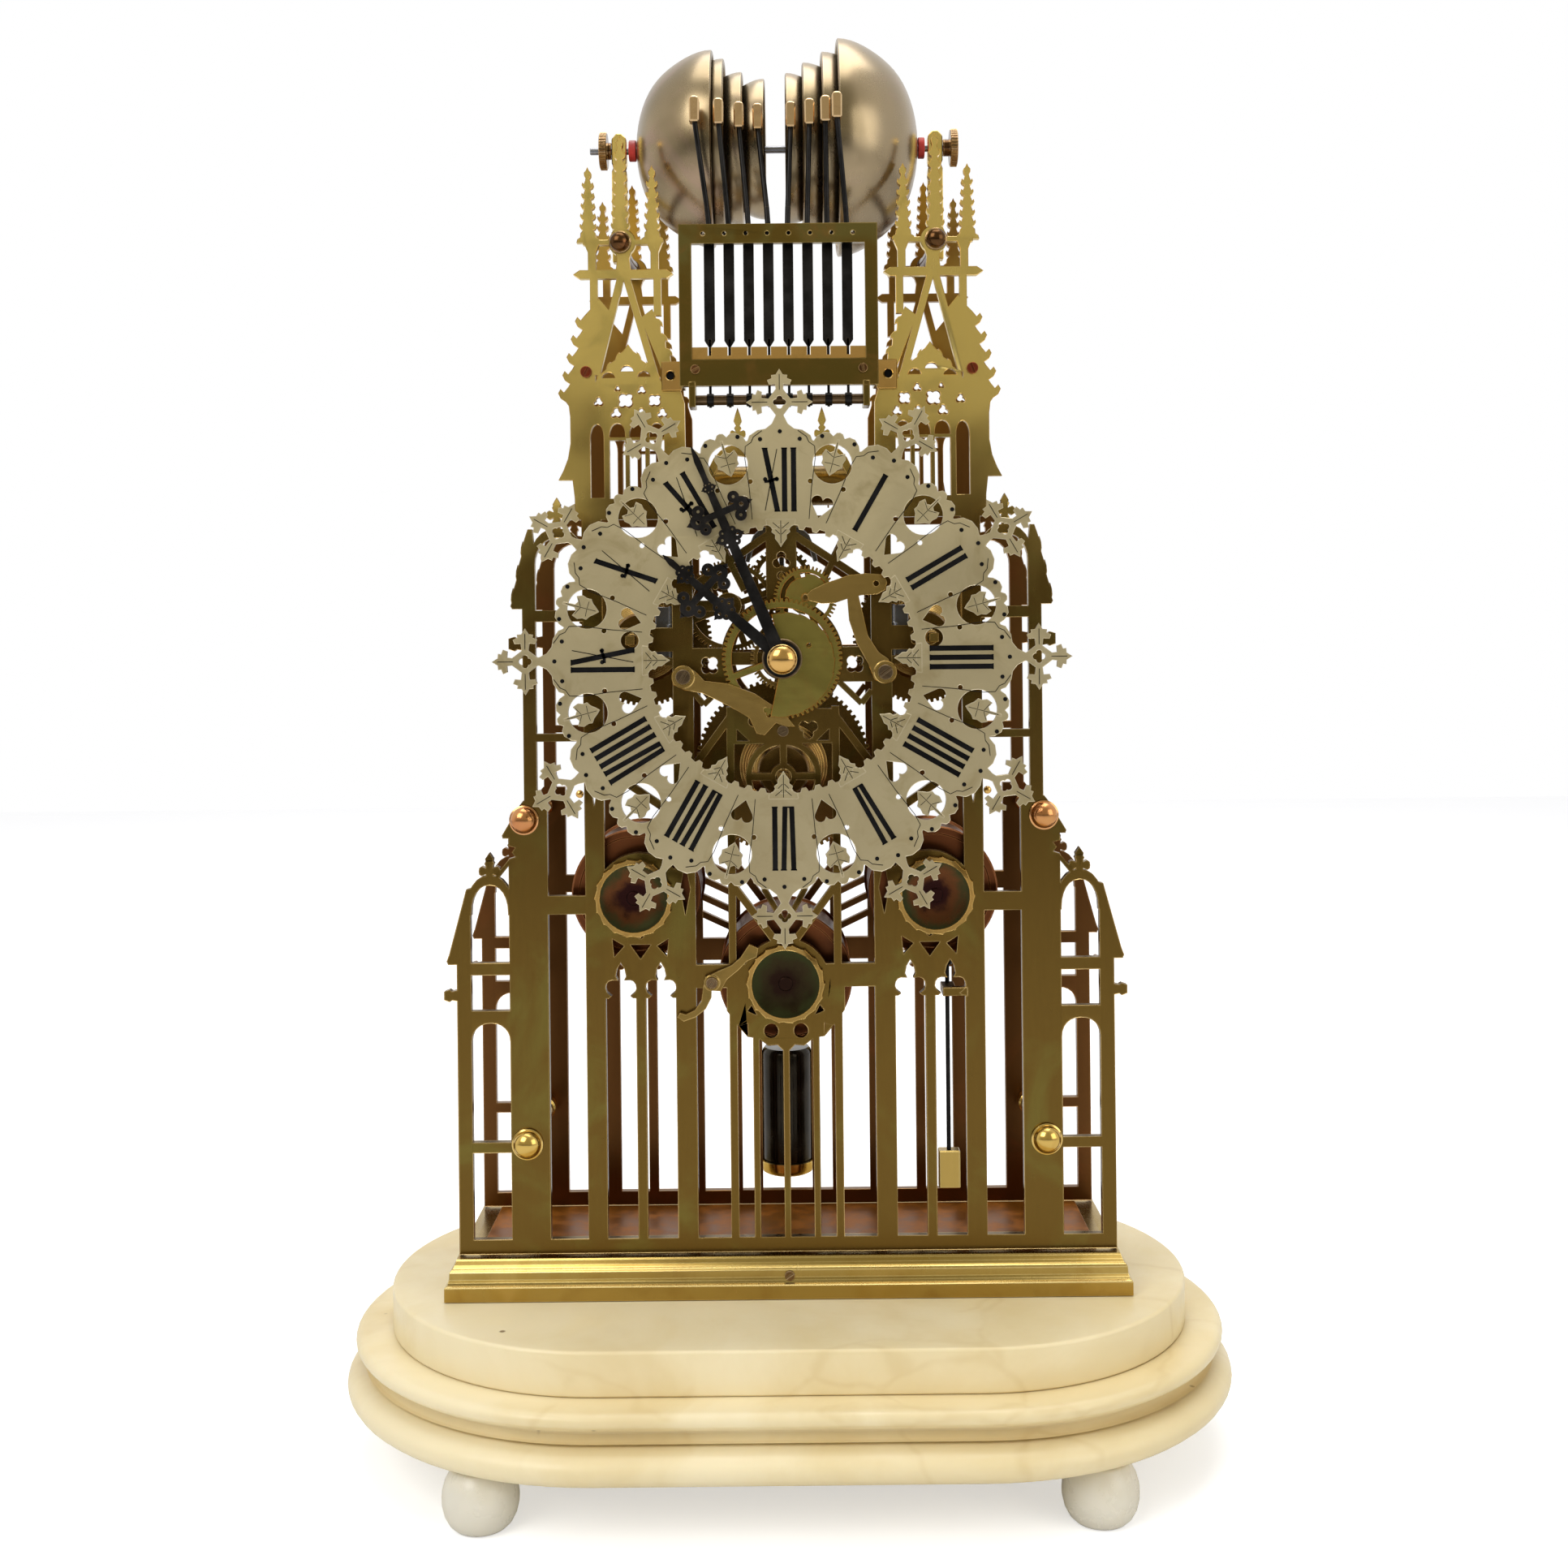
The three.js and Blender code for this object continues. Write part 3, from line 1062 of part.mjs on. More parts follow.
function buildLevers() {
  const top = LEVER_W + LEVER_THICKNESS;
  add('quarter_lever', lever([
    [[48.5, 362], [44, 364], [36, 376], [33.5, 394], [29, 394], [30, 382], [34, 370], [43, 357.5]],
    [[12.4, 393], [12, 396], [20, 400.6], [30, 404.4], [46, 404.6], [47, 398], [44, 395.4], [30, 393.6],
      [18, 391.6]],
  ], QUARTER_LEVER, LEVER_W, top, LEVER_W - 2), 'brass');
  add('rack_lever', lever([
    [[-47, 355], [-45, 363.5], [-36, 359], [-24, 356.5], [-10, 350], [4.4, 338], [-1, 337.4], [-8.4,
      332.4], [-14, 339],
      [-24, 346.5], [-36, 353]],
  ], RACK_LEVER, LEVER_W, top, LEVER_W - 2), 'brass');
  const clickW = PLATE_FRONT_W + SEAT_GAP;
  add('going_click', lever([
    [[-37, 217], [-36, 224], [-24, 228], [-15, 236.5], [-12.4, 234.5], [-14, 231], [-19.5, 229.5], [-28,
      222], [-30, 216]],
    [[-35, 219], [-36.4, 211], [-40, 206], [-48.4, 203], [-48.4, 205], [-41.5, 207.6], [-38.8, 211.5],
      [-38, 219]],
  ], CLICK_PIVOT, clickW, clickW + RATCHET_THICKNESS, clickW), 'brass');
}

// Barrels turn on arbors that the ratchets in front of the plate hold still

function ratchet(x, z) {
  const w0 = PLATE_FRONT_W + SEAT_GAP;
  const w1 = w0 + RATCHET_THICKNESS;
  const saw = [];
  for (let i = 0; i < RATCHET_TEETH; i += 1) {
    const turn = i / RATCHET_TEETH * Math.PI * 2;
    saw.push([x + RATCHET_RADIUS * Math.cos(turn), z + RATCHET_RADIUS * Math.sin(turn)]);
    const rootTurn = turn + 0.25 / RATCHET_TEETH * Math.PI * 2;
    saw.push([x + (RATCHET_RADIUS - 1.5) * Math.cos(rootTurn),
      z + (RATCHET_RADIUS - 1.5) * Math.sin(rootTurn)]);
  }
  const dish = turned([[0, w0 + 1.4], [7, w0 + 1.4], [RATCHET_RADIUS - 3.4, w1 + 0.1], [0, w1 + 0.1]], x,
    z, 14);
  const arbor = rod(x, z, BARREL_ARBOR_RADIUS, SEAT_GAP - PLATE_FRONT_W, w0 + 2.2, 8);
  return join([cut(flat(saw, w0, w1), [dish]), arbor]);
}

function barrel(x, z, radius) {
  const half = BARREL_HALF_LENGTH;
  const bore = BARREL_ARBOR_RADIUS + RUN_GAP;
  return turned([[bore, -half], [radius, -half], [radius, -half + 2], [radius - 1, -half + 2],
    [radius - 1, half], [bore, half], [bore, -half]], x, z, 16);
}

// A grooved cone with its great wheel and its arbor, squared at the front for the key
function fusee(x, z, wheelRadius, teeth, front, narrowW) {
  const wheelW = -28;
  const base = wheelW + WHEEL_THICKNESS;
  const profile = [[0, base], [FUSEE_WIDE_RADIUS, base]];
  const grooves = 2;
  for (let i = 0; i < grooves; i += 1) {
    const radius = FUSEE_WIDE_RADIUS + (FUSEE_NARROW_RADIUS - FUSEE_WIDE_RADIUS) * (i + 0.5) / grooves;
    const w = base + 2 + (narrowW - base - 2) * (i + 0.5) / grooves;
    profile.push([radius + 0.8, w - 2], [radius - 0.8, w + 1]);
  }
  profile.push([FUSEE_NARROW_RADIUS, narrowW], [0, narrowW]);
  const square = BARREL_ARBOR_RADIUS * 0.72;
  return join([
    wheel(x, z, wheelRadius, teeth, wheelW, 4),
    turned(profile, x, z, 12),
    rod(x, z, BARREL_ARBOR_RADIUS, SEAT_GAP - PLATE_FRONT_W, front - 12, 8),
    block(x - square, x + square, z - square, z + square, front - 13, front),
  ]);
}

const CENTRE_DISTANCE = CENTRE_Z - GOING_FUSEE_Z;
const GREAT_RATIO = GOING_TEETH / CENTRE_PINION_TEETH;
const GOING_GREAT_RADIUS = (CENTRE_DISTANCE - TIP_GAP) * GREAT_RATIO / (GREAT_RATIO + 1);
const THIRD_DISTANCE = Math.hypot(THIRD_X, THIRD_Z - CENTRE_Z);
const CENTRE_WHEEL_RADIUS = (THIRD_DISTANCE - TIP_GAP) * THIRD_RATIO / (THIRD_RATIO + 1);
const ESCAPE_DISTANCE = Math.hypot(THIRD_X, ESCAPE_Z - THIRD_Z);
const THIRD_WHEEL_RADIUS = (ESCAPE_DISTANCE - TIP_GAP) * ESCAPE_RATIO / (ESCAPE_RATIO + 1);
const GREAT_WHEEL_W = -28;
const CENTRE_WHEEL_W = 14;
const THIRD_WHEEL_W = 4;
const ESCAPE_WHEEL_W = -20;
const ESCAPE_WHEEL_RADIUS = 15;

function buildTrains() {
  const barrels = [['going', 0, GOING_BARREL_Z, GOING_BARREL_RADIUS], ['strike', -SIDE_BARREL_X,
    SIDE_BARREL_Z,
    SIDE_BARREL_RADIUS], ['chime', SIDE_BARREL_X, SIDE_BARREL_Z, SIDE_BARREL_RADIUS]];
  for (const [train, x, z, radius] of barrels) {
    add(`${train}_barrel`, barrel(x, z, radius), 'brass');
    add(`${train}_ratchet`, ratchet(x, z), 'brass');
  }
  const squareEnd = DIAL_FRONT_W - 1;
  add('going_fusee', fusee(0, GOING_FUSEE_Z, GOING_GREAT_RADIUS, GOING_TEETH, PLATE_FRONT_W + 6, 6), 'brass');
  add('strike_fusee', fusee(-SIDE_FUSEE_X, SIDE_FUSEE_Z, SIDE_GREAT_WHEEL_RADIUS, SIDE_TEETH, squareEnd,
    6), 'brass');
  add('chime_fusee', fusee(SIDE_FUSEE_X, SIDE_FUSEE_Z, SIDE_GREAT_WHEEL_RADIUS, SIDE_TEETH, squareEnd, 6),
    'brass');

  const pinionRadius = CENTRE_DISTANCE - TIP_GAP - GOING_GREAT_RADIUS;
  add('centre_wheel', join([
    rod(0, CENTRE_Z, CENTRE_ARBOR_RADIUS, SEAT_GAP - PLATE_FRONT_W, MINUTE_HAND_W + HAND_THICKNESS, 12),
    flat(toothed(0, CENTRE_Z, pinionRadius, pinionRadius - 2, CENTRE_PINION_TEETH), GREAT_WHEEL_W - 1,
      GREAT_WHEEL_W + 4),
    wheel(0, CENTRE_Z, CENTRE_WHEEL_RADIUS, 20, CENTRE_WHEEL_W, 4),
    flat(toothed(0, CENTRE_Z, MOTION_WHEEL_RADIUS, MOTION_WHEEL_RADIUS - 1.6, MOTION_TEETH, 1), MOTION_W,
      MOTION_W + 1.5),
  ]), 'brass');
  const thirdPinion = THIRD_DISTANCE - TIP_GAP - CENTRE_WHEEL_RADIUS;
  add('third_wheel', join([
    rod(THIRD_X, THIRD_Z, TRAIN_ARBOR_RADIUS, SEAT_GAP - PLATE_FRONT_W, PLATE_FRONT_W, 10),
    flat(toothed(THIRD_X, THIRD_Z, thirdPinion, thirdPinion - 1.4, 8), CENTRE_WHEEL_W - 1,
      CENTRE_WHEEL_W + 3.2),
    wheel(THIRD_X, THIRD_Z, THIRD_WHEEL_RADIUS, 20, THIRD_WHEEL_W, 4),
  ]), 'brass');
  const escapePinion = ESCAPE_DISTANCE - TIP_GAP - THIRD_WHEEL_RADIUS;
  add('escape_wheel', join([
    rod(0, ESCAPE_Z, TRAIN_ARBOR_RADIUS, SEAT_GAP - PLATE_FRONT_W, PLATE_FRONT_W, 10),
    flat(toothed(0, ESCAPE_Z, escapePinion, escapePinion - 1.4, 8), THIRD_WHEEL_W - 1, THIRD_WHEEL_W + 3.2),
    wheel(0, ESCAPE_Z, ESCAPE_WHEEL_RADIUS, 24, ESCAPE_WHEEL_W, 4),
  ]), 'brass');
}

// Pallets with their crutch, and the pendulum that it drives

function buildPendulum() {
  const anchorW = [ESCAPE_WHEEL_W - 0.5, ESCAPE_WHEEL_W + WHEEL_THICKNESS + 0.5];
  const anchor = [[-3, PALLET_Z + 3], [3, PALLET_Z + 3], [14, PALLET_Z - 5], [17.6, PALLET_Z - 17], [15.6,
    PALLET_Z - 17.4],
    [11, PALLET_Z - 7.5], [3, PALLET_Z - 3.4], [-3, PALLET_Z - 3.4], [-11, PALLET_Z - 7.5], [-15.6,
      PALLET_Z - 17.4],
    [-17.6, PALLET_Z - 17], [-14, PALLET_Z - 5]];
  const crutchW = [-PLATE_FRONT_W - 5, -PLATE_FRONT_W - 3.4];
  const prongX = PENDULUM_ROD_RADIUS + 0.4;
  const prongs = [-1, 1].map((side) => block(side * (prongX + 0.6) - 0.6, side * (prongX + 0.6) + 0.6,
    CRUTCH_PIN_Z - 1.5,
    CRUTCH_PIN_Z + 1.5, PENDULUM_W - 3, crutchW[1]));
  add('pallets', join([
    rod(0, PALLET_Z, TRAIN_ARBOR_RADIUS, crutchW[0], PLATE_FRONT_W, 10),
    flat(anchor, ...anchorW),
    flat(circle(0, PALLET_Z, 3.4, 10), ...crutchW),
    flat(bar(-1.4, 1.4, CRUTCH_PIN_Z, PALLET_Z), ...crutchW),
    flat(bar(-prongX - 1.2, prongX + 1.2, CRUTCH_PIN_Z - 1.5, CRUTCH_PIN_Z + 1.5), ...crutchW),
    ...prongs,
  ]), 'steel');

  const eye = flat(circle(0, PENDULUM_PIVOT_Z, 4, 12), PENDULUM_W - 1.8, PENDULUM_W + 1.8);
  const eyeHole = rod(0, PENDULUM_PIVOT_Z, 1.5 + RUN_GAP, PENDULUM_W - 3, PENDULUM_W + 3, 10);
  const [bobBottom, bobTop] = BOB_Z;
  const rodBottom = bobTop + 7;
  const jarGeometry = new THREE.LatheGeometry([[0, bobBottom], [BOB_RADIUS * 0.86, bobBottom], [BOB_RADIUS,
    bobBottom + 3],
    [BOB_RADIUS, bobTop - 2], [BOB_RADIUS * 0.9, bobTop], [0, bobTop]].map(([r, z]) => new THREE.Vector2(r,
      z)), 14);
  const jar = solidOf(jarGeometry.translate(0, 0, PENDULUM_W));
  const stirrupHalf = BOB_RADIUS + 0.4;
  const stirrup = [-1, 1].map((side) => block(side * stirrupHalf - 0.8, side * stirrupHalf + 0.8,
    bobBottom - 3, rodBottom + 2,
    PENDULUM_W - 2.2, PENDULUM_W + 2.2));
  add('pendulum', join([
    cut(join([eye, uprightRod(0, PENDULUM_W, PENDULUM_ROD_RADIUS, rodBottom, PENDULUM_PIVOT_Z - 2.6, 8)]),
      [eyeHole]),
    jar,
    ...stirrup,
    block(-stirrupHalf - 0.8, stirrupHalf + 0.8, rodBottom, rodBottom + 2, PENDULUM_W - 2.2,
      PENDULUM_W + 2.2),
    block(-stirrupHalf - 0.8, stirrupHalf + 0.8, bobBottom - 3, bobBottom + 0.5, PENDULUM_W - 2.2,
      PENDULUM_W + 2.2),
  ]), 'steel');
}

// Pull rod that hangs by its collar over a guide, the two upright flies and the chime drum

function buildAuxiliaries() {
  const collarZ = PULL_GUIDE_Z[1] + PULL_TRAVEL + 0.6;
  const half = PULL_BLOCK_WIDTH / 2;
  add('pull_rod', join([
    uprightRod(PULL_ROD_X, PULL_ROD_W, PULL_ROD_RADIUS, PULL_BLOCK_Z[1] - 1, collarZ + 2.4, 8),
    uprightRod(PULL_ROD_X, PULL_ROD_W, 2.4, collarZ, collarZ + 2.4, 10),
    block(PULL_ROD_X - half, PULL_ROD_X + half, ...PULL_BLOCK_Z, PULL_ROD_W - half * 0.7,
      PULL_ROD_W + half * 0.7),
  ]), 'brightBrass');
  for (const [side, name] of [[-1, 'strike_fly'], [1, 'chime_fly']]) {
    const x = side * FLY_X;
    add(name, join([
      uprightRod(x, FLY_W, FLY_ARBOR_RADIUS, FLY_Z[0] - FLY_COCK_HEIGHT, FLY_Z[1] + FLY_COCK_HEIGHT, 8),
      block(x - FLY_WIDTH / 2, x + FLY_WIDTH / 2, ...FLY_Z, FLY_W - 0.4, FLY_W + 0.4),
    ]), 'blackSteel');
  }
  const pins = [];
  for (let track = 0; track < 8; track += 1) {
    for (let k = 0; k < 2; k += 1) {
      const turn = (track * 0.8 + k * Math.PI) % (Math.PI * 2);
      const geometry = new THREE.BoxGeometry(0.9, 2, 0.9);
      geometry.translate(0, DRUM_RADIUS + 0.6, 0).rotateX(turn);
      pins.push(solidOf(geometry.translate((track - 3.5) * HAMMER_PITCH, DRUM_Z, DRUM_W)));
    }
  }
  const bearing = DRUM_HALF_LENGTH + 5 + 2.5;
  add('chime_drum', join([
    crossRod(-DRUM_HALF_LENGTH, DRUM_HALF_LENGTH, DRUM_Z, DRUM_W, DRUM_RADIUS, 14),
    crossRod(-bearing, bearing, DRUM_Z, DRUM_W, DRUM_ARBOR_RADIUS, 10),
    ...pins,
  ]), 'brass');
}

buildBase();
buildPlinth();
buildPlates();
buildPillars();
buildBells();
buildHammers();
buildDial();
buildHands();
buildMotionWork();
buildLevers();
buildTrains();
buildPendulum();
buildAuxiliaries();

export default clock;
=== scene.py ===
"""Quarter chiming skeleton clock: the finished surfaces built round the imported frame.

Lengths in the makers' tables are millimetres. x runs to the viewer's right, z up, and w towards the
viewer from the middle of the movement, so w is minus y. Every mesh is stored in metres.
"""

import json
import logging
import math
from collections.abc import Iterable
from dataclasses import dataclass, field
from enum import Enum

import bmesh
import bpy
from mathutils import Matrix, Vector

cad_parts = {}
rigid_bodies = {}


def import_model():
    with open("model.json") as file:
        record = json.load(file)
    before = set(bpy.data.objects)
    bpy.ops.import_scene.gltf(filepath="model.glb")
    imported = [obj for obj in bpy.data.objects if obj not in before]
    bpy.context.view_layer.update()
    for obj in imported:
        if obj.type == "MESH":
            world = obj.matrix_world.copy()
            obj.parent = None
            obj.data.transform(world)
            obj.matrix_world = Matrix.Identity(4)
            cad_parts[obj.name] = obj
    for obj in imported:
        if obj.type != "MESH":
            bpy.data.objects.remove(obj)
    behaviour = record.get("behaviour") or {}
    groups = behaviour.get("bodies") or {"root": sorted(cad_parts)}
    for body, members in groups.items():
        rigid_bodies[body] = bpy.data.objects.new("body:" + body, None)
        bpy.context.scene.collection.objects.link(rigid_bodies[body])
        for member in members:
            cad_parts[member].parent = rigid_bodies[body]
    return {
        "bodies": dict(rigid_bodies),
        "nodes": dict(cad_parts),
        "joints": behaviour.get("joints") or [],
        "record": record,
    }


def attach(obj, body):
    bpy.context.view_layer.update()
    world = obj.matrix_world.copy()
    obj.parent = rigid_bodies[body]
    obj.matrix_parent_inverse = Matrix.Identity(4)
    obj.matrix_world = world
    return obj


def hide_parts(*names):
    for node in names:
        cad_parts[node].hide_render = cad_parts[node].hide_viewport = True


Point = tuple[float, float]
Outline = list[Point]
Colour = tuple[float, float, float]
Piece = bpy.types.Object
Socket = bpy.types.NodeSocket
Mesh = bmesh.types.BMesh

MM = 0.001
MERGE = 0.004 * MM
SIDES = (-1, 1)
HOUR, HALF_HOUR = 30, 15

# Places that several assemblies share, in millimetres: x and z, z alone, or w alone.
CENTRE_Z = 367.1
BARREL_Z = 218.8
MINUTE_WORK = (10.8, 394.5)
THIRD = (-24.3, 391.2)
ESCAPE_Z = 404.7
PALLET_Z = 430
SIDE_BARREL = (68.7, 258.4)
SIDE_FUSEE = (67.5, 376)
QUARTER_LEVER = (46.2, 360.6)
RACK_LEVER = (-44.5, 359.3)
CLICK = (-33.5, 220)
STUD_FOOT = 33.4
PLATE_FACE = 37.3
HAMMER_PITCH = 8.9
FLY_X, FLY_W = 51.2, 24
DRUM_Z, DRUM_W = 447, 18
PULL_X, PULL_W = 74.7, 25
FRAME_BODY = "clock_frame"
log = logging.getLogger("clock")
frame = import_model()


class Axis(Enum):
    """The line that a turned piece is turned about."""

    ACROSS = "across"
    TOWARDS_VIEWER = "towards viewer"
    UPRIGHT = "upright"


# ---- outlines


def circle(x: float, z: float, radius: float, steps: int = 40) -> Outline:
    """Returns the points of a circle."""
    turns = (2 * math.pi * i / steps for i in range(steps))
    return [(x + radius * math.cos(t), z + radius * math.sin(t)) for t in turns]


def arc(x: float, z: float, radius: float, start: float, end: float, steps: int = 8) -> Outline:
    """Returns points along an arc, with its two angles in degrees."""
    turns = (math.radians(start + (end - start) * i / steps) for i in range(steps + 1))
    return [(x + radius * math.cos(t), z + radius * math.sin(t)) for t in turns]


def bar(x0: float, x1: float, z0: float, z1: float) -> Outline:
    """Returns the corners of an upright rectangle."""
    return [(x0, z0), (x1, z0), (x1, z1), (x0, z1)]


def strip(start: Point, end: Point, width: float, end_width: float | None = None) -> Outline:
    """Returns a straight strip from one point to another.

    Args:
        start: The middle of one end.
        end: The middle of the other end.
        width: The width at the start.
        end_width: The width at the end, where it differs.

    Returns:
        The four corners.
    """
    last = width if end_width is None else end_width
    length = math.hypot(end[0] - start[0], end[1] - start[1])
    side = (-(end[1] - start[1]) / length / 2, (end[0] - start[0]) / length / 2)
    return [
        (start[0] + side[0] * width, start[1] + side[1] * width),
        (start[0] - side[0] * width, start[1] - side[1] * width),
        (end[0] - side[0] * last, end[1] - side[1] * last),
        (end[0] + side[0] * last, end[1] + side[1] * last),
    ]


def mirrored(outline: Outline) -> Outline:
    """Returns the outline's mirror image across the clock's middle."""
    return [(-x, z) for x, z in outline]


def both_sides(place: Point) -> tuple[Point, Point]:
    """Returns a place left of the middle and the same on the right."""
    return (-place[0], place[1]), place


def flipped(outline: Outline) -> Outline:
    """Returns the outline's mirror image across its own length, in reverse order."""
    return [(out, -along) for out, along in reversed(outline)]


def both(outlines: Iterable[Outline]) -> list[Outline]:
    """Returns each outline with its mirror image."""
    return [shape for outline in outlines for shape in (outline, mirrored(outline))]


def moved(outline: Outline, x: float, z: float, turn: float = 0) -> Outline:
    """Returns the outline turned by an angle in degrees about its own zero and then moved."""
    c, s = math.cos(math.radians(turn)), math.sin(math.radians(turn))
    return [(x + px * c - pz * s, z + px * s + pz * c) for px, pz in outline]


def pointed_arch(x: float, half: float, bottom: float, springing: float, apex: float) -> Outline:
    """Returns a tall opening with a two-centred pointed head."""
    rise = apex - springing
    right = [(half * math.cos(t) ** 0.9 if t < 1.5 else 0, springing + rise * math.sin(t) ** 0.95)
             for t in (math.pi / 2 * i / 6 for i in range(6))]
    left = mirrored(right)[::-1]
    points = [(half, bottom), *right, (0, apex), *left, (-half, bottom)]
    return [(x + px, pz) for px, pz in points]


def arch_band(x: float, half: float, springing: float, apex: float, width: float) -> Outline:
    """Returns the band of metal around a pointed opening."""
    outer = pointed_arch(x, half + width, springing - 1, springing, apex + width * 1.7)
    inner = pointed_arch(x, half, springing - 1, springing, apex)
    return [*outer, *reversed(inner)]


def trefoil_arch(x: float, half: float, bottom: float, springing: float, apex: float) -> Outline:
    """Returns a tall opening under a cusped trefoil head.

    Args:
        x: The opening's middle.
        half: Half its width.
        bottom: The height of its sill.
        springing: Where the head begins.
        apex: The height of its point.

    Returns:
        The opening's outline.
    """
    lobe = half * 0.42
    right = [(half * 0.86, springing - 1.2), (half * 0.62, springing)]
    right += [(half * 0.6 + lobe * math.cos(t), springing + lobe * 1.35 + lobe * 1.2 * math.sin(t))
              for t in (math.radians(-70 + 32 * i) for i in range(6))]
    right += [(half * 0.2, springing + lobe * 2.5), (half * 0.34, springing + lobe * 3.2),
              (half * 0.24, apex - half * 0.42)]
    left = mirrored(right)[::-1]
    points = [(half, bottom), (half, springing - 2.4), *right, (0, apex), *left,
              (-half, springing - 2.4), (-half, bottom)]
    return [(x + px, pz) for px, pz in points]


def foil(x: float, z: float, radius: float, lobes: int, turn: float = 90) -> Outline:
    """Returns a foiled piercing of round lobes about a centre."""
    points: Outline = []
    for lobe in range(lobes):
        middle = turn + 360 / lobes * lobe
        cx = x + radius * 0.52 * math.cos(math.radians(middle))
        cz = z + radius * 0.52 * math.sin(math.radians(middle))
        spread = 180 / lobes + (52 if lobes < 4 else 46)
        points += arc(cx, cz, radius * 0.48, middle - spread, middle + spread, 7)
    return points


def heart(x: float, z: float, size: float, turn: float) -> Outline:
    """Returns a heart whose lobes point along the angle given."""
    lobes = arc(size * 0.28, size * 0.42, size * 0.46, -35, 128, 7)
    return moved([(-size, 0), *flipped(lobes), (size * 0.42, 0), *lobes], x, z, turn)


def toothed(x: float, z: float, tip: float, depth: float, teeth: int, turn: float = 0) -> Outline:
    """Returns a wheel's outline with flat-topped teeth."""
    points: Outline = []
    for tooth in range(teeth):
        for share, radius in ((-0.34, tip - depth), (-0.2, tip), (0.2, tip), (0.34, tip - depth)):
            t = math.radians(turn) + (tooth + share) / teeth * 2 * math.pi
            points.append((x + radius * math.cos(t), z + radius * math.sin(t)))
    return points


def spoke_windows(x: float, z: float, inner: float, outer: float, spokes: int, width: float,
                  turn: float = 0) -> list[Outline]:
    """Returns the openings between the spokes of a wheel.

    Args:
        x: The wheel's middle across the clock.
        z: The wheel's height.
        inner: The radius of the hub.
        outer: The radius inside the rim.
        spokes: How many spokes there are.
        width: The width of a spoke.
        turn: The angle of the first spoke in degrees.

    Returns:
        One outline for each opening.
    """
    holes = []
    for spoke in range(spokes):
        middle = turn + (spoke + 0.5) / spokes * 360
        out_half = 180 / spokes - math.degrees(width / 2 / outer)
        in_half = 180 / spokes - math.degrees(width / 2 / inner)
        holes.append(arc(x, z, outer, middle - out_half, middle + out_half, 12)
                     + arc(x, z, inner, middle + in_half, middle - in_half, 6))
    return holes


# ---- mesh work


def new_object(name: str, mesh: bpy.types.Mesh) -> Piece:
    """Returns a linked object that holds the mesh."""
    piece = bpy.data.objects.new(name, mesh)
    bpy.context.scene.collection.objects.link(piece)
    return piece


def finished(bm: Mesh, name: str) -> Piece:
    """Frees a bmesh and returns it as an object."""
    mesh = bpy.data.meshes.new(name)
    bm.to_mesh(mesh)
    bm.free()
    return new_object(name, mesh)


def raise_outline(bm: Mesh, outline: Outline, w0: float, w1: float) -> list[bmesh.types.BMVert]:
    """Adds a flat piece to a bmesh.

    Args:
        bm: The mesh being built.
        outline: The shape as seen from the front.
        w0: The back face.
        w1: The front face.

    Returns:
        The vertices of the new piece.
    """
    turn_sign = sum(a[0] * b[1] - b[0] * a[1] for a, b in zip(outline, outline[1:] + outline[:1]))
    ordered = outline if turn_sign > 0 else list(reversed(outline))
    face = bm.faces.new([bm.verts.new((x * MM, -w1 * MM, z * MM)) for x, z in ordered])
    made = bmesh.ops.extrude_face_region(bm, geom=[face], use_keep_orig=True)["geom"]
    moved_verts = [v for v in made if isinstance(v, bmesh.types.BMVert)]
    bmesh.ops.translate(bm, verts=moved_verts, vec=(0, (w1 - w0) * MM, 0))
    bmesh.ops.reverse_faces(bm, faces=[f for f in made if isinstance(f, bmesh.types.BMFace)])
    return [*face.verts, *moved_verts]


def flat_solid(name: str, outline: Outline, w0: float, w1: float) -> Piece:
    """Returns a closed flat object with the outline given."""
    bm = bmesh.new()
    raise_outline(bm, outline, w0, w1)
    bmesh.ops.recalc_face_normals(bm, faces=bm.faces[:])
    return finished(bm, name)


def soften_edges(bm: Mesh, width: float, least_angle: float = 40, segments: int = 1) -> None:
    """Bevels every edge of a bmesh that is sharper than the angle given in degrees."""
    if width <= 0:
        return
    sharp = [e for e in bm.edges if e.is_manifold and e.calc_face_angle(0) > math.radians(least_angle)]
    bmesh.ops.bevel(bm, geom=sharp, offset=width * MM, offset_type="OFFSET", segments=segments, profile=0.5,
                    affect="EDGES", clamp_overlap=False, material=-1)


def sawn(piece: Piece, tools: list[tuple[Piece, str]]) -> bpy.types.Mesh:
    """Joins or cuts a piece with each tool in turn, removes the tools and returns the result's mesh."""
    for tool, operation in tools:
        step = piece.modifiers.new("saw", "BOOLEAN")
        step.operation = operation
        step.solver = "MANIFOLD"
        step.object = tool
    graph = bpy.context.evaluated_depsgraph_get()
    graph.update()
    mesh = bpy.data.meshes.new_from_object(piece.evaluated_get(graph))
    piece.modifiers.clear()
    for tool, _ in tools:
        bpy.data.meshes.remove(tool.data)
    return mesh


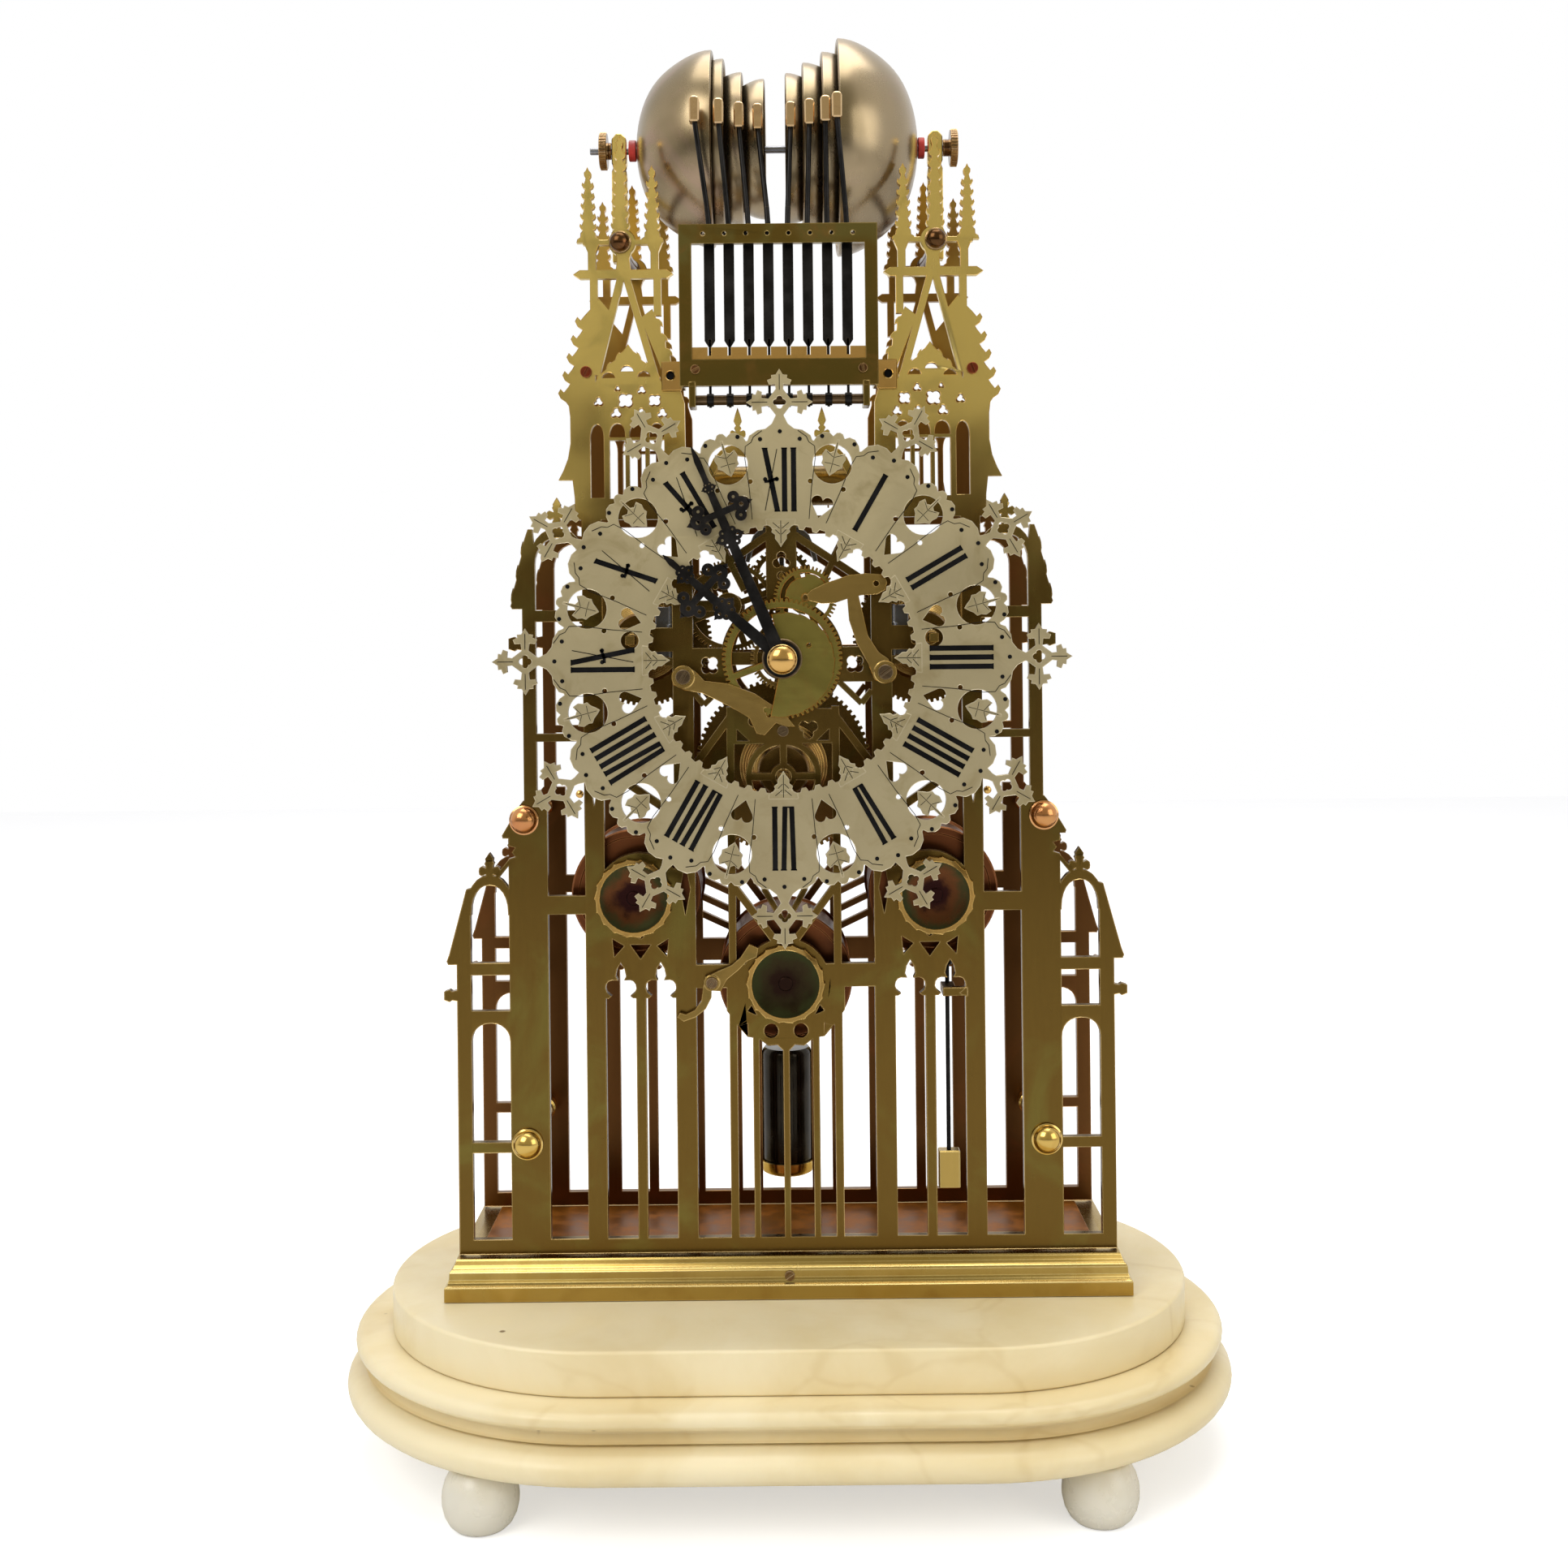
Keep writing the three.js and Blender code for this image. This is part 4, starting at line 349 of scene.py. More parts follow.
def fretwork(name: str, outlines: list[Outline], holes: list[Outline], w0: float, w1: float,
             edge: float = 0.18) -> Piece:
    """Cuts a pierced plate from sheet.

    Args:
        name: The piece's name.
        outlines: Shapes that together make the plate.
        holes: Shapes sawn out of it.
        w0: The back face.
        w1: The front face.
        edge: The width of the chamfer along its arrises.

    Returns:
        The plate as one object.
    """
    plate = flat_solid(name, outlines[0], w0, w1)
    tools = [(flat_solid("tool", shape, w0, w1), "UNION") for shape in outlines[1:]]
    tools += [(flat_solid("tool", shape, w0 - 1, w1 + 1), "DIFFERENCE") for shape in holes]
    mesh = sawn(plate, tools)
    bm = bmesh.new()
    bm.from_mesh(mesh)
    bmesh.ops.remove_doubles(bm, verts=bm.verts[:], dist=MERGE)
    for level, inward in ((-w1 * MM, 1), (-w0 * MM, -1)):
        chamfer_side(bm, level, inward, edge * MM)
    bmesh.ops.recalc_face_normals(bm, faces=bm.faces[:])
    bm.to_mesh(plate.data)
    bm.free()
    bpy.data.meshes.remove(mesh)
    return plate


def chamfer_side(bm: Mesh, level: float, inward: int, edge: float) -> None:
    """Breaks every arris of one side of a pierced plate.

    Args:
        bm: The plate.
        level: The world y of the side's flat face.
        inward: The sign of y that leads into the metal.
        edge: The width of the chamfer in metres.
    """
    flats = [f for f in bm.faces if all(abs(v.co.y - level) < 1e-6 for v in f.verts)]
    inside = set(flats)
    arris = {v for f in flats for v in f.verts if any(g not in inside for g in v.link_faces)}
    bmesh.ops.inset_region(bm, faces=flats, thickness=edge, use_even_offset=False, use_boundary=True)
    bmesh.ops.translate(bm, verts=list(arris), vec=(0, inward * edge, 0))


@dataclass
class Workpiece:
    """One piece under construction: solids are added to its bmesh and finished together."""

    name: str
    bm: Mesh = field(default_factory=bmesh.new)

    def flat(self, outline: Outline, w0: float, w1: float, edge: float = 0.15) -> "Workpiece":
        """Adds a flat solid with softened arrises."""
        part = bmesh.new()
        raise_outline(part, outline, w0, w1)
        bmesh.ops.recalc_face_normals(part, faces=part.faces[:])
        soften_edges(part, edge)
        return self.absorb(part)

    def block(self, x: Point, z: Point, w: Point, edge: float = 0.2) -> "Workpiece":
        """Adds a squared block between two limits on each axis."""
        return self.flat(bar(x[0], x[1], z[0], z[1]), w[0], w[1], edge)

    def turned(self, profile: Outline, centre: Point, steps: int = 40,
               axis: Axis = Axis.TOWARDS_VIEWER) -> "Workpiece":
        """Adds a turned solid.

        Args:
            profile: Points of radius and distance along the axis.
            centre: Where the axis stands, as x and z for an axis towards the viewer, z and w for one
                across, or x and w for an upright one.
            steps: How many facets go round.
            axis: The line that it is turned about.

        Returns:
            The workpiece.
        """
        part = bmesh.new()
        verts = [part.verts.new((radius * MM, 0, along * MM)) for radius, along in profile]
        edges = [part.edges.new(pair) for pair in zip(verts, verts[1:])]
        bmesh.ops.spin(part, geom=[*verts, *edges], cent=(0, 0, 0), axis=(0, 0, 1), angle=2 * math.pi, steps=steps,
                       use_merge=True)
        bmesh.ops.remove_doubles(part, verts=part.verts[:], dist=MERGE)
        bmesh.ops.recalc_face_normals(part, faces=part.faces[:])
        a, b = centre
        place = {
            Axis.TOWARDS_VIEWER: Matrix.Translation((a * MM, 0, b * MM)) @ Matrix.Rotation(math.pi / 2, 4, "X"),
            Axis.ACROSS: Matrix.Translation((0, -b * MM, a * MM)) @ Matrix.Rotation(math.pi / 2, 4, "Y"),
            Axis.UPRIGHT: Matrix.Translation((a * MM, -b * MM, 0)),
        }[axis]
        bmesh.ops.transform(part, matrix=place, verts=part.verts[:])
        for face in part.faces:
            face.smooth = True
        return self.absorb(part)

    def rod(self, radius: float, span: Point, centre: Point, steps: int = 24,
            axis: Axis = Axis.TOWARDS_VIEWER) -> "Workpiece":
        """Adds a plain round bar with slightly broken ends."""
        chamfer = min(0.3, radius * 0.3)
        low, high = span
        profile = [(0, low), (radius - chamfer, low), (radius, low + chamfer), (radius, high - chamfer),
                   (radius - chamfer, high), (0, high)]
        return self.turned(profile, centre, steps, axis)

    def lean(self, start: Vector, end: Vector, radius: float, steps: int = 4, tip: float | None = None) -> "Workpiece":
        """Adds a straight bar between two points given in millimetres, square where it has four sides."""
        part = bmesh.new()
        length = (end - start).length
        bmesh.ops.create_cone(part, cap_ends=True, segments=steps, radius1=radius * MM,
                              radius2=(radius if tip is None else tip) * MM, depth=length * MM)
        turn = (end - start).to_track_quat("Z", "Y").to_matrix().to_4x4()
        bmesh.ops.transform(part, matrix=Matrix.Translation((start + end) * MM / 2) @ turn, verts=part.verts[:])
        return self.absorb(part)

    def absorb(self, part: Mesh) -> "Workpiece":
        """Takes in another bmesh and frees it."""
        mesh = bpy.data.meshes.new("part")
        part.to_mesh(mesh)
        part.free()
        self.bm.from_mesh(mesh)
        bpy.data.meshes.remove(mesh)
        return self

    def take(self, piece: Piece) -> "Workpiece":
        """Takes in a finished object's mesh and removes the object."""
        self.bm.from_mesh(piece.data)
        bpy.data.meshes.remove(piece.data)
        return self

    def done(self) -> Piece:
        """Returns the finished object."""
        return finished(self.bm, self.name)


def shade_by_angle(piece: Piece, degrees: float = 32) -> None:
    """Smooths a mesh except across edges sharper than the angle given."""
    bm = bmesh.new()
    bm.from_mesh(piece.data)
    for face in bm.faces:
        face.smooth = True
    for edge in bm.edges:
        edge.smooth = edge.calc_face_angle(math.pi) < math.radians(degrees)
    bm.to_mesh(piece.data)
    bm.free()


def screw_head(work: Workpiece, x: float, z: float, w: float, radius: float, height: float = 1.2,
               slot_turn: float = 20) -> None:
    """Adds a slotted cheese-head screw that faces the viewer.

    Args:
        work: The workpiece that takes the screw.
        x: Its place across.
        z: Its height.
        w: Where the head's underside stands.
        radius: The head's radius.
        height: The head's height.
        slot_turn: The slot's angle in degrees.
    """
    head = flat_solid("head", circle(x, z, radius, 28), w, w + height)
    slot = flat_solid("slot", moved(bar(-radius * 1.2, radius * 1.2, -radius * 0.13, radius * 0.13), x, z, slot_turn),
                      w + height * 0.55, w + height + 1)
    mesh = sawn(head, [(slot, "DIFFERENCE")])
    bm = bmesh.new()
    bm.from_mesh(mesh)
    bmesh.ops.dissolve_limit(bm, angle_limit=math.radians(1), verts=bm.verts[:], edges=bm.edges[:],
                             use_dissolve_boundaries=False)
    soften_edges(bm, radius * 0.06)
    work.absorb(bm)
    for waste in (head.data, mesh):
        bpy.data.meshes.remove(waste)


# ---- finishes


def tint(red: int, green: int, blue: int) -> Colour:
    """Returns a scene colour from the values of a display colour."""
    shares = (value / 255 for value in (red, green, blue))
    return tuple(share / 12.92 if share <= 0.04045 else ((share + 0.055) / 1.055) ** 2.4 for share in shares)


class Bench:
    """Lays out shader nodes in one node tree."""

    def __init__(self, tree: bpy.types.NodeTree) -> None:
        """Keeps the tree.

        Args:
            tree: The node tree of a material, a world or a group.
        """
        self.tree = tree

    def put(self, kind: str, inputs: dict | None = None, **settings: object) -> bpy.types.Node:
        """Adds a node.

        Args:
            kind: The node's type name.
            inputs: Values or source sockets for the named or numbered inputs.
            **settings: The node's own settings.

        Returns:
            The new node.
        """
        node = self.tree.nodes.new(kind)
        for key, value in settings.items():
            setattr(node, key, value)
        self.feed(node, inputs or {})
        return node

    def feed(self, node: bpy.types.Node, inputs: dict) -> None:
        """Gives a node's inputs their values or source sockets."""
        for key, value in inputs.items():
            if isinstance(value, Socket):
                self.tree.links.new(value, node.inputs[key])
            else:
                node.inputs[key].default_value = value

    def place(self) -> Socket:
        """Returns the surface point in the clock's own frame."""
        return self.put("ShaderNodeTexCoord").outputs["Object"]

    def vector(self, operation: str, first: object, second: object) -> Socket:
        """Does one sum with vectors."""
        return self.put("ShaderNodeVectorMath", {0: first, 1: second}, operation=operation).outputs[0]

    def bump(self, strength: float, distance: float, height: Socket) -> Socket:
        """Turns a height into a normal."""
        return self.put("ShaderNodeBump", {"Strength": strength, "Distance": distance, "Height": height}).outputs[0]

    def mix(self, factor: object, low: object, high: object) -> Socket:
        """Mixes two colours."""
        given = {place: (*value, 1) if isinstance(value, tuple) else value
                 for place, value in ((0, factor), (6, low), (7, high))}
        return self.put("ShaderNodeMix", given, data_type="RGBA").outputs[2]

    def sums(self, operation: str, *values: object, clamp: bool = False) -> Socket:
        """Does one sum with numbers or sockets."""
        return self.put("ShaderNodeMath", dict(enumerate(values)), operation=operation, use_clamp=clamp).outputs[0]

    def span(self, value: object, low: float, high: float, out_low: float = 0, out_high: float = 1,
             smooth: bool = True) -> Socket:
        """Carries one range of values over to another."""
        kind = "SMOOTHSTEP" if smooth else "LINEAR"
        return self.put("ShaderNodeMapRange", {0: value, 1: low, 2: high, 3: out_low, 4: out_high},
                        interpolation_type=kind).outputs[0]

    def noise(self, vector: object, scale: object, detail: float = 2, rough: float = 0.5,
              distortion: float = 0) -> Socket:
        """Adds a cloud pattern."""
        return self.put("ShaderNodeTexNoise", {"Vector": vector, "Scale": scale, "Detail": detail,
                                               "Roughness": rough, "Distortion": distortion}).outputs[0]


class Effect(Enum):
    """Surface effects that several finishes share."""

    # painted reflection graded by height, with random tone patches
    PAINTED_SHEEN_AND_PATCHES = "painted sheen and tone patches"
    RUBBED_EDGE = "rubbed edges"
    LAPPING = "lapping marks"
    SETTLED_DUST = "settled dust"


def group_shell(effect: Effect, inputs: dict[str, tuple[str, object]], outputs: dict[str, str]) -> Bench:
    """Makes an empty node group with its sockets.

    Args:
        effect: The effect that the group stands for.
        inputs: Each input's name with its socket type and value.
        outputs: Each output's name with its socket type.

    Returns:
        A bench on the group.
    """
    tree = bpy.data.node_groups.new(effect.value, "ShaderNodeTree")
    for name, (kind, value) in inputs.items():
        socket = tree.interface.new_socket(name=name, in_out="INPUT", socket_type=kind)
        socket.default_value = value
    for name, kind in outputs.items():
        tree.interface.new_socket(name=name, in_out="OUTPUT", socket_type=kind)
    return Bench(tree)


def sheen_and_patches_group() -> None:
    """Builds a metal's painted reflection, a colour graded with height from Low through Middle to High for the lighter
    or darker surroundings each height reflects, with random tone patches over it.
    """
    grey = (0.5, 0.5, 0.5, 1)
    bench = group_shell(Effect.PAINTED_SHEEN_AND_PATCHES, {
        "Low": ("NodeSocketColor", grey), "Middle": ("NodeSocketColor", grey), "High": ("NodeSocketColor", grey),
        "Patch": ("NodeSocketColor", grey), "Patch Scale": ("NodeSocketFloat", 9),
        "Patch Share": ("NodeSocketFloat", 0.4), "Bottom": ("NodeSocketFloat", 0.1), "Top": ("NodeSocketFloat", 0.6),
    }, {"Colour": "NodeSocketColor", "Mask": "NodeSocketFloat"})
    given = bench.put("NodeGroupInput").outputs
    where = bench.place()
    height = bench.put("ShaderNodeSeparateXYZ", {0: where}).outputs[2]
    cloud = bench.noise(where, given["Patch Scale"], 3, 0.55, 0.6)
    wander = bench.span(cloud, 0.3, 0.7, -0.07, 0.07, smooth=False)
    level = bench.sums("ADD", height, wander)
    share = bench.put("ShaderNodeMapRange", {0: level, 1: given["Bottom"], 2: given["Top"]}).outputs[0]
    lower = bench.mix(bench.span(share, 0, 0.5), given["Low"], given["Middle"])
    whole = bench.mix(bench.span(share, 0.5, 1), lower, given["High"])
    second = bench.noise(where, bench.sums("MULTIPLY", given["Patch Scale"], 2.3), 4, 0.6, 1.2)
    mask = bench.span(second, 0.5, 0.72)
    toned = bench.mix(bench.sums("MULTIPLY", mask, given["Patch Share"]), whole, given["Patch"])
    bench.put("NodeGroupOutput", {"Colour": toned, "Mask": mask})


def rubbed_edge_group() -> None:
    """Builds the mask of arrises that handling has rubbed bright."""
    bench = group_shell(Effect.RUBBED_EDGE, {"Width": ("NodeSocketFloat", 0.0008)}, {"Mask": "NodeSocketFloat"})
    given = bench.put("NodeGroupInput").outputs
    rounded = bench.put("ShaderNodeBevel", {"Radius": given["Width"]}, samples=4).outputs[0]
    plain = bench.put("ShaderNodeNewGeometry").outputs["Normal"]
    likeness = bench.put("ShaderNodeVectorMath", {0: rounded, 1: plain}, operation="DOT_PRODUCT").outputs["Value"]
    bench.put("NodeGroupOutput", {"Mask": bench.span(likeness, 0.995, 0.86)})


def lapping_group() -> None:
    """Builds the fine drawn marks and specks of hand-finished metal."""
    bench = group_shell(Effect.LAPPING, {
        "Along X": ("NodeSocketFloat", 40), "Along Y": ("NodeSocketFloat", 900),
        "Along Z": ("NodeSocketFloat", 900),
    }, {"Value": "NodeSocketFloat", "Height": "NodeSocketFloat"})
    given = bench.put("NodeGroupInput").outputs
    where = bench.place()
    stretch = bench.put("ShaderNodeCombineXYZ", {0: given["Along X"], 1: given["Along Y"], 2: given["Along Z"]})
    drawn = bench.vector("MULTIPLY", where, stretch.outputs[0])
    marks = bench.noise(drawn, 1, 3, 0.6)
    specks = bench.noise(where, 260, 5, 0.7)
    value = bench.sums("ADD", bench.sums("MULTIPLY", marks, 0.6), bench.sums("MULTIPLY", specks, 0.4))
    bench.put("NodeGroupOutput", {"Value": bench.span(value, 0.3, 0.7), "Height": value})


def settled_dust_group() -> None:
    """Builds the mask of dust on faces that look upwards."""
    bench = group_shell(Effect.SETTLED_DUST, {"Amount": ("NodeSocketFloat", 0.3)}, {"Mask": "NodeSocketFloat"})
    given = bench.put("NodeGroupInput").outputs
    where = bench.place()
    upward = bench.put("ShaderNodeSeparateXYZ", {0: bench.put("ShaderNodeNewGeometry").outputs["Normal"]}).outputs[2]
    film = bench.noise(where, 140, 4, 0.7)
    share = bench.sums("MULTIPLY", bench.span(upward, 0.5, 0.95), bench.span(film, 0.35, 0.65))
    bench.put("NodeGroupOutput", {"Mask": bench.sums("MULTIPLY", share, given["Amount"])})


def build_effect_groups() -> None:
    """Builds every shared effect once."""
    for build in (sheen_and_patches_group, rubbed_edge_group, lapping_group, settled_dust_group):
        build()


def use_effect(bench: Bench, effect: Effect, values: dict[str, object]) -> dict[str, Socket]:
    """Places a shared effect in a material.

    Args:
        bench: The material's bench.
        effect: Which effect.
        values: Its inputs, numbers or colours.

    Returns:
        The effect's outputs by name.
    """
    node = bench.put("ShaderNodeGroup", node_tree=bpy.data.node_groups[effect.value])
    for name, value in values.items():
        node.inputs[name].default_value = (*value, 1) if isinstance(value, tuple) else value
    return {socket.name: socket for socket in node.outputs}


def fresh_material(name: str) -> tuple[bpy.types.Material, Bench, bpy.types.Node]:
    """Returns a new material with its bench and its main shader."""
    material = bpy.data.materials.new(name)
    material.use_nodes = True
    bench = Bench(material.node_tree)
    return material, bench, material.node_tree.nodes["Principled BSDF"]


@dataclass(frozen=True)
class Metal:
    """A metal finish whose colour is painted reflection graded by height, with random tone patches, rubbed arrises and
    drawn marks.
    """

    name: str
    # low, middle and high are painted reflection tones, graded by height between bottom and top
    low: Colour
    middle: Colour
    high: Colour
    patch: Colour
    edge: Colour
    roughness: float = 0.28
    patch_scale: float = 9.0
    patch_share: float = 0.45
    drawn: tuple[float, float, float] = (60, 700, 700)
    dust: float = 0.25
    lacquer: float = 0.0
    bottom: float = 0.1
    top: float = 0.6

    def material(self) -> bpy.types.Material:
        """Builds the material."""
        material, bench, shader = fresh_material(self.name)
        low = tint(*self.low)
        # painted reflection graded by height, with random tone patches
        sheen_and_patches = use_effect(bench, Effect.PAINTED_SHEEN_AND_PATCHES, {
            "Low": low, "Middle": tint(*self.middle), "High": tint(*self.high), "Patch": tint(*self.patch),
            "Patch Scale": self.patch_scale, "Patch Share": self.patch_share, "Bottom": self.bottom, "Top": self.top})
        rubbed = use_effect(bench, Effect.RUBBED_EDGE, {"Width": 0.0007})["Mask"]
        marks = use_effect(bench, Effect.LAPPING, dict(zip(("Along X", "Along Y", "Along Z"), self.drawn)))
        dusty = use_effect(bench, Effect.SETTLED_DUST, {"Amount": self.dust})["Mask"]
        toned = bench.mix(bench.sums("MULTIPLY", rubbed, 0.7), sheen_and_patches["Colour"], tint(*self.edge))
        shaded = bench.mix(bench.span(marks["Value"], 0, 1, 0, 0.03), toned, tuple(c * 0.5 for c in low))
        gloss = bench.span(marks["Value"], 0, 1, self.roughness - 0.012, self.roughness + 0.014)
        bench.feed(shader, {
            "Base Color": bench.mix(dusty, shaded, tint(176, 160, 128)),
            "Roughness": bench.sums("ADD", gloss, bench.sums("MULTIPLY", dusty, 0.5)),
            "Metallic": bench.span(dusty, 0, 1, 1, 0.3), "Normal": bench.bump(0.006, 0.0001, marks["Height"]),
            "Coat Weight": self.lacquer, "Coat Roughness": 0.12})
        return material


@dataclass(frozen=True)
class Marble:
    """A worn cream marble with soft clouds, faint veins and small pits."""

    name: str
    body: Colour
    cloud: Colour
    stain: Colour
    pit: Colour
    roughness: float = 0.38

    def material(self) -> bpy.types.Material:
        """Builds the material."""
        material, bench, shader = fresh_material(self.name)
        where = bench.place()
        clouds = bench.noise(where, 9, 6, 0.6, 0.5)
        fine = bench.noise(where, 60, 8, 0.65, 0.3)
        stain = tint(*self.stain)
        body = bench.mix(bench.span(clouds, 0.38, 0.66), tint(*self.body), tint(*self.cloud))
        stained = bench.mix(bench.sums("MULTIPLY", bench.span(bench.noise(where, 5, 4, 0.6, 1), 0.5, 0.74), 0.55),
                            body, stain)
        swirl = bench.put("ShaderNodeTexNoise", {"Vector": where, "Scale": 14, "Detail": 3.0}).outputs["Color"]
        wander = bench.put("ShaderNodeVectorMath", {0: swirl, "Scale": 0.06}, operation="SCALE")
        veined = bench.vector("ADD", where, wander.outputs[0])
        seam = bench.put("ShaderNodeTexVoronoi", {"Vector": veined, "Scale": 11},
                         feature="DISTANCE_TO_EDGE").outputs[0]
        faint = bench.sums("MULTIPLY", bench.span(seam, 0.03, 0), bench.span(clouds, 0.45, 0.62))
        lined = bench.mix(bench.sums("MULTIPLY", faint, 0.28), stained, stain)
        spots = bench.put("ShaderNodeTexVoronoi", {"Vector": where, "Scale": 42}).outputs["Distance"]
        pits = bench.sums("MULTIPLY", bench.span(spots, 0.075, 0.03), bench.span(bench.noise(where, 13), 0.58, 0.62))
        pitted = bench.mix(bench.sums("MULTIPLY", pits, 0.85), lined, tint(*self.pit))
        rubbed = use_effect(bench, Effect.RUBBED_EDGE, {"Width": 0.002})["Mask"]
        depth = bench.sums("SUBTRACT", bench.sums("MULTIPLY", fine, 0.15), pits)
        bench.feed(shader, {
            "Base Color": bench.mix(bench.sums("MULTIPLY", rubbed, 0.3), pitted, stain),
            "Roughness": bench.span(fine, 0.3, 0.7, self.roughness - 0.08, self.roughness + 0.1),
            "Normal": bench.bump(0.25, 0.0006, depth), "Subsurface Weight": 0.08,
            "Subsurface Radius": (0.006, 0.004, 0.002)})
        return material


@dataclass(frozen=True)
class Blackening:
    """Black steel, wax or paint, with its arrises rubbed through and a little dust."""

    name: str
    body: Colour
    worn: Colour
    roughness: float
    metallic: float
    wear: float = 0.5
    dust: float = 0.2
    shine: float = 0.5

    def material(self) -> bpy.types.Material:
        """Builds the material."""
        material, bench, shader = fresh_material(self.name)
        where = bench.place()
        cloud = bench.noise(where, 90, 5, 0.6)
        rubbed = use_effect(bench, Effect.RUBBED_EDGE, {"Width": 0.0005})["Mask"]
        dusty = use_effect(bench, Effect.SETTLED_DUST, {"Amount": self.dust})["Mask"]
        black = tint(*self.body)
        body = bench.mix(bench.span(cloud, 0.35, 0.7), black, tuple(c * 1.9 + 0.004 for c in black))
        share = bench.sums("MULTIPLY", bench.sums("MULTIPLY", rubbed, bench.span(cloud, 0.4, 0.6)), self.wear)
        bench.feed(shader, {
            "Base Color": bench.mix(dusty, bench.mix(share, body, tint(*self.worn)), tint(150, 140, 120)),
            "Roughness": bench.span(cloud, 0.3, 0.7, self.roughness - 0.06, self.roughness + 0.1),
            "Normal": bench.bump(0.12, 0.0002, cloud), "Metallic": self.metallic, "Specular IOR Level": self.shine})
        return material


@dataclass(frozen=True)
class ReflectionRingDish:
    """A dished brass face with painted reflection: tones that change in rings about each ratchet's axis, dark at the
    heart.
    """

    name: str
    heart: Colour
    middle: Colour
    rim: Colour
    roughness: float
    axes: tuple[Point, ...] = ((0, BARREL_Z), *both_sides(SIDE_BARREL))
    radius: float = 16.0

    def material(self) -> bpy.types.Material:
        """Builds the material."""
        material, bench, shader = fresh_material(self.name)
        where = bench.place()
        flat = bench.vector("MULTIPLY", where, (1, 0, 1))
        nearest = None
        for x, z in self.axes:
            far = bench.put("ShaderNodeVectorMath", {0: flat, 1: (x * MM, 0, z * MM)}, operation="DISTANCE")
            gap = far.outputs["Value"]
            nearest = gap if nearest is None else bench.sums("MINIMUM", nearest, gap)
        cloud = bench.noise(where, 120, 4, 0.6)
        ring = bench.sums("ADD", bench.sums("DIVIDE", nearest, self.radius * MM),
                          bench.span(cloud, 0.3, 0.7, -0.12, 0.12))
        # painted reflection rings: heart, middle and rim tones by distance from the axis
        inner = bench.mix(bench.span(ring, 0.3, 0.62), tint(*self.heart), tint(*self.middle))
        bench.feed(shader, {
            "Base Color": bench.mix(bench.span(ring, 0.6, 0.95), inner, tint(*self.rim)),
            "Roughness": bench.span(cloud, 0.3, 0.7, self.roughness - 0.05, self.roughness + 0.08), "Metallic": 1})
        return material


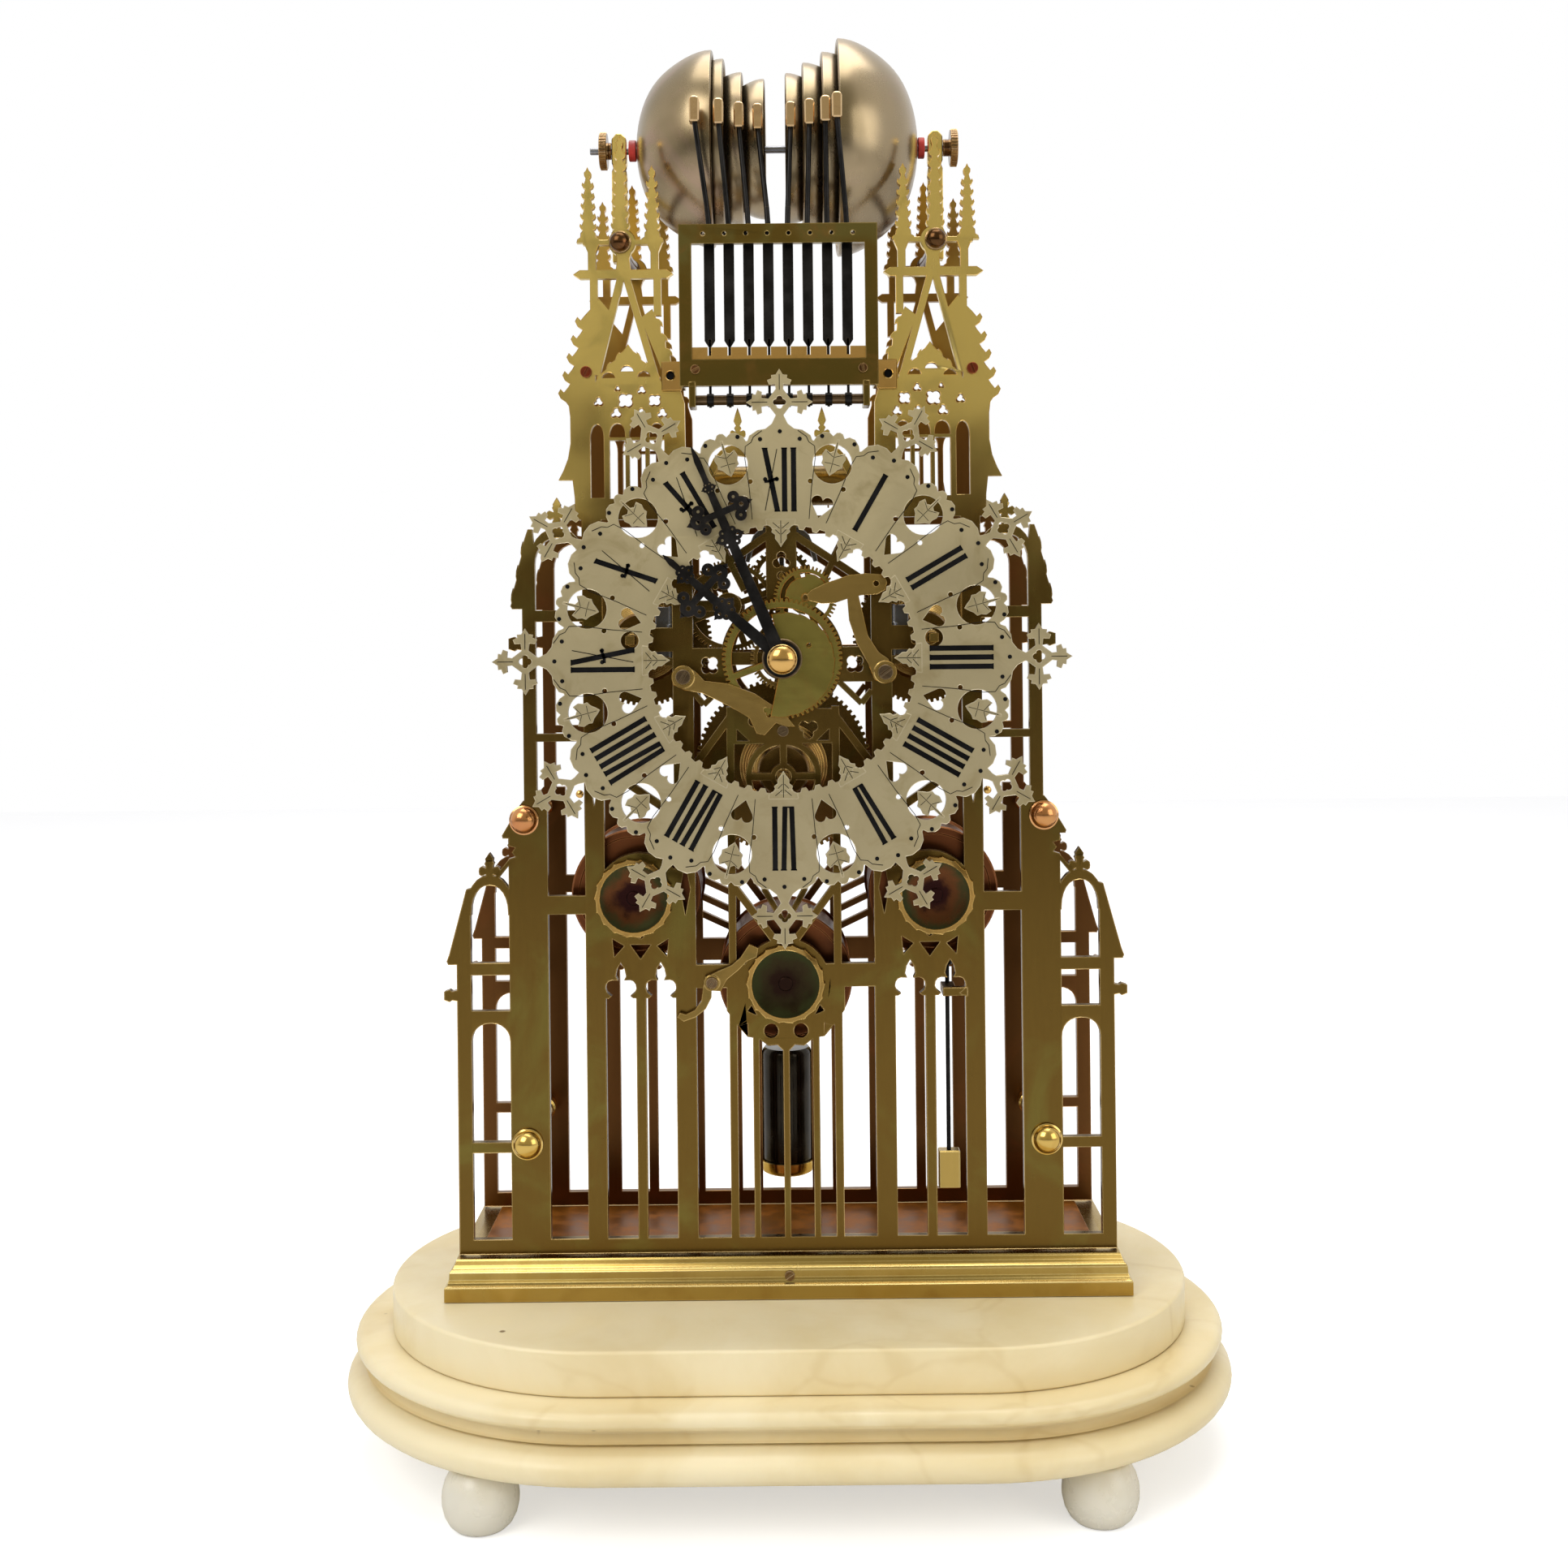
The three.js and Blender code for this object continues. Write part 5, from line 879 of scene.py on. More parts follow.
class Finish(Enum):
    """The finishes that the clock's pieces take."""

    # The low, middle and high tones of each metal are painted reflection by height; the plates' bright high tone is a
    # painted highlight on the towers.
    PLATE = Metal("plate brass", (108, 84, 38), (112, 88, 42), (236, 208, 122), (122, 118, 58),
                  (228, 196, 132), 0.26, 7, 0.4, drawn=(600, 600, 60), bottom=0.3, top=0.52)
    REAR_PLATE = Metal("rear plate brass", (100, 66, 34), (116, 80, 40), (196, 162, 84),
                       (122, 70, 38), (216, 170, 108), 0.3, 8, 0.6, drawn=(600, 600, 60), bottom=0.3)
    GUIDE = Metal("hammer frame brass", (112, 94, 44), (118, 96, 44), (124, 112, 62), (150, 110, 60),
                  (220, 190, 124), 0.24, 20, 0.5, drawn=(60, 600, 600), bottom=0.48, top=0.57)
    # The wheel brass is darkened as painted shade for the inside of the movement.
    WHEEL_IN_PAINTED_SHADE = Metal("wheel brass darkened as painted shade", (120, 82, 42), (128, 100, 50), (140, 112, 56), (112, 108, 56),
                  (226, 184, 112), 0.26, 16, 0.5, bottom=0.2, top=0.46)
    LEVER = Metal("lever brass", (150, 122, 66), (190, 156, 88), (190, 158, 90), (160, 130, 70),
                  (240, 208, 140), 0.22, 20, 0.4, bottom=0.2, top=0.42)
    SNAIL = Metal("snail brass", (160, 146, 74), (172, 158, 82), (166, 150, 78), (180, 140, 74),
                  (236, 150, 70), 0.24, 30, 0.4, bottom=0.3, top=0.42)
    BARREL = Metal("barrel brass", (98, 56, 32), (112, 66, 38), (104, 80, 42), (74, 46, 30),
                   (210, 140, 84), 0.3, 14, 0.6, bottom=0.2, top=0.42)
    PLINTH = Metal("plinth brass", (168, 142, 76), (166, 138, 70), (176, 148, 80), (146, 116, 56),
                   (236, 214, 150), 0.26, 12, 0.5, drawn=(900, 60, 60), dust=0.03, bottom=0.07, top=0.11)
    BRIGHT = Metal("bright brass", (214, 182, 100), (206, 170, 92), (214, 170, 100), (180, 142, 70),
                   (246, 224, 160), 0.18, 22, 0.4, drawn=(40, 500, 500), dust=0.1, bottom=0.05, top=0.35)
    COPPERY = Metal("coppery nut brass", (206, 160, 96), (196, 130, 84), (84, 58, 34),
                    (160, 100, 62), (244, 206, 150), 0.2, 30, 0.4, dust=0.05, bottom=0.2, top=0.5)
    COPPER = Metal("reddened screw brass", (128, 62, 40), (140, 70, 44), (134, 58, 40),
                   (96, 50, 34), (196, 130, 90), 0.3, 60, 0.5, dust=0.05)
    FLOOR = Blackening("lacquered red floor", (132, 78, 16), (196, 126, 48), 0.4, 0.4, 0.3, dust=0)
    BELL = Metal("bell bronze", (150, 134, 108), (158, 140, 110), (136, 120, 92), (166, 136, 122),
                 (206, 184, 148), 0.28, 10, 0.5, drawn=(220, 60, 60), dust=0.12, bottom=0.57, top=0.65)
    SILVER = Metal("silvered brass", (176, 161, 125), (188, 174, 138), (208, 193, 154), (160, 142, 100),
                   (226, 216, 190), 0.4, 18, 0.5, drawn=(500, 500, 500), dust=0.1, bottom=0.2, top=0.5)
    RIM = Metal("ratchet brass", (150, 120, 64), (176, 138, 74), (176, 138, 74), (120, 92, 48),
                (232, 198, 122), 0.22, 30, 0.4, bottom=0.2, top=0.4)
    HEAD = Metal("hammer head bronze", (196, 166, 124), (206, 174, 130), (206, 174, 130),
                 (176, 140, 104), (226, 204, 166), 0.24, 30, 0.4, dust=0.1, bottom=0.5, top=0.65)
    STEEL = Metal("grey steel", (96, 98, 104), (120, 122, 128), (140, 140, 144), (86, 78, 72),
                  (206, 206, 208), 0.26, 20, 0.35, drawn=(700, 700, 40))
    SCREW = Metal("dark screw steel", (118, 92, 62), (110, 92, 70), (104, 84, 60), (70, 56, 44),
                  (196, 170, 130), 0.3, 80, 0.5)
    BLACK = Blackening("black steel", (22, 20, 19), (120, 96, 66), 0.34, 0.75)
    WAX = Blackening("black numeral wax", (7, 6, 6), (40, 38, 34), 0.6, 0, 0.1, dust=0, shine=0.08)
    # The dishes' dark tones are painted reflection.
    DISH = ReflectionRingDish("ratchet dish brass", (46, 24, 22), (92, 56, 32), (58, 58, 34), 0.3)
    GREEN_DISH = ReflectionRingDish("green ratchet dish brass", (40, 26, 20), (50, 42, 26), (52, 54, 30), 0.32)
    CLICK = Metal("click brass", (112, 92, 46), (134, 108, 56), (136, 108, 58), (104, 92, 50),
                  (222, 190, 122), 0.24, 20, 0.4, bottom=0.16, top=0.34)
    JAR = Blackening("dark pendulum jar", (38, 33, 24), (120, 112, 96), 0.18, 0.8, 0.3)
    RED = Blackening("red fibre", (150, 34, 24), (196, 90, 70), 0.5, 0, 0.6)
    MARBLE = Marble("cream marble", (238, 223, 182), (228, 209, 160), (206, 180, 122), (96, 66, 36))
    FOOT = Marble("foot marble", (226, 220, 202), (216, 206, 180), (184, 168, 132), (96, 66, 36), 0.3)


class Workshop:
    """Dresses pieces, sets them riding and lets them stand for the frame's own solids."""

    def __init__(self) -> None:
        """Starts with no material made."""
        self.made: dict[Finish, bpy.types.Material] = {}
        self.count = 0

    def material(self, finish: Finish) -> bpy.types.Material:
        """Returns the finish's material, made once."""
        if finish not in self.made:
            self.made[finish] = finish.value.material()
        return self.made[finish]

    def screws(self, name: str, finish: Finish, rows: Iterable[tuple[float, ...]]) -> None:
        """Sets a group of slotted screws, each given as x, z, w, radius, height and the turn of its slot."""
        work = Workpiece(name)
        for row in rows:
            screw_head(work, *row)
        self.fit(work, finish)

    def fit(self, piece: Piece | Workpiece, finish: Finish, body: str = FRAME_BODY, nodes: Iterable[str] = (),
            smooth: float = 32) -> Piece:
        """Finishes a piece.

        Args:
            piece: The piece, or the workpiece that it is still on.
            finish: What its surface is.
            body: The moving body that it rides on.
            nodes: The frame's solids that it stands for.
            smooth: The angle in degrees above which an edge stays crisp.

        Returns:
            The piece.
        """
        if isinstance(piece, Workpiece):
            piece = piece.done()
        shade_by_angle(piece, smooth)
        piece.data.materials.clear()
        piece.data.materials.append(self.material(finish))
        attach(piece, body)
        if nodes:
            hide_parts(*nodes)
        self.count += 1
        log.info("%s: %d faces, %s", piece.name, len(piece.data.polygons), finish.value.name)
        return piece


# ---- studio


@dataclass
class Studio:
    """Camera, lamps, background and floor."""

    camera_y: float = -0.884
    camera_z: float = 0.384
    lens: float = 42.63
    roll: float = -0.6
    shift_x: float = -0.001
    shift_y: float = -0.104

    def build(self) -> None:
        """Sets the whole studio up."""
        self.set_camera()
        self.set_world()
        self.set_floor()
        self.lamp("key lamp", (-1.3, -1.7, 1.9), 1.5, 30)
        self.lamp("fill lamp", (1.7, -1.4, 1), 1.4, 12)
        self.lamp("top lamp", (0.1, 0.2, 2.3), 1.6, 28)
        bpy.context.scene.view_settings.view_transform = "Standard"

    def set_camera(self) -> None:
        """Places the camera at the photograph's viewpoint, level and slightly rolled."""
        data = bpy.data.cameras.new("camera")
        data.lens = self.lens
        data.sensor_width = 36.0
        data.shift_x, data.shift_y = self.shift_x, self.shift_y
        data.clip_start = 0.01
        camera = bpy.data.objects.new("camera", data)
        camera.matrix_world = (Matrix.Translation((0.0017, self.camera_y, self.camera_z))
                               @ Matrix.Rotation(math.pi / 2, 4, "X")
                               @ Matrix.Rotation(math.radians(self.roll), 4, "Z"))
        bpy.context.scene.collection.objects.link(camera)
        bpy.context.scene.camera = camera

    def set_world(self) -> None:
        """Gives a white background that metal also shows, over a softer general light."""
        world = bpy.data.worlds.new("studio")
        world.use_nodes = True
        bpy.context.scene.world = world
        bench = Bench(world.node_tree)
        path = bench.put("ShaderNodeLightPath").outputs
        direction = bench.put("ShaderNodeTexCoord").outputs["Generated"]
        axes = bench.put("ShaderNodeSeparateXYZ", {0: direction}).outputs
        backdrop = bench.span(axes[1], -0.75, -0.05)
        upper = bench.mix(bench.span(axes[2], -0.05, 0.12), (0.084, 0.078, 0.066), (0.46, 0.43, 0.33))
        lower = bench.mix(bench.span(axes[2], -0.24, -0.34), upper, (0.24, 0.21, 0.15))
        reflected = bench.mix(backdrop, lower, (1, 1, 1))
        seen = bench.sums("MAXIMUM", path["Is Glossy Ray"], path["Is Transmission Ray"])
        lit = bench.mix(seen, (0.42, 0.42, 0.43), reflected)
        colour = bench.mix(path["Is Camera Ray"], lit, (1, 1, 1))
        world.node_tree.links.new(colour, world.node_tree.nodes["Background"].inputs["Color"])

    def set_floor(self) -> None:
        """Lays a pale floor that keeps the clock's shadow."""
        bm = bmesh.new()
        bmesh.ops.create_grid(bm, x_segments=4, y_segments=4, size=3)
        floor = finished(bm, "floor")
        material, bench, shader = fresh_material("pale floor")
        where = bench.place()
        tone = bench.mix(bench.noise(where, 30, 4), (0.84, 0.84, 0.84), (0.88, 0.88, 0.88))
        camera_only = bench.put("ShaderNodeLightPath").outputs["Is Camera Ray"]
        bench.feed(shader, {"Base Color": tone, "Roughness": 0.9, "Emission Color": (1, 1, 1, 1),
                            "Emission Strength": bench.sums("MULTIPLY", camera_only, 0.5)})
        floor.data.materials.append(material)

    def lamp(self, name: str, place: tuple[float, float, float], size: float, power: float) -> None:
        """Hangs one soft square lamp that looks at the clock."""
        data = bpy.data.lights.new(name, "AREA")
        data.size = size
        data.energy = power
        lamp = bpy.data.objects.new(name, data)
        aim = Vector((0, 0, 0.33)) - Vector(place)
        lamp.matrix_world = Matrix.Translation(place) @ aim.to_track_quat("-Z", "Y").to_matrix().to_4x4()
        bpy.context.scene.collection.objects.link(lamp)


# ---- marble base and plinth


@dataclass
class MarbleBase:
    """The moulded oval slab, the plain step on it and four bun feet."""

    straight: float = 81.5
    step_bottom: float = 58.6
    step_height: float = 19.2
    step_radius: float = 104.6
    foot_x: float = 132.0
    foot_y: float = 93.0

    def slab_profile(self) -> Outline:
        """Returns radius and height round the slab: a roll, a cove and a thin upper roll."""
        low = [(112 + 13.5 * math.cos(t), 34.8 + 8.5 * math.sin(t))
               for t in (math.radians(-90 + 15 * i) for i in range(13))]
        cove = [(117.5 - 5.2 * math.sin(t), 44.6 + 5.4 * (1 - math.cos(t)) / 2)
                for t in (math.radians(20 * i) for i in range(10))]
        upper = [(117.6 + 3.8 * math.cos(t), 54.6 + 3.6 * math.sin(t))
                 for t in (math.radians(-80 + 17 * i) for i in range(11))]
        return [(100, 26.3), *low, *cove, *upper, (104, 58.3)]

    def oval(self, name: str, profile: Outline, steps: int = 40) -> Piece:
        """Sweeps a half section round the oval: two half turns joined by straight runs.

        Args:
            name: The piece's name.
            profile: Points of distance from the oval's spine and height, from the underside to the top.
            steps: Facets in each half turn.

        Returns:
            The closed piece.
        """
        bm = bmesh.new()
        verts = [bm.verts.new((self.straight * MM, -radius * MM, z * MM)) for radius, z in profile]
        swept = [*verts, *[bm.edges.new(pair) for pair in zip(verts, verts[1:])]]
        for side in (1, -1):
            spine = side * self.straight * MM
            last = bmesh.ops.spin(bm, geom=swept, cent=(spine, 0, 0), axis=(0, 0, 1), angle=math.pi, steps=steps,
                                  use_merge=False)["geom_last"]
            run = bmesh.ops.extrude_edge_only(bm, edges=[e for e in last if isinstance(e, bmesh.types.BMEdge)])["geom"]
            across = [v for v in run if isinstance(v, bmesh.types.BMVert)]
            bmesh.ops.translate(bm, verts=across, vec=(-2 * spine, 0, 0))
            swept = across + [e for e in run if isinstance(e, bmesh.types.BMEdge)]
        bmesh.ops.remove_doubles(bm, verts=bm.verts[:], dist=0.01 * MM)
        bmesh.ops.holes_fill(bm, edges=[e for e in bm.edges if e.is_boundary], sides=0)
        bmesh.ops.recalc_face_normals(bm, faces=bm.faces[:])
        return finished(bm, name)

    def build(self, shop: Workshop) -> None:
        """Builds the slab, the step and the feet."""
        slab = self.oval("marble_slab", self.slab_profile())
        shop.fit(slab, Finish.MARBLE, nodes=["marble_base"])
        top = self.step_bottom + self.step_height
        edge = [(self.step_radius - 1.6 + 1.6 * math.cos(t), top - 1.6 + 1.6 * math.sin(t))
                for t in (math.radians(15 * i) for i in range(7))]
        foot_edge = [(self.step_radius - 0.5, self.step_bottom), (self.step_radius, self.step_bottom + 0.6)]
        step = self.oval("marble_upper_step", [(96, self.step_bottom), *foot_edge, *edge, (96, top)])
        shop.fit(step, Finish.MARBLE, nodes=["marble_step"])
        bun = [(0, 0), (9.5, 0), (11.4, 0.7), (13.6, 2.8), (15.4, 6.2), (16.4, 10.4), (16.5, 13.2),
               (16.2, 16.6), (15.2, 20.2), (13.6, 23.2), (12.2, 25.2), (11.6, 26), (0, 26)]
        for name, side, w in (("front_left", -1, self.foot_y), ("front_right", 1, self.foot_y),
                              ("rear_left", -1, -self.foot_y), ("rear_right", 1, -self.foot_y)):
            work = Workpiece(f"bun_foot_{name}").turned(bun, (side * self.foot_x, w), 48, axis=Axis.UPRIGHT)
            shop.fit(work, Finish.FOOT, nodes=[f"foot_{name}"], smooth=60)


@dataclass
class Plinth:
    """The mitred brass moulding with its lacquered floor and its middle screw."""

    half_width: float = 155.5
    half_depth: float = 47.0
    bottom: float = 78.1
    height: float = 18.0

    def build(self, shop: Workshop) -> None:
        """Builds the moulding, the floor and the screw."""
        section = [(0, 0), (0, 6.3), (0.35, 6.7), (1.3, 7.2), (1.5, 8.2), (1.9, 9.4), (2.1, 12.6), (2.7, 13.5),
                   (3.5, 14.2), (4.1, 15.4), (4.7, 17.2), (5, 18)]
        bm = bmesh.new()
        corners = [(-1, -1), (1, -1), (1, 1), (-1, 1)]
        foot = [bm.verts.new((sx * self.half_width * MM, sy * self.half_depth * MM, self.bottom * MM))
                for sx, sy in corners]
        ring = bm.faces.new(foot)
        for (inset, height), (last_inset, last_height) in zip(section[1:], section):
            made = bmesh.ops.extrude_face_region(bm, geom=[ring])["geom"]
            ring = next(f for f in made if isinstance(f, bmesh.types.BMFace))
            for vert in ring.verts:
                sx, sy = math.copysign(1, vert.co.x), math.copysign(1, vert.co.y)
                step = inset - last_inset
                vert.co += Vector((-sx * step, -sy * step, height - last_height)) * MM
        bmesh.ops.inset_region(bm, faces=[ring], thickness=13.7 * MM, depth=0)
        bmesh.ops.translate(bm, verts=ring.verts[:], vec=(0, 0, -2.0 * MM))
        bm.faces.ensure_lookup_table()
        if not any(abs(f.normal.z + 1) < 0.01 for f in bm.faces):
            bmesh.ops.holes_fill(bm, edges=[e for e in bm.edges if e.is_boundary], sides=0)
        bmesh.ops.recalc_face_normals(bm, faces=bm.faces[:])
        soften_edges(bm, 0.25, 30, 2)
        shop.fit(finished(bm, "plinth_moulding"), Finish.PLINTH, nodes=["brass_plinth"])
        floor = Workpiece("plinth_floor")
        floor.block((-141.4, 141.4), (self.bottom + self.height - 1.2, self.bottom + self.height + 0.3),
                    (-32.6, 32.6), 0.3)
        shop.fit(floor, Finish.FLOOR)
        shop.screws("plinth_screw", Finish.SCREW, [(0.5, 88.2, self.half_depth - 2.1, 2.3, 1.1, 35)])


# ---- the two Gothic plates


def leafy_edge(start: Point, end: Point, count: int, size: float) -> Outline:
    """Returns an edge with carved leaves standing out on the right of its direction.

    Args:
        start: Where the edge begins.
        end: Where it ends.
        count: How many leaves it carries.
        size: How far a leaf stands out.

    Returns:
        The points of the edge.
    """
    length = math.hypot(end[0] - start[0], end[1] - start[1])
    along = ((end[0] - start[0]) / length, (end[1] - start[1]) / length)
    out = (along[1], -along[0])
    leaf = ((0.04, 0), (0.16, 0.62), (0.4, 1), (0.66, 0.86), (0.52, 0.42), (0.84, 0.12))
    points = []
    for index in range(count):
        for share, reach in leaf:
            step = (index + share) / count * length
            points.append((start[0] + along[0] * step + out[0] * reach * size,
                           start[1] + along[1] * step + out[1] * reach * size))
    return points


def spire(x: float, foot: float, top: float, half: float, leaves: int) -> Outline:
    """Returns a crocketed spire on a wider foot, with a bud at its tip.

    Args:
        x: The spire's middle.
        foot: The height of its foot.
        top: The height of its tip.
        half: Half its width above the foot.
        leaves: How many crockets each side has.

    Returns:
        The spire's outline.
    """
    edge = leafy_edge((half * 0.78, foot + 5.5), (half * 0.28, top - 5.5), leaves, 1.7)
    right = [(half + 2.4, foot), (half + 2, foot + 1.6), (half + 0.7, foot + 2.4), (half + 0.5, foot + 4.4), *edge,
             (half * 0.3, top - 5), (1.5, top - 4), (1.6, top - 2.6), (0.7, top - 1.6)]
    left = mirrored(right)[::-1]
    return [(x + px, pz) for px, pz in [*right, (0, top), *left]]


def fleuron(x: float, z: float, arm: float) -> list[Outline]:
    """Returns a small four-leaved finial flower: a lozenge crossed by rounded petals."""
    petal = [(0, -0.16), (0.45, -0.34), (0.72, -0.46), (0.95, -0.3), (1, 0), (0.95, 0.3), (0.72, 0.46),
             (0.45, 0.34), (0, 0.16)]
    return [moved([(px * arm, pz * arm) for px, pz in petal], x, z, turn) for turn in (0, 90, 180, 270)]


@dataclass
class GothicPlate:
    """One of the two pierced plates, drawn as a cathedral front."""

    name: str
    is_front: bool
    back_w: float = 33.0
    front_w: float = 37.0
    rail: Point = (96.4, 103.1)
    half_width: float = 150.0
    fine_bar: Point = (12.2, 15.2)
    thin_bar: Point = (22.2, 25.8)
    centre_pier: Point = (40.7, 50.1)
    mullion: Point = (63.7, 68.3)
    inner_pier: Point = (82, 91)
    main_pier: Point = (108, 125.9)
    buttress: Point = (143.4, 150)
    outer_bar: Point = (112.5, 118.5)
    springing: float = 213.5
    lancet_apex: float = 228.9
    stage_top: float = 431.0
    tower_x: float = 70.7
    gable_x: float = 68.9
    eaves: float = 557.5
    ratchet_x: float = 66.1
    ratchet_z: float = 258.4
    fusee_z: float = 313.0

    def lower_stage(self) -> list[Outline]:
        """Returns the rail, the piers, the lancets and the outer turrets up to the first roofs."""
        pier, wall, centre, inner = self.main_pier, self.buttress, self.centre_pier, self.inner_pier
        top = self.stage_top
        base = self.rail[1] - 1
        middle = (pier[1] + wall[0]) / 2
        gap = (pier[1] - 1, wall[0] + 1)
        pieces = [
            bar(*self.fine_bar, base, 206), bar(*self.thin_bar, base, 345),
            bar(*centre, base, top + 1), bar(*inner, base, top + 1),
            [(pier[0], base), (pier[1], base), (pier[1], 276.6), (122.8, 277.6), (124.4, 279.7), (122.8, 281.8),
             (pier[1], 282.6), (pier[1], 286), (128.4, 286), (128.8, 287.4), (120.6, 301), (118.9, 303.2),
             (pier[0], 303.2)],
            bar(*self.mullion, base, self.lancet_apex + 2),
            bar(centre[1] - 1, inner[0] + 1, self.springing - 1, 246),
            circle(self.ratchet_x, self.ratchet_z, 20.5, 48),
            bar(inner[1] - 1, pier[0] + 1, 251.1, 259.6),
            bar(16, centre[0] + 1, 216.9, 227.6),
            [(wall[0], base), (wall[1], base), (wall[1], 228.6), (153.9, 228.6), (154.6, 230.2), (153.4, 233.4),
             (145.4, 262.9), (wall[0], 263.4)],
            [(wall[1] - 1, 211.8), (152.2, 212.4), (153.4, 211.6), (155.9, 212.6), (155.9, 216.4), (153.4, 217.3),
             (152.2, 216.5), (wall[1] - 1, 217.2)],
            bar(*gap, 223.7, 229.3), bar(*gap, 202.6, 207.4), bar(*gap, 142.6, 147.4),
            bar(*gap, 193, 203), arch_band(middle, (wall[0] - pier[1]) / 2 - 0.4, 252, 264.8, 2.7),
            strip((middle - 1.6, 266), (pier[1] - 0.4, 275.4), 1.8), bar(middle - 1.7, middle + 1.7, 265, 276),
        ]
        pieces += fleuron(middle, 271.2, 4.9) + [moved([(-1.5, 0), (1.5, 0), (1.9, 2.2), (0, 5), (-1.9, 2.2)],
                                                      middle, 274.6)]
        return both(pieces)

    def lower_holes(self) -> list[Outline]:
        """Returns the lancet heads, the turret arches and the small piercings of the lower stage."""
        lights = ((self.centre_pier[1], self.mullion[0]), (self.mullion[1], self.inner_pier[0]))
        middle = (self.main_pier[1] + self.buttress[0]) / 2
        half = (self.buttress[0] - self.main_pier[1]) / 2
        holes = [trefoil_arch((a + b) / 2, (b - a) / 2, self.rail[1], self.springing, self.lancet_apex)
                 for a, b in lights]
        holes += [
            [(66, 230.6), (70.6, 236.9), (61.4, 236.9)],
            [(54, 231.5), (58.4, 236.4), (53.2, 239.6)], [(78, 231.5), (73.6, 236.4), (78.8, 239.6)],
            circle(66, 241.2, 1.4, 14),
            pointed_arch(middle, half, 190, 193.2, 201.8),
            circle(6.8, 197.1, 3.2, 24), [(17.4, 195.4), (21.4, 199.4), (17.6, 200.4)],
            [(13.4, 204.4), (17.4, 206.2), (15.6, 208.6)],
        ]
        return both(holes)

    def lower_centre(self) -> list[Outline]:
        """Returns the shield under the going ratchet and the arches that spring from it."""
        shield = [(-27, 226), (-27, 206.5), (-22, 199.6), (-17.6, 194.4), (-12.6, 193.6), (-8.2, 190.2),
                  (-4, 190.6), (0, 186.6)]
        whole = shield + mirrored(shield[:-1])[::-1]
        return [
            bar(-self.half_width, self.half_width, *self.rail), bar(-1.5, 1.5, self.rail[1] - 1, 192),
            circle(0, BARREL_Z, 20.5, 56), whole,
            *both([strip((0, 232), (self.thin_bar[0] + 1, 263), 3.4), strip((9.5, 262), (0.4, 246), 2.6),
                   strip((9.5, 262), (9.5, 286), 2.6)]),
        ]

    def movement_frame(self) -> list[Outline]:
        """Returns the ring, arms and tracery behind the dial."""
        thin, centre, inner = self.thin_bar, self.centre_pier, self.inner_pier
        ring_z = self.fusee_z
        pieces = [
            circle(0, CENTRE_Z, 28, 72), bar(-7, 7, CENTRE_Z, 437), circle(0, ring_z, 17.4, 56),
            bar(-thin[0] - 1, thin[0] + 1, 328, 344),
            bar(-centre[0] - 1, centre[0] + 1, self.stage_top - 4, self.stage_top + 1),
            strip(THIRD, (-centre[0] - 1, THIRD[1]), 5), circle(*THIRD, 6, 24),
            circle(*MINUTE_WORK, 5.5, 24),
        ]
        pieces += both([
            bar(thin[0], centre[0] + 1, 356, 372),
            bar(centre[0], inner[1], 370.5, 381.5),
            strip((5, 424), (centre[0], 400), 3.5), strip((17, 398), (30, 424), 3),
            *[strip((thin[0], z), (centre[0], 318), 3.5) for z in (343, 300)],
            *[strip((inner[0], 318), (centre[1], z), 3.5) for z in (340, 296)],
            strip((thin[1], 356), (36, 346), 2.6), strip((36, 346), (centre[0], 352), 2.6),
            *fleuron(33.4, 400.5, 4.6),
        ])
        return pieces

    def movement_holes(self) -> list[Outline]:
        """Returns the piercings behind the dial."""
        holes = spoke_windows(0, CENTRE_Z, 10, 23.6, 4, 6, 0)
        holes += spoke_windows(0, self.fusee_z, 6, 14.4, 4, 3.4, 0)
        holes += [foil(11.6, 334.6, 4.6, 3, 30), circle(-13.2, 338.4, 2.5, 20), foil(0, 411.5, 4.2, 3),
                  foil(0, 422, 2.6, 3, 30)]
        holes += both([[(15.5, 329.4), (21, 329.4), (21, 334.6)], foil(33.2, 364, 4.4, 4, 45),
                       foil(62, 376, 3.6, 4, 45), [(45.4, 250), (47.6, 262), (45.4, 274), (43.2, 262)],
                       [(86.5, 300), (88.4, 312), (86.5, 324), (84.6, 312)]])
        return holes

    def middle_stage(self) -> list[Outline]:
        """Returns the outer bars, their roofs and the turrets beside the dial."""
        bars, pier = self.outer_bar, self.inner_pier[1]
        middle = (pier + bars[0] + 1) / 2
        roof = leafy_edge((123.4, 393), (116.4, 425), 3, 0.9)
        pieces = [
            [(bars[0], 300), (bars[1], 300), (bars[1], 390.6), (123, 390.6), (123.8, 392), *roof,
             (115.6, 427), (113.6, 427), (bars[0], 416)],
            [(bars[1] - 1, 371.6), (121, 372.2), (122.2, 371.4), (124.8, 372.4), (124.8, 377.2), (122.2, 378),
             (121, 377.2), (bars[1] - 1, 377.9)],
            bar(pier - 1, bars[0] + 1, 384.7, 389.9),
            bar(pier - 1, bars[0] + 1, 330, 333.6),
            arch_band(middle, (bars[0] - pier) / 2 - 0.4, 410, 423, 2.6),
            bar(middle - 1.4, middle + 1.4, 424, 438), *fleuron(middle, 433.4, 4.6),
            [(middle - 1.4, 436), (middle + 1.4, 436), (middle + 1.8, 438.2), (middle, 441.4), (middle - 1.8, 438.2)],
        ]
        return both(pieces)

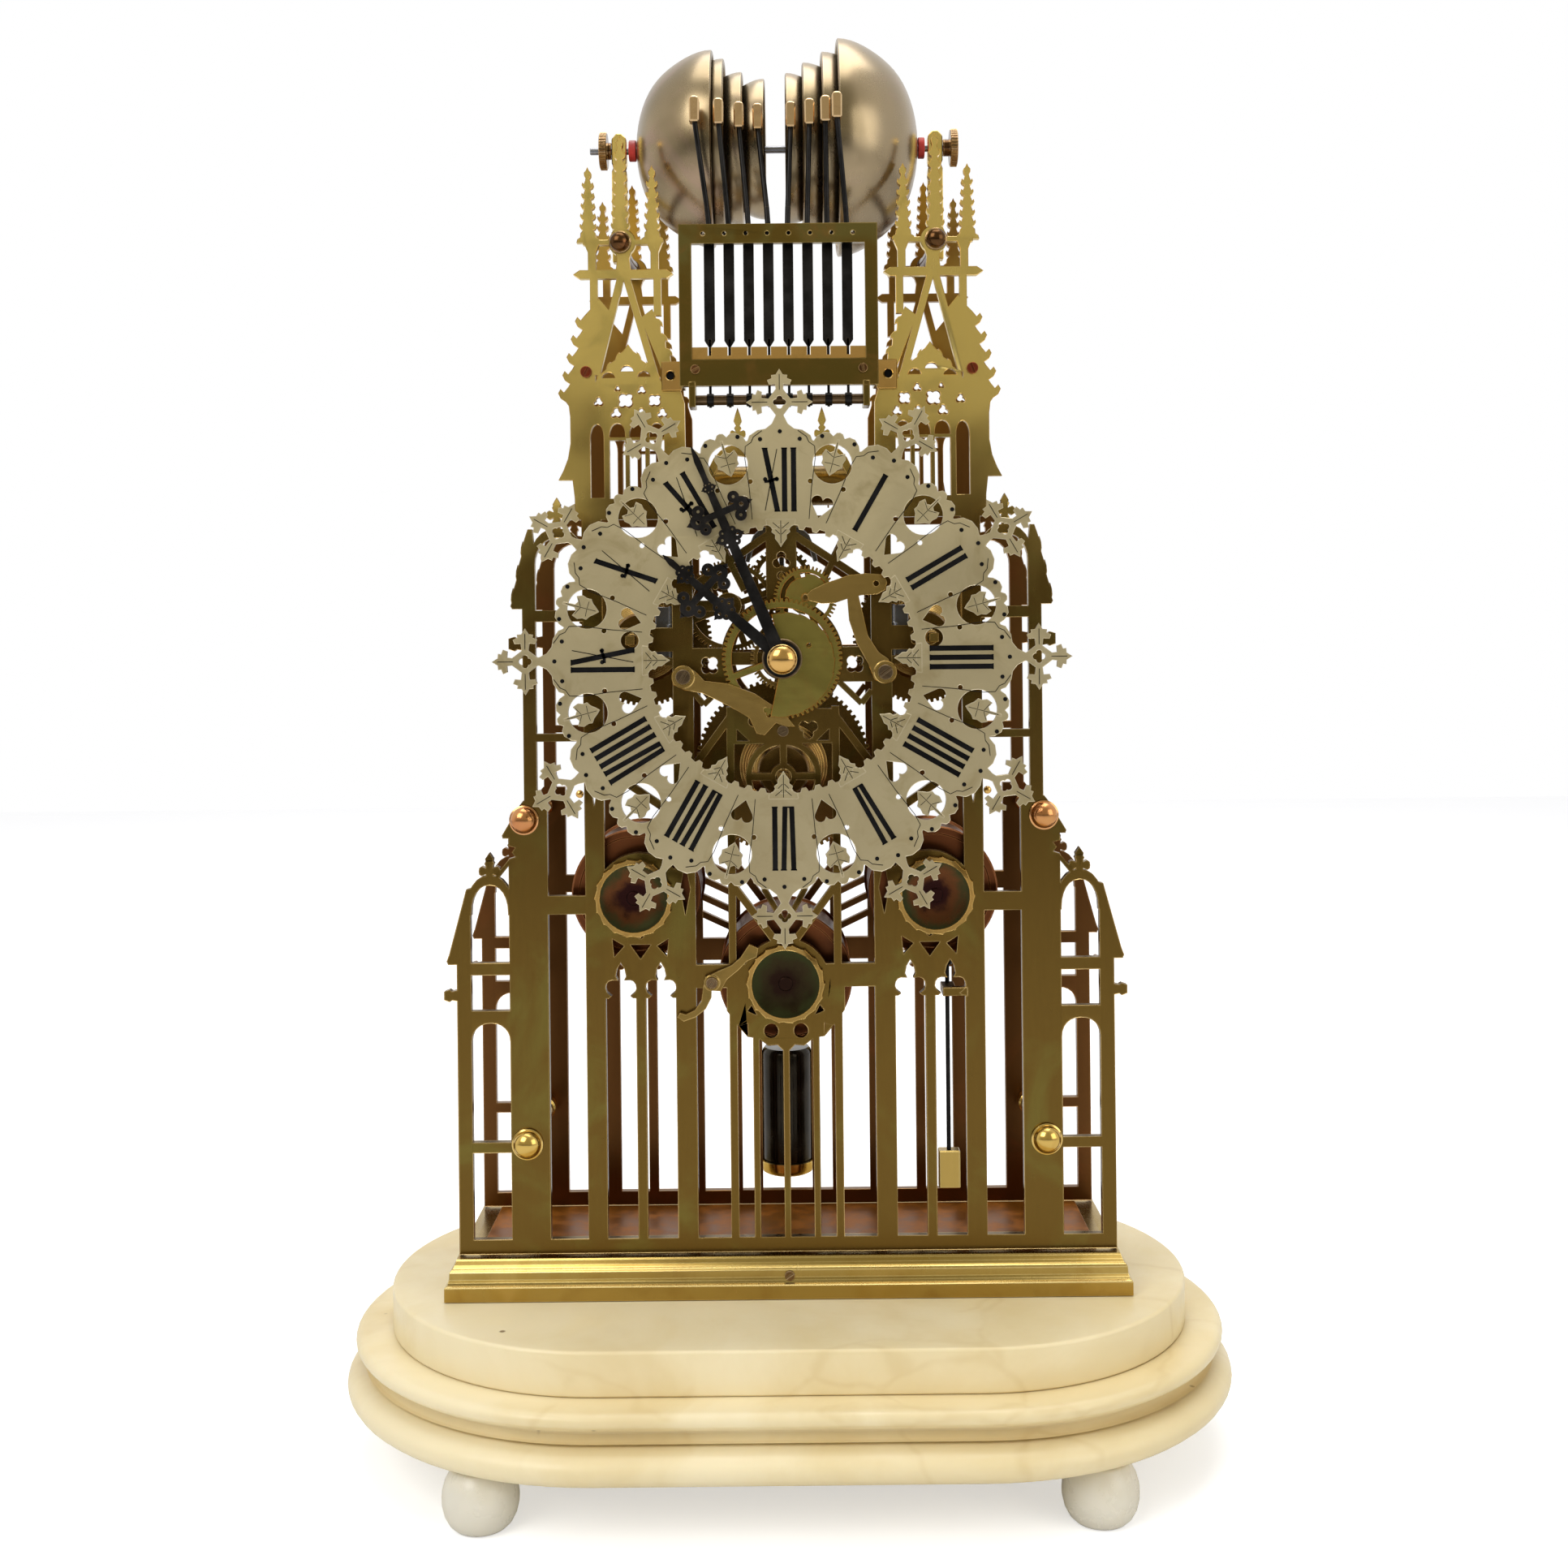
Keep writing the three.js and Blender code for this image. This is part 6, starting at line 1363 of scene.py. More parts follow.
    def tower(self) -> list[Outline]:
        """Returns the towers with their gables, buttress leaves and spires."""
        top, x, gable = self.stage_top, self.tower_x, self.gable_x
        sill = 491.0 if self.is_front else 489.0
        outer = list(reversed(leafy_edge((97.6, 484.6), (87.6, 525.6), 5, 4.3)))
        pieces = [
            [(84, 500), (77, 526), (82, 532), (85, 528), *outer, (96.2, 483), (95.6, 478),
             (95.6, 466), (96.8, 459), (99, 453.4), (101.2, 449.2), (94.8, 449.2), (93.9, 441), (93.7, top),
             (84, top)],
            [(63, 523), (57.6, 527), *leafy_edge((56, 523), (45.2, 489), 5, 2), (43.4, 484),
             (43, top), (52, top), (54, 500)],
            bar(50, 86, top, 493.2 if self.is_front else 500),
            [(52.4, sill), (85.4, sill), *leafy_edge((83.4, 495), (gable + 1.6, 508.4), 3, 1.2), (gable, 511),
             *[(2 * gable - px, pz) for px, pz in reversed(leafy_edge((83.4, 495), (gable + 1.6, 508.4), 3, 1.2))]],
            strip((x + 0.6, 544), (83.4, 497), 3.2), strip((x - 0.6, 544), (56.8, 497), 3.2),
            [(51, 541), (90.6, 541), (93.6, 543), (90.6, 545), (51, 545), (48, 543)],
            bar(82.6, 86, 524, 542), bar(53.6, 57, 524, 542),
            [(83.2, 544), (86.8, 544), (86.8, 553), (88.8, 557.8), (81.2, 557.8), (83.2, 553)],
            [(54.6, 544), (58.2, 544), (58.2, 553), (60.2, 557.8), (52.6, 557.8), (54.6, 553)],
            [(67.2, 544), (74.2, 544), (73.4, 550), (75.8, 557.8), (65.6, 557.8), (68, 550)],
            bar(53, 89, self.eaves - 1, self.eaves + 1.2), circle(x + 0.4, self.eaves, 6.2, 28),
            spire(86.6, self.eaves, 592, 2.9, 5), spire(57.3, self.eaves, 592.4, 2.9, 5),
            spire(71.9, self.eaves, 606.0 if self.is_front else 600, 3.5, 7),
        ]
        if self.is_front:
            pieces += [arch_band(19.2, 12.4, 442, 459.6, 3), *fleuron(19.2, 469.6, 3.6),
                       [(17.9, 463), (20.5, 463), (20.1, 473.4), (21.1, 475.4), (20.3, 478.4), (19.2, 481.6),
                        (18.1, 478.4), (17.3, 475.4), (18.3, 473.4)]]
        return both(pieces)

    def tower_holes(self) -> list[Outline]:
        """Returns the tower lights with their tracery and the dark panel beside them."""
        holes = [
            foil(70.2, 485.2, 3.9, 4, 45), foil(74.6, 479.4, 2.7, 3), foil(63.2, 479.3, 2.5, 3),
            foil(53.6, 479.2, 2.5, 3), foil(57, 485.1, 3.2, 4, 45), foil(62.9, 489.8, 2.2, 3),
            foil(73.9, 490.6, 1.5, 3), foil(82.6, 484.6, 2.4, 3),
        ]
        if self.is_front:
            holes += [arc(x, z, 3.1, 8, 172, 9) for x, z in ((69.6, 498.2), (78, 495.2), (61.8, 495.6))]
        else:
            holes = [[(px * 1.0897, pz * 1.0897 - 34.4) for px, pz in hole] for hole in holes]
        for x, half in ((74.2, 3.6), (65.1, 3.6), (56.2, 3.4)):
            holes += [bar(x - half, x + half, 440.6, 467.2), pointed_arch(x, half, 468.6, 469.4, 475)]
        holes.append(pointed_arch(83.5, 3.1, 441, 468, 474.6))
        return both(holes)

    def bores(self) -> list[Outline]:
        """Returns the holes for arbors and pillar studs."""
        holes = [circle(x, z, radius, 20) for x, z, radius in (
            (0, BARREL_Z, 3.5), (0, CENTRE_Z, 2.9), (*THIRD, 1.9), (0, ESCAPE_Z, 1.9), (0, PALLET_Z, 1.9),
            (0, self.fusee_z, 3.5))]
        return holes + both([circle(*SIDE_BARREL, 3.5, 20), circle(*SIDE_FUSEE, 3.5, 20), circle(118.4, 146.7, 3, 20),
                             circle(118.5, 294.4, 3, 20), circle(72, 557.5, 3, 20)])

    def louvres(self) -> list[Outline]:
        """Returns the slanting ribs between the thin bars and the centre piers of the rear plate."""
        return both([strip((self.thin_bar[1] - 1, 232 + step * 8.6), (self.centre_pier[0] + 1, 240 + step * 8.6), 3)
                     for step in range(4)])

    def face(self) -> tuple[float, float]:
        """Returns where the plate's two faces stand."""
        return (self.back_w, self.front_w) if self.is_front else (-self.front_w, -self.back_w)

    def sheet(self) -> Piece:
        """Saws the plate out."""
        outlines = (self.lower_centre() + self.lower_stage() + self.movement_frame() + self.middle_stage()
                    + self.tower())
        if not self.is_front:
            outlines += self.louvres()
        holes = self.lower_holes() + self.movement_holes() + self.tower_holes() + self.bores()
        return fretwork(self.name, outlines, holes, *self.face(), edge=0.22)


@dataclass
class Plates:
    """The front and rear plates with the studs, cocks and screws fixed to them."""

    def build(self, shop: Workshop) -> None:
        """Builds both plates."""
        front = Workpiece("front_gothic_plate").take(GothicPlate("front", True).sheet())
        for x, z in (MINUTE_WORK, QUARTER_LEVER, RACK_LEVER):
            front.rod(1.5, (STUD_FOOT, 48.8 if (x, z) == MINUTE_WORK else 52), (x, z))
        front.rod(1.5, (STUD_FOOT, 41.2), CLICK)
        for side in SIDES:
            x = side * FLY_X
            for z in (363.7, 391.3):
                front.block((x - 3, x + 3), (z, z + 4), (FLY_W - 3, STUD_FOOT))
            x = side * 43.0
            front.block((x - 1.8, x + 1.8), (DRUM_Z - 5, DRUM_Z + 5), (DRUM_W - 5, STUD_FOOT), 0.4)
        front.block((PULL_X - 3, PULL_X + 3), (212, 216), (PULL_W - 3, STUD_FOOT))
        front.block((PULL_X - 3, 83), (212, 216), (33, 37), 0.3)
        shop.fit(front, Finish.PLATE, nodes=["front_plate"])
        rear = Workpiece("rear_gothic_plate").take(GothicPlate("rear", False).sheet())
        rear.block((-9, 9), (442, 458), (-47, -33.4), 0.5).block((-9, 9), (435, 458), (-37, -33), 0.4)
        rear.rod(1.5, (-56, -46), (0, 450)).rod(3, (-56.5, -54.6), (0, 450))
        shop.fit(rear, Finish.REAR_PLATE, nodes=["rear_plate"])
        self.screws(shop)

    def screws(self, shop: Workshop) -> None:
        """Sets the slotted screws of the front plate."""
        shop.screws("tower_screws", Finish.COPPER, [
            (-88.1, 498.5, 37, 2.6, 1.3, 60), (88.1, 498.5, 37, 2.6, 1.3, 110)])
        shop.screws("plate_screws", Finish.SCREW, [
            (0, 333.8, 37, 2.6, 1.3, 20), (*QUARTER_LEVER, 51.9, 3.4, 1.3, 35), (*RACK_LEVER, 51.9, 3.4, 1.3, 60)])
        studs = Workpiece("plate_studs")
        for x, z, radius in ((-13.5, 306, 1.2), (93, 306, 1.4), (-93, 306, 1.4), (45, 318, 1.3), (-45, 318, 1.3)):
            studs.turned([(0, 36.9), (radius * 1.3, 36.9), (radius * 1.2, 37.6), (radius * 0.7, 38.2), (0, 38.4)],
                         (x, z), 20)
        shop.fit(studs, Finish.BRIGHT)


# ---- pillars, bells and hammers


@dataclass
class Pillars:
    """Six turned pillars with a washer and a domed nut at each end; the top pair carries the bell posts."""

    shoulder: float = 32.7
    post_x: float = 75.0
    post_top: float = 616.0

    def profile(self, radius: float, nut: float) -> Outline:
        """Returns a pillar's radius and place along its length, nuts included."""
        half = [(radius * 0.62, 0), (radius * 0.66, 10), (radius * 0.86, 19), (radius * 0.9, 22),
                (radius * 0.74, 22.8), (radius * 0.74, 24), (radius, 24.8), (radius * 1.02, 26.2), (radius, 27.6),
                (radius * 0.84, 28.4), (radius * 0.98, 30), (radius, self.shoulder), (2.55, self.shoulder),
                (2.55, PLATE_FACE), (nut * 0.98, PLATE_FACE), (nut, PLATE_FACE + 0.3), (nut, PLATE_FACE + 0.9),
                (nut * 0.9, PLATE_FACE + 1.2)]
        dome = [(nut * 0.9 * math.cos(t), PLATE_FACE + 1.2 + nut * 0.72 * math.sin(t))
                for t in (math.radians(13 * i) for i in range(7))]
        half += [*dome[1:], (0, dome[-1][1] + 0.05)]
        return [(r, -w) for r, w in reversed(half[1:])] + half

    def build(self, shop: Workshop) -> None:
        """Builds the six pillars and the two bell posts."""
        rows = (("low", 118.4, 146.7, 5, 7.1, Finish.BRIGHT), ("middle", 118.5, 294.4, 5, 6.7, Finish.COPPERY),
                ("top", 72, 557.5, 4, 5, Finish.COPPERY))
        for row, x, z, radius, nut, finish in rows:
            for side, side_name in ((-1, "left"), (1, "right")):
                work = Workpiece(f"{row}_pillar_{side_name}")
                work.turned(self.profile(radius, nut), (side * x, z), 48)
                shop.fit(work, finish, nodes=[f"pillar_{row}_{side_name}"], smooth=50)
        posts = []
        for side in SIDES:
            half = 3.5
            outline = [(-half, 555), (half, 555), (half, 598), (half - 0.8, 600), (half, 602),
                       (half, self.post_top - 2.6), (half - 2.2, self.post_top), (-half + 2.2, self.post_top),
                       (-half, self.post_top - 2.6), (-half, 602), (-half + 0.8, 600), (-half, 598)]
            posts.append(moved(outline, side * self.post_x, 0))
        work = Workpiece("bell_posts")
        for outline in posts:
            work.flat(outline, -3.5, 3.5, 0.4)
        shop.fit(work, Finish.PLATE)


@dataclass
class Bells:
    """Eight nested cup bells on one rod, with washers and knurled nuts."""

    rod_z: float = 608.4
    cups: tuple[tuple[str, float, float, float], ...] = (
        ("left_1", -30.5, -66.7, 45.2), ("left_2", -25.1, -57.3, 41.3), ("left_3", -16.6, -44.1, 35.2),
        ("left_4", -6.2, -31.2, 32.1), ("right_1", 4.6, 31.6, 34.6), ("right_2", 12.6, 43.2, 39.2),
        ("right_3", 21.5, 55.7, 43.9), ("right_4", 28.8, 66.7, 49.8))

    def cup(self, rim: float, pole: float, radius: float) -> Outline:
        """Returns a cup's closed section: wall, rounded lip, bore."""
        depth, wall, bore = abs(pole - rim), 1.8, 2.15
        steps = 18
        outer, inner = [], []
        for step in range(steps + 1):
            t = step / steps * math.pi / 2
            swell = 1 + 0.012 * math.cos(6 * t)
            outer.append((max(radius * math.cos(t) ** 0.94 * swell, bore), depth * math.sin(t) ** 1.04))
            inner.append((max((radius - wall) * math.cos(t) ** 0.94, bore), (depth - wall) * math.sin(t) ** 1.04))
        lip = [(radius - 0.1, -0.5), (radius - 0.9, -0.7), (radius - wall + 0.1, -0.4)]
        return [*outer, *reversed(inner), *reversed(lip), outer[0]]

    def build(self, shop: Workshop) -> None:
        """Builds the bells and the rod with its fittings."""
        for name, rim, pole, radius in self.cups:
            side = math.copysign(1, pole - rim)
            section = [(r, rim + side * along) for r, along in self.cup(rim, pole, radius)]
            work = Workpiece(f"cup_bell_{name}").turned(section, (self.rod_z, 0), 96, axis=Axis.ACROSS)
            shop.fit(work, Finish.BELL, nodes=[f"bell_{name}"], smooth=45)
        rod = Workpiece("bell_rod_bar").rod(1.75, (-89, 86), (self.rod_z, 0), axis=Axis.ACROSS)
        shop.fit(rod, Finish.STEEL, nodes=["bell_rod"])
        knobs = Workpiece("bell_rod_nuts")
        for low, high, radius in ((-84.3, -80.7, 8.5), (82.1, 85.6, 8.5), (-81, -78.8, 4), (78.8, 82.3, 4),
                                  (-65.4, -63.6, 3.4), (62.2, 64, 3.4)):
            knobs.rod(radius, (low, high), (self.rod_z, 0), 40, axis=Axis.ACROSS)
        for low in (-84, 82.4):
            for step in range(36):
                t = step / 36 * 2 * math.pi
                rib = Vector((low, 8.45 * math.sin(t), self.rod_z + 8.45 * math.cos(t)))
                knobs.lean(rib, rib + Vector((3, 0, 0)), 0.42)
        shop.fit(knobs, Finish.COPPERY)
        washers = Workpiece("red_washers")
        for low, high in ((-70.4, -67), (67, 70)):
            washers.rod(5, (low, high), (self.rod_z, 0), 36, axis=Axis.ACROSS)
        shop.fit(washers, Finish.RED)


@dataclass
class Hammers:
    """The frame that guides the eight hammers, and the hammers themselves."""

    arbor_w: float = 45.2
    arbor_z: float = 484.0
    head_z: float = 613.3
    head_x: tuple[float, ...] = (-36.9, -26.2, -17.2, -8.7, 6.3, 14.8, 21.9, 26.9)
    half: float = 44.5
    window: float = 38.8

    def build_frame(self, shop: Workshop) -> None:
        """Builds the window frame with its comb, its cheeks and its feet."""
        holes = [bar(-self.window, self.window, 501.4, 553.1)]
        holes += [circle((index - 3.5) * 9.6, 557.5, 0.95, 14) for index in range(8)]
        work = Workpiece("hammer_guide_frame")
        feet = Workpiece("hammer_frame_feet")
        work.take(fretwork("rim", [bar(-self.half, self.half, 489.4, 561.8)], holes, 50, 54, 0.2))
        slots = [bar((i - 3.5) * HAMMER_PITCH - 0.8, (i - 3.5) * HAMMER_PITCH + 0.8, 503.2, 509) for i in range(8)]
        for side in SIDES:
            cheek = side * 39.0
            work.block((cheek - 1.5, cheek + 1.5), (480, 491.4), (41.2, 54), 0.3)
            foot = sorted((side * 43.5, side * 53.5))
            feet.take(fretwork("foot", [bar(foot[0], foot[1], 489.4, 502.6)], [circle(side * 49.6, 496.2, 2, 24)],
                               PLATE_FACE, 39.3, 0.4))
            work.block((side * 43.5 - 1, side * 43.5 + 1), (489.4, 499.4), (PLATE_FACE, 51), 0.3)
        shop.fit(work, Finish.GUIDE, nodes=["hammer_frame"])
        shop.fit(feet, Finish.BRIGHT)
        plugs = Workpiece("hammer_frame_foot_holes")
        for side in SIDES:
            plugs.rod(1.9, (37.2, 38.2), (side * 49.6, 496.2), 20)
        shop.fit(plugs, Finish.WAX)
        arbor = Workpiece("hammer_arbor").rod(2.3, (-38, 38), (self.arbor_z, self.arbor_w), axis=Axis.ACROSS)
        shop.fit(arbor, Finish.SCREW)
        comb = Workpiece("hammer_comb")
        comb.take(fretwork("comb", [bar(-self.window - 0.5, self.window + 0.5, 500.4, 507)], slots, 50.8, 52, 0.12))
        shop.fit(comb, Finish.BRIGHT)
        shop.screws("hammer_frame_screws", Finish.COPPERY, [
            (-37.5, 496.8, 54, 2.1, 1, 30), (37.5, 496.8, 54, 2.1, 1, 100)])

    def build(self, shop: Workshop) -> None:
        """Builds the frame and the hammers."""
        self.build_frame(shop)
        w = self.arbor_w
        for index, (head_x, cup) in enumerate(zip(self.head_x, Bells.cups)):
            x = (index - 3.5) * HAMMER_PITCH
            head_w = cup[3] + 2.4
            stem = Workpiece(f"hammer_stem_{index + 1}")
            stem.rod(2.95, (x - 1.6, x + 1.6), (self.arbor_z, w), 28, axis=Axis.ACROSS)
            stem.block((x - 0.6, x + 0.6), (480.6, 511.5), (w - 0.6, w + 0.6), 0.12)
            outline = [(x - 0.6, 508), (x + 0.6, 508), (x + 2.4, 510.8), (x + 2.4, 560), (x + 1.4, 562.6),
                       (x + 0.8, 564.8), (x - 0.8, 564.8), (x - 1.4, 562.6), (x - 2.4, 560), (x - 2.4, 510.8)]
            stem.flat(outline, w - 0.6, w + 0.6, 0.12)
            start = Vector((x, -w, 563.4))
            bend = Vector((x + (head_x - x) * 0.12, -(w + (head_w + 4 - w) * 0.12), 571))
            end = Vector((head_x, -(head_w + 4), self.head_z - 4))
            stem.lean(start, bend, 1.25, 12).lean(bend, end, 1.2, 12)
            shop.fit(stem, Finish.BLACK, f"hammer_{index + 1}_body", [f"hammer_{index + 1}"])
            head = Workpiece(f"hammer_head_{index + 1}")
            shape = [(-2.2, -5.7), (2.2, -5.7), (2.3, 4.6), (1.2, 5.7), (-1.2, 5.7), (-2.3, 4.6)]
            head.flat([(head_x + px, self.head_z + pz) for px, pz in shape], head_w + 0.9, head_w + 8, 0.6)
            shop.fit(head, Finish.HEAD, f"hammer_{index + 1}_body")


# ---- dial and hands


def at_hour(turn: float, points: Outline) -> Outline:
    """Places points of distance out and along at a clock angle in degrees about the dial's centre."""
    s, c = math.sin(math.radians(turn)), math.cos(math.radians(turn))
    return [(out * s + along * c, CENTRE_Z + out * c - along * s) for out, along in points]


@dataclass
class Dial:
    """The pierced and engraved chapter ring with a finial at each hour."""

    front: float = 60.8
    thick: float = 1.6
    inner: float = 58.6
    finial: float = 114.0
    numerals: tuple[str, ...] = ("XII", "I", "II", "III", "IIII", "V", "VI", "VII", "VIII", "IX", "X", "XI")

    def plaque(self, pointed: bool) -> Outline:
        """Returns a numeral plaque: a broad shield with shoulders, ogee-pointed on the quarters."""
        if pointed:
            side = [(60, 14.5), (76, 16), (90, 18), (95.5, 17.6), (97, 14.4), (99.2, 13.6), (101.6, 10),
                    (102.2, 6.4), (104.4, 3.6), (107.8, 1.9), (110.6, 1.3)]
        else:
            side = [(60, 14.5), (76, 16), (90, 18), (95.5, 17.6), (97.4, 14.6), (101, 13.2), (103.6, 9.8),
                    (104.2, 5.6), (103.2, 2.6), (106, 1.7), (110.6, 1.3)]
        return side + flipped(side)

    def finial_shape(self) -> list[Outline]:
        """Returns the flower that crowns a plaque: a lozenge with three cusped leaves."""
        leaf = [(0, -1.5), (3.4, -1.9), (3.2, -4.6), (5.2, -5.4), (6, -3.4), (7.4, -3.6), (7.6, -1.6), (10.2, 0),
                (7.6, 1.6), (7.4, 3.6), (6, 3.4), (5.2, 5.4), (3.2, 4.6), (3.4, 1.9), (0, 1.5)]
        shapes = [[(self.finial - 8, 0), (self.finial, 6), (self.finial + 8, 0), (self.finial, -6)]]
        shapes += [[(self.finial + out, along) for out, along in moved(
            [(4.6 + px, pz) for px, pz in leaf], 0, 0, turn)] for turn in (0, 90, 270)]
        return shapes

    def link(self) -> Outline:
        """Returns the scalloped piece between two plaques."""
        half = [(62, 11.5), (90, 11.8), (96, 11), (99.8, 9.6), (102.2, 7.2), (102.6, 4.6), (101.4, 2.6), (103.2, 1.4),
                (103.6, 0)]
        return half + flipped(half[:-1])

    def ivy(self) -> Outline:
        """Returns the ivy leaf that hangs in the round hole between two plaques."""
        half = [(100.4, 0.5), (95, 0.7), (94, 2.2), (95.2, 4.4), (92.6, 5.4), (90.4, 4.6), (88.6, 4.8), (87.4, 3),
                (85.6, 1.6), (83.9, 0)]
        return half + flipped(half[:-1])

    def leaf_pointer(self) -> Outline:
        """Returns the engraved leaf that points inward at an hour."""
        half = [(62, 6.6), (59.6, 6.2), (58.2, 3.6), (56.4, 4.2), (55.2, 2.6), (53.4, 2.6), (51.6, 1.2), (49.6, 0)]
        return half + flipped(half[:-1])

    def ring(self) -> Piece:
        """Saws the ring out."""
        back = self.front - self.thick
        solids = [circle(0, CENTRE_Z, 96.4, 96)]
        holes = [toothed(0, CENTRE_Z, self.inner + 1.1, 1.8, 60)]
        late = []
        for hour in range(12):
            turn = hour * HOUR
            solids.append(at_hour(turn, self.plaque(hour % 3 == 0)))
            solids += [at_hour(turn, shape) for shape in self.finial_shape()]
            solids.append(at_hour(turn + HALF_HOUR, self.link()))
            holes.append(at_hour(turn + HALF_HOUR, circle(89.4, 0, 8.8, 32)))
            holes.append(at_hour(turn + HALF_HOUR, heart(70.2, 0, 5.6, 0)))
            holes.append(at_hour(turn, foil(self.finial, 0, 2.9, 4, 0)))
            holes += [at_hour(turn + HALF_HOUR + side * 5.4, circle(80.0, 0, 1.15, 12))
                      for side in SIDES]
            late.append(at_hour(turn + HALF_HOUR, self.ivy()))
            late.append(at_hour(turn, self.leaf_pointer()))
        holes += [circle(side * SIDE_FUSEE[0], SIDE_FUSEE[1], 4, 24) for side in SIDES]
        work = Workpiece("chapter_ring_plate").take(fretwork("ring", solids, holes, back, self.front, 0.16))
        for outline in late:
            work.flat(outline, back + 0.05, self.front - 0.05, 0.12)
        for side_x in SIDES:
            for side_z in SIDES:
                work.rod(2.2, (PLATE_FACE, back + 0.4), (side_x * 86.5, CENTRE_Z + side_z * 44))
        return work.done()

    def inlay(self, work: Workpiece, turn: float, outline: Outline, top: float = 0.12, foot: float = -0.02) -> None:
        """Sets one flat piece into the ring's face at a clock angle."""
        work.flat(at_hour(turn, outline), self.front + foot, self.front + top, 0)

    def stroke(self, work: Workpiece, hour: int, start: Point, end: Point, width: float) -> None:
        """Inlays one stroke of a numeral, its ends given as height above the numeral's foot and sideways."""
        self.inlay(work, hour * HOUR, [(65.4 + out, along) for out, along in strip(start, end, width)])

    def glyph(self, work: Workpiece, hour: int, sign: str, at: float) -> None:
        """Inlays one sign of a numeral in wax, with its serifs."""
        top = 28.4
        if sign == "I":
            self.stroke(work, hour, (0.4, at), (top - 0.4, at), 2.3)
            ends = ((0.3, at - 1.3, at + 1.3), (top - 0.3, at - 1.3, at + 1.3))
        elif sign == "V":
            for side in SIDES:
                self.stroke(work, hour, (top - 0.4, at + side * 2.2), (0.4, at + side * 1.5), 2.2)
            ends = ((top - 0.3, at - 3.6, at - 0.9), (top - 0.3, at + 0.9, at + 3.6), (0.3, at - 2.5, at + 2.5))
        else:
            self.stroke(work, hour, (top - 0.4, at - 2.7), (0.4, at + 2.7), 2.3)
            self.stroke(work, hour, (top - 0.6, at + 2.7), (0.6, at - 2.7), 0.35)
            ends = ((0.3, at + 1.4, at + 4), (top - 0.3, at - 4, at - 1.4))
        for height, low, high in ends:
            self.stroke(work, hour, (height, low), (height, high), 0.6)
        if sign == "X":
            for side in SIDES:
                self.stroke(work, hour, (top * 0.48, at), (top * 0.5 + side * 0.8, at + side * 3), 1.3)
                self.inlay(work, hour * HOUR, circle(66.2 + top * 0.48, at + side * 2.6, 0.95, 10))

    def wax(self) -> Piece:
        """Fills the numerals, the dots and the engraved lines."""
        work = Workpiece("numeral_wax")
        widths = {"I": 4.1, "V": 8, "X": 7.8}
        for hour, text in enumerate(self.numerals):
            total = sum(widths[sign] for sign in text)
            scale = min(1, 25.0 / total)
            at = -total * scale / 2
            for sign in text:
                self.glyph(work, hour, sign, at + widths[sign] * scale / 2)
                at += widths[sign] * scale
            dots = ((0, 97.6, 8.8), (0, 97.6, -8.8), (0, 101, 0), (15, 100.2, 7.4), (15, 100.2, -7.4))
            for step, out, along in dots:
                self.inlay(work, hour * HOUR + step, circle(out, along, 0.95, 12), 0.1)
            self.engraving(work, hour)
        return work.done()

    def engraving(self, work: Workpiece, hour: int) -> None:
        """Cuts the border lines of one plaque, the veins of its leaves and the petals of its flower."""
        lines: list[tuple[Point, Point]] = []
        for side in SIDES:
            edge = [(62, 12.6), (76, 13.8), (89, 15.6), (94.4, 15.4), (96.2, 12.8), (98.6, 11.8), (101.4, 8)]
            lines += [((a[0], side * a[1]), (b[0], side * b[1])) for a, b in zip(edge, edge[1:])]
            lines += [((self.finial, side * 5.4), (self.finial, side * 12.4)),
                      ((58, side * 0.5), (60.6, side * 3.6)), ((55.4, side * 0.4), (57.4, side * 2.4))]
        lines += [((51.4, 0), (61.4, 0)), ((self.finial + 5.4, 0), (self.finial + 12.4, 0))]
        for start, end in lines:
            self.inlay(work, hour * HOUR, strip(start, end, 0.3), 0.06)
        veins = [((99, 0), (85.4, 0)), ((92.4, 0.3), (94.2, 3.6)), ((92.4, -0.3), (94.2, -3.6)),
                 ((89.4, 0.3), (89.2, 3.4)), ((89.4, -0.3), (89.2, -3.4))]
        for start, end in veins:
            self.inlay(work, hour * HOUR + HALF_HOUR, strip(start, end, 0.26), -0.01, -0.1)

    def build(self, shop: Workshop) -> None:
        """Builds the ring and its wax."""
        shop.fit(self.ring(), Finish.SILVER, nodes=["chapter_ring"])
        shop.fit(self.wax(), Finish.WAX)


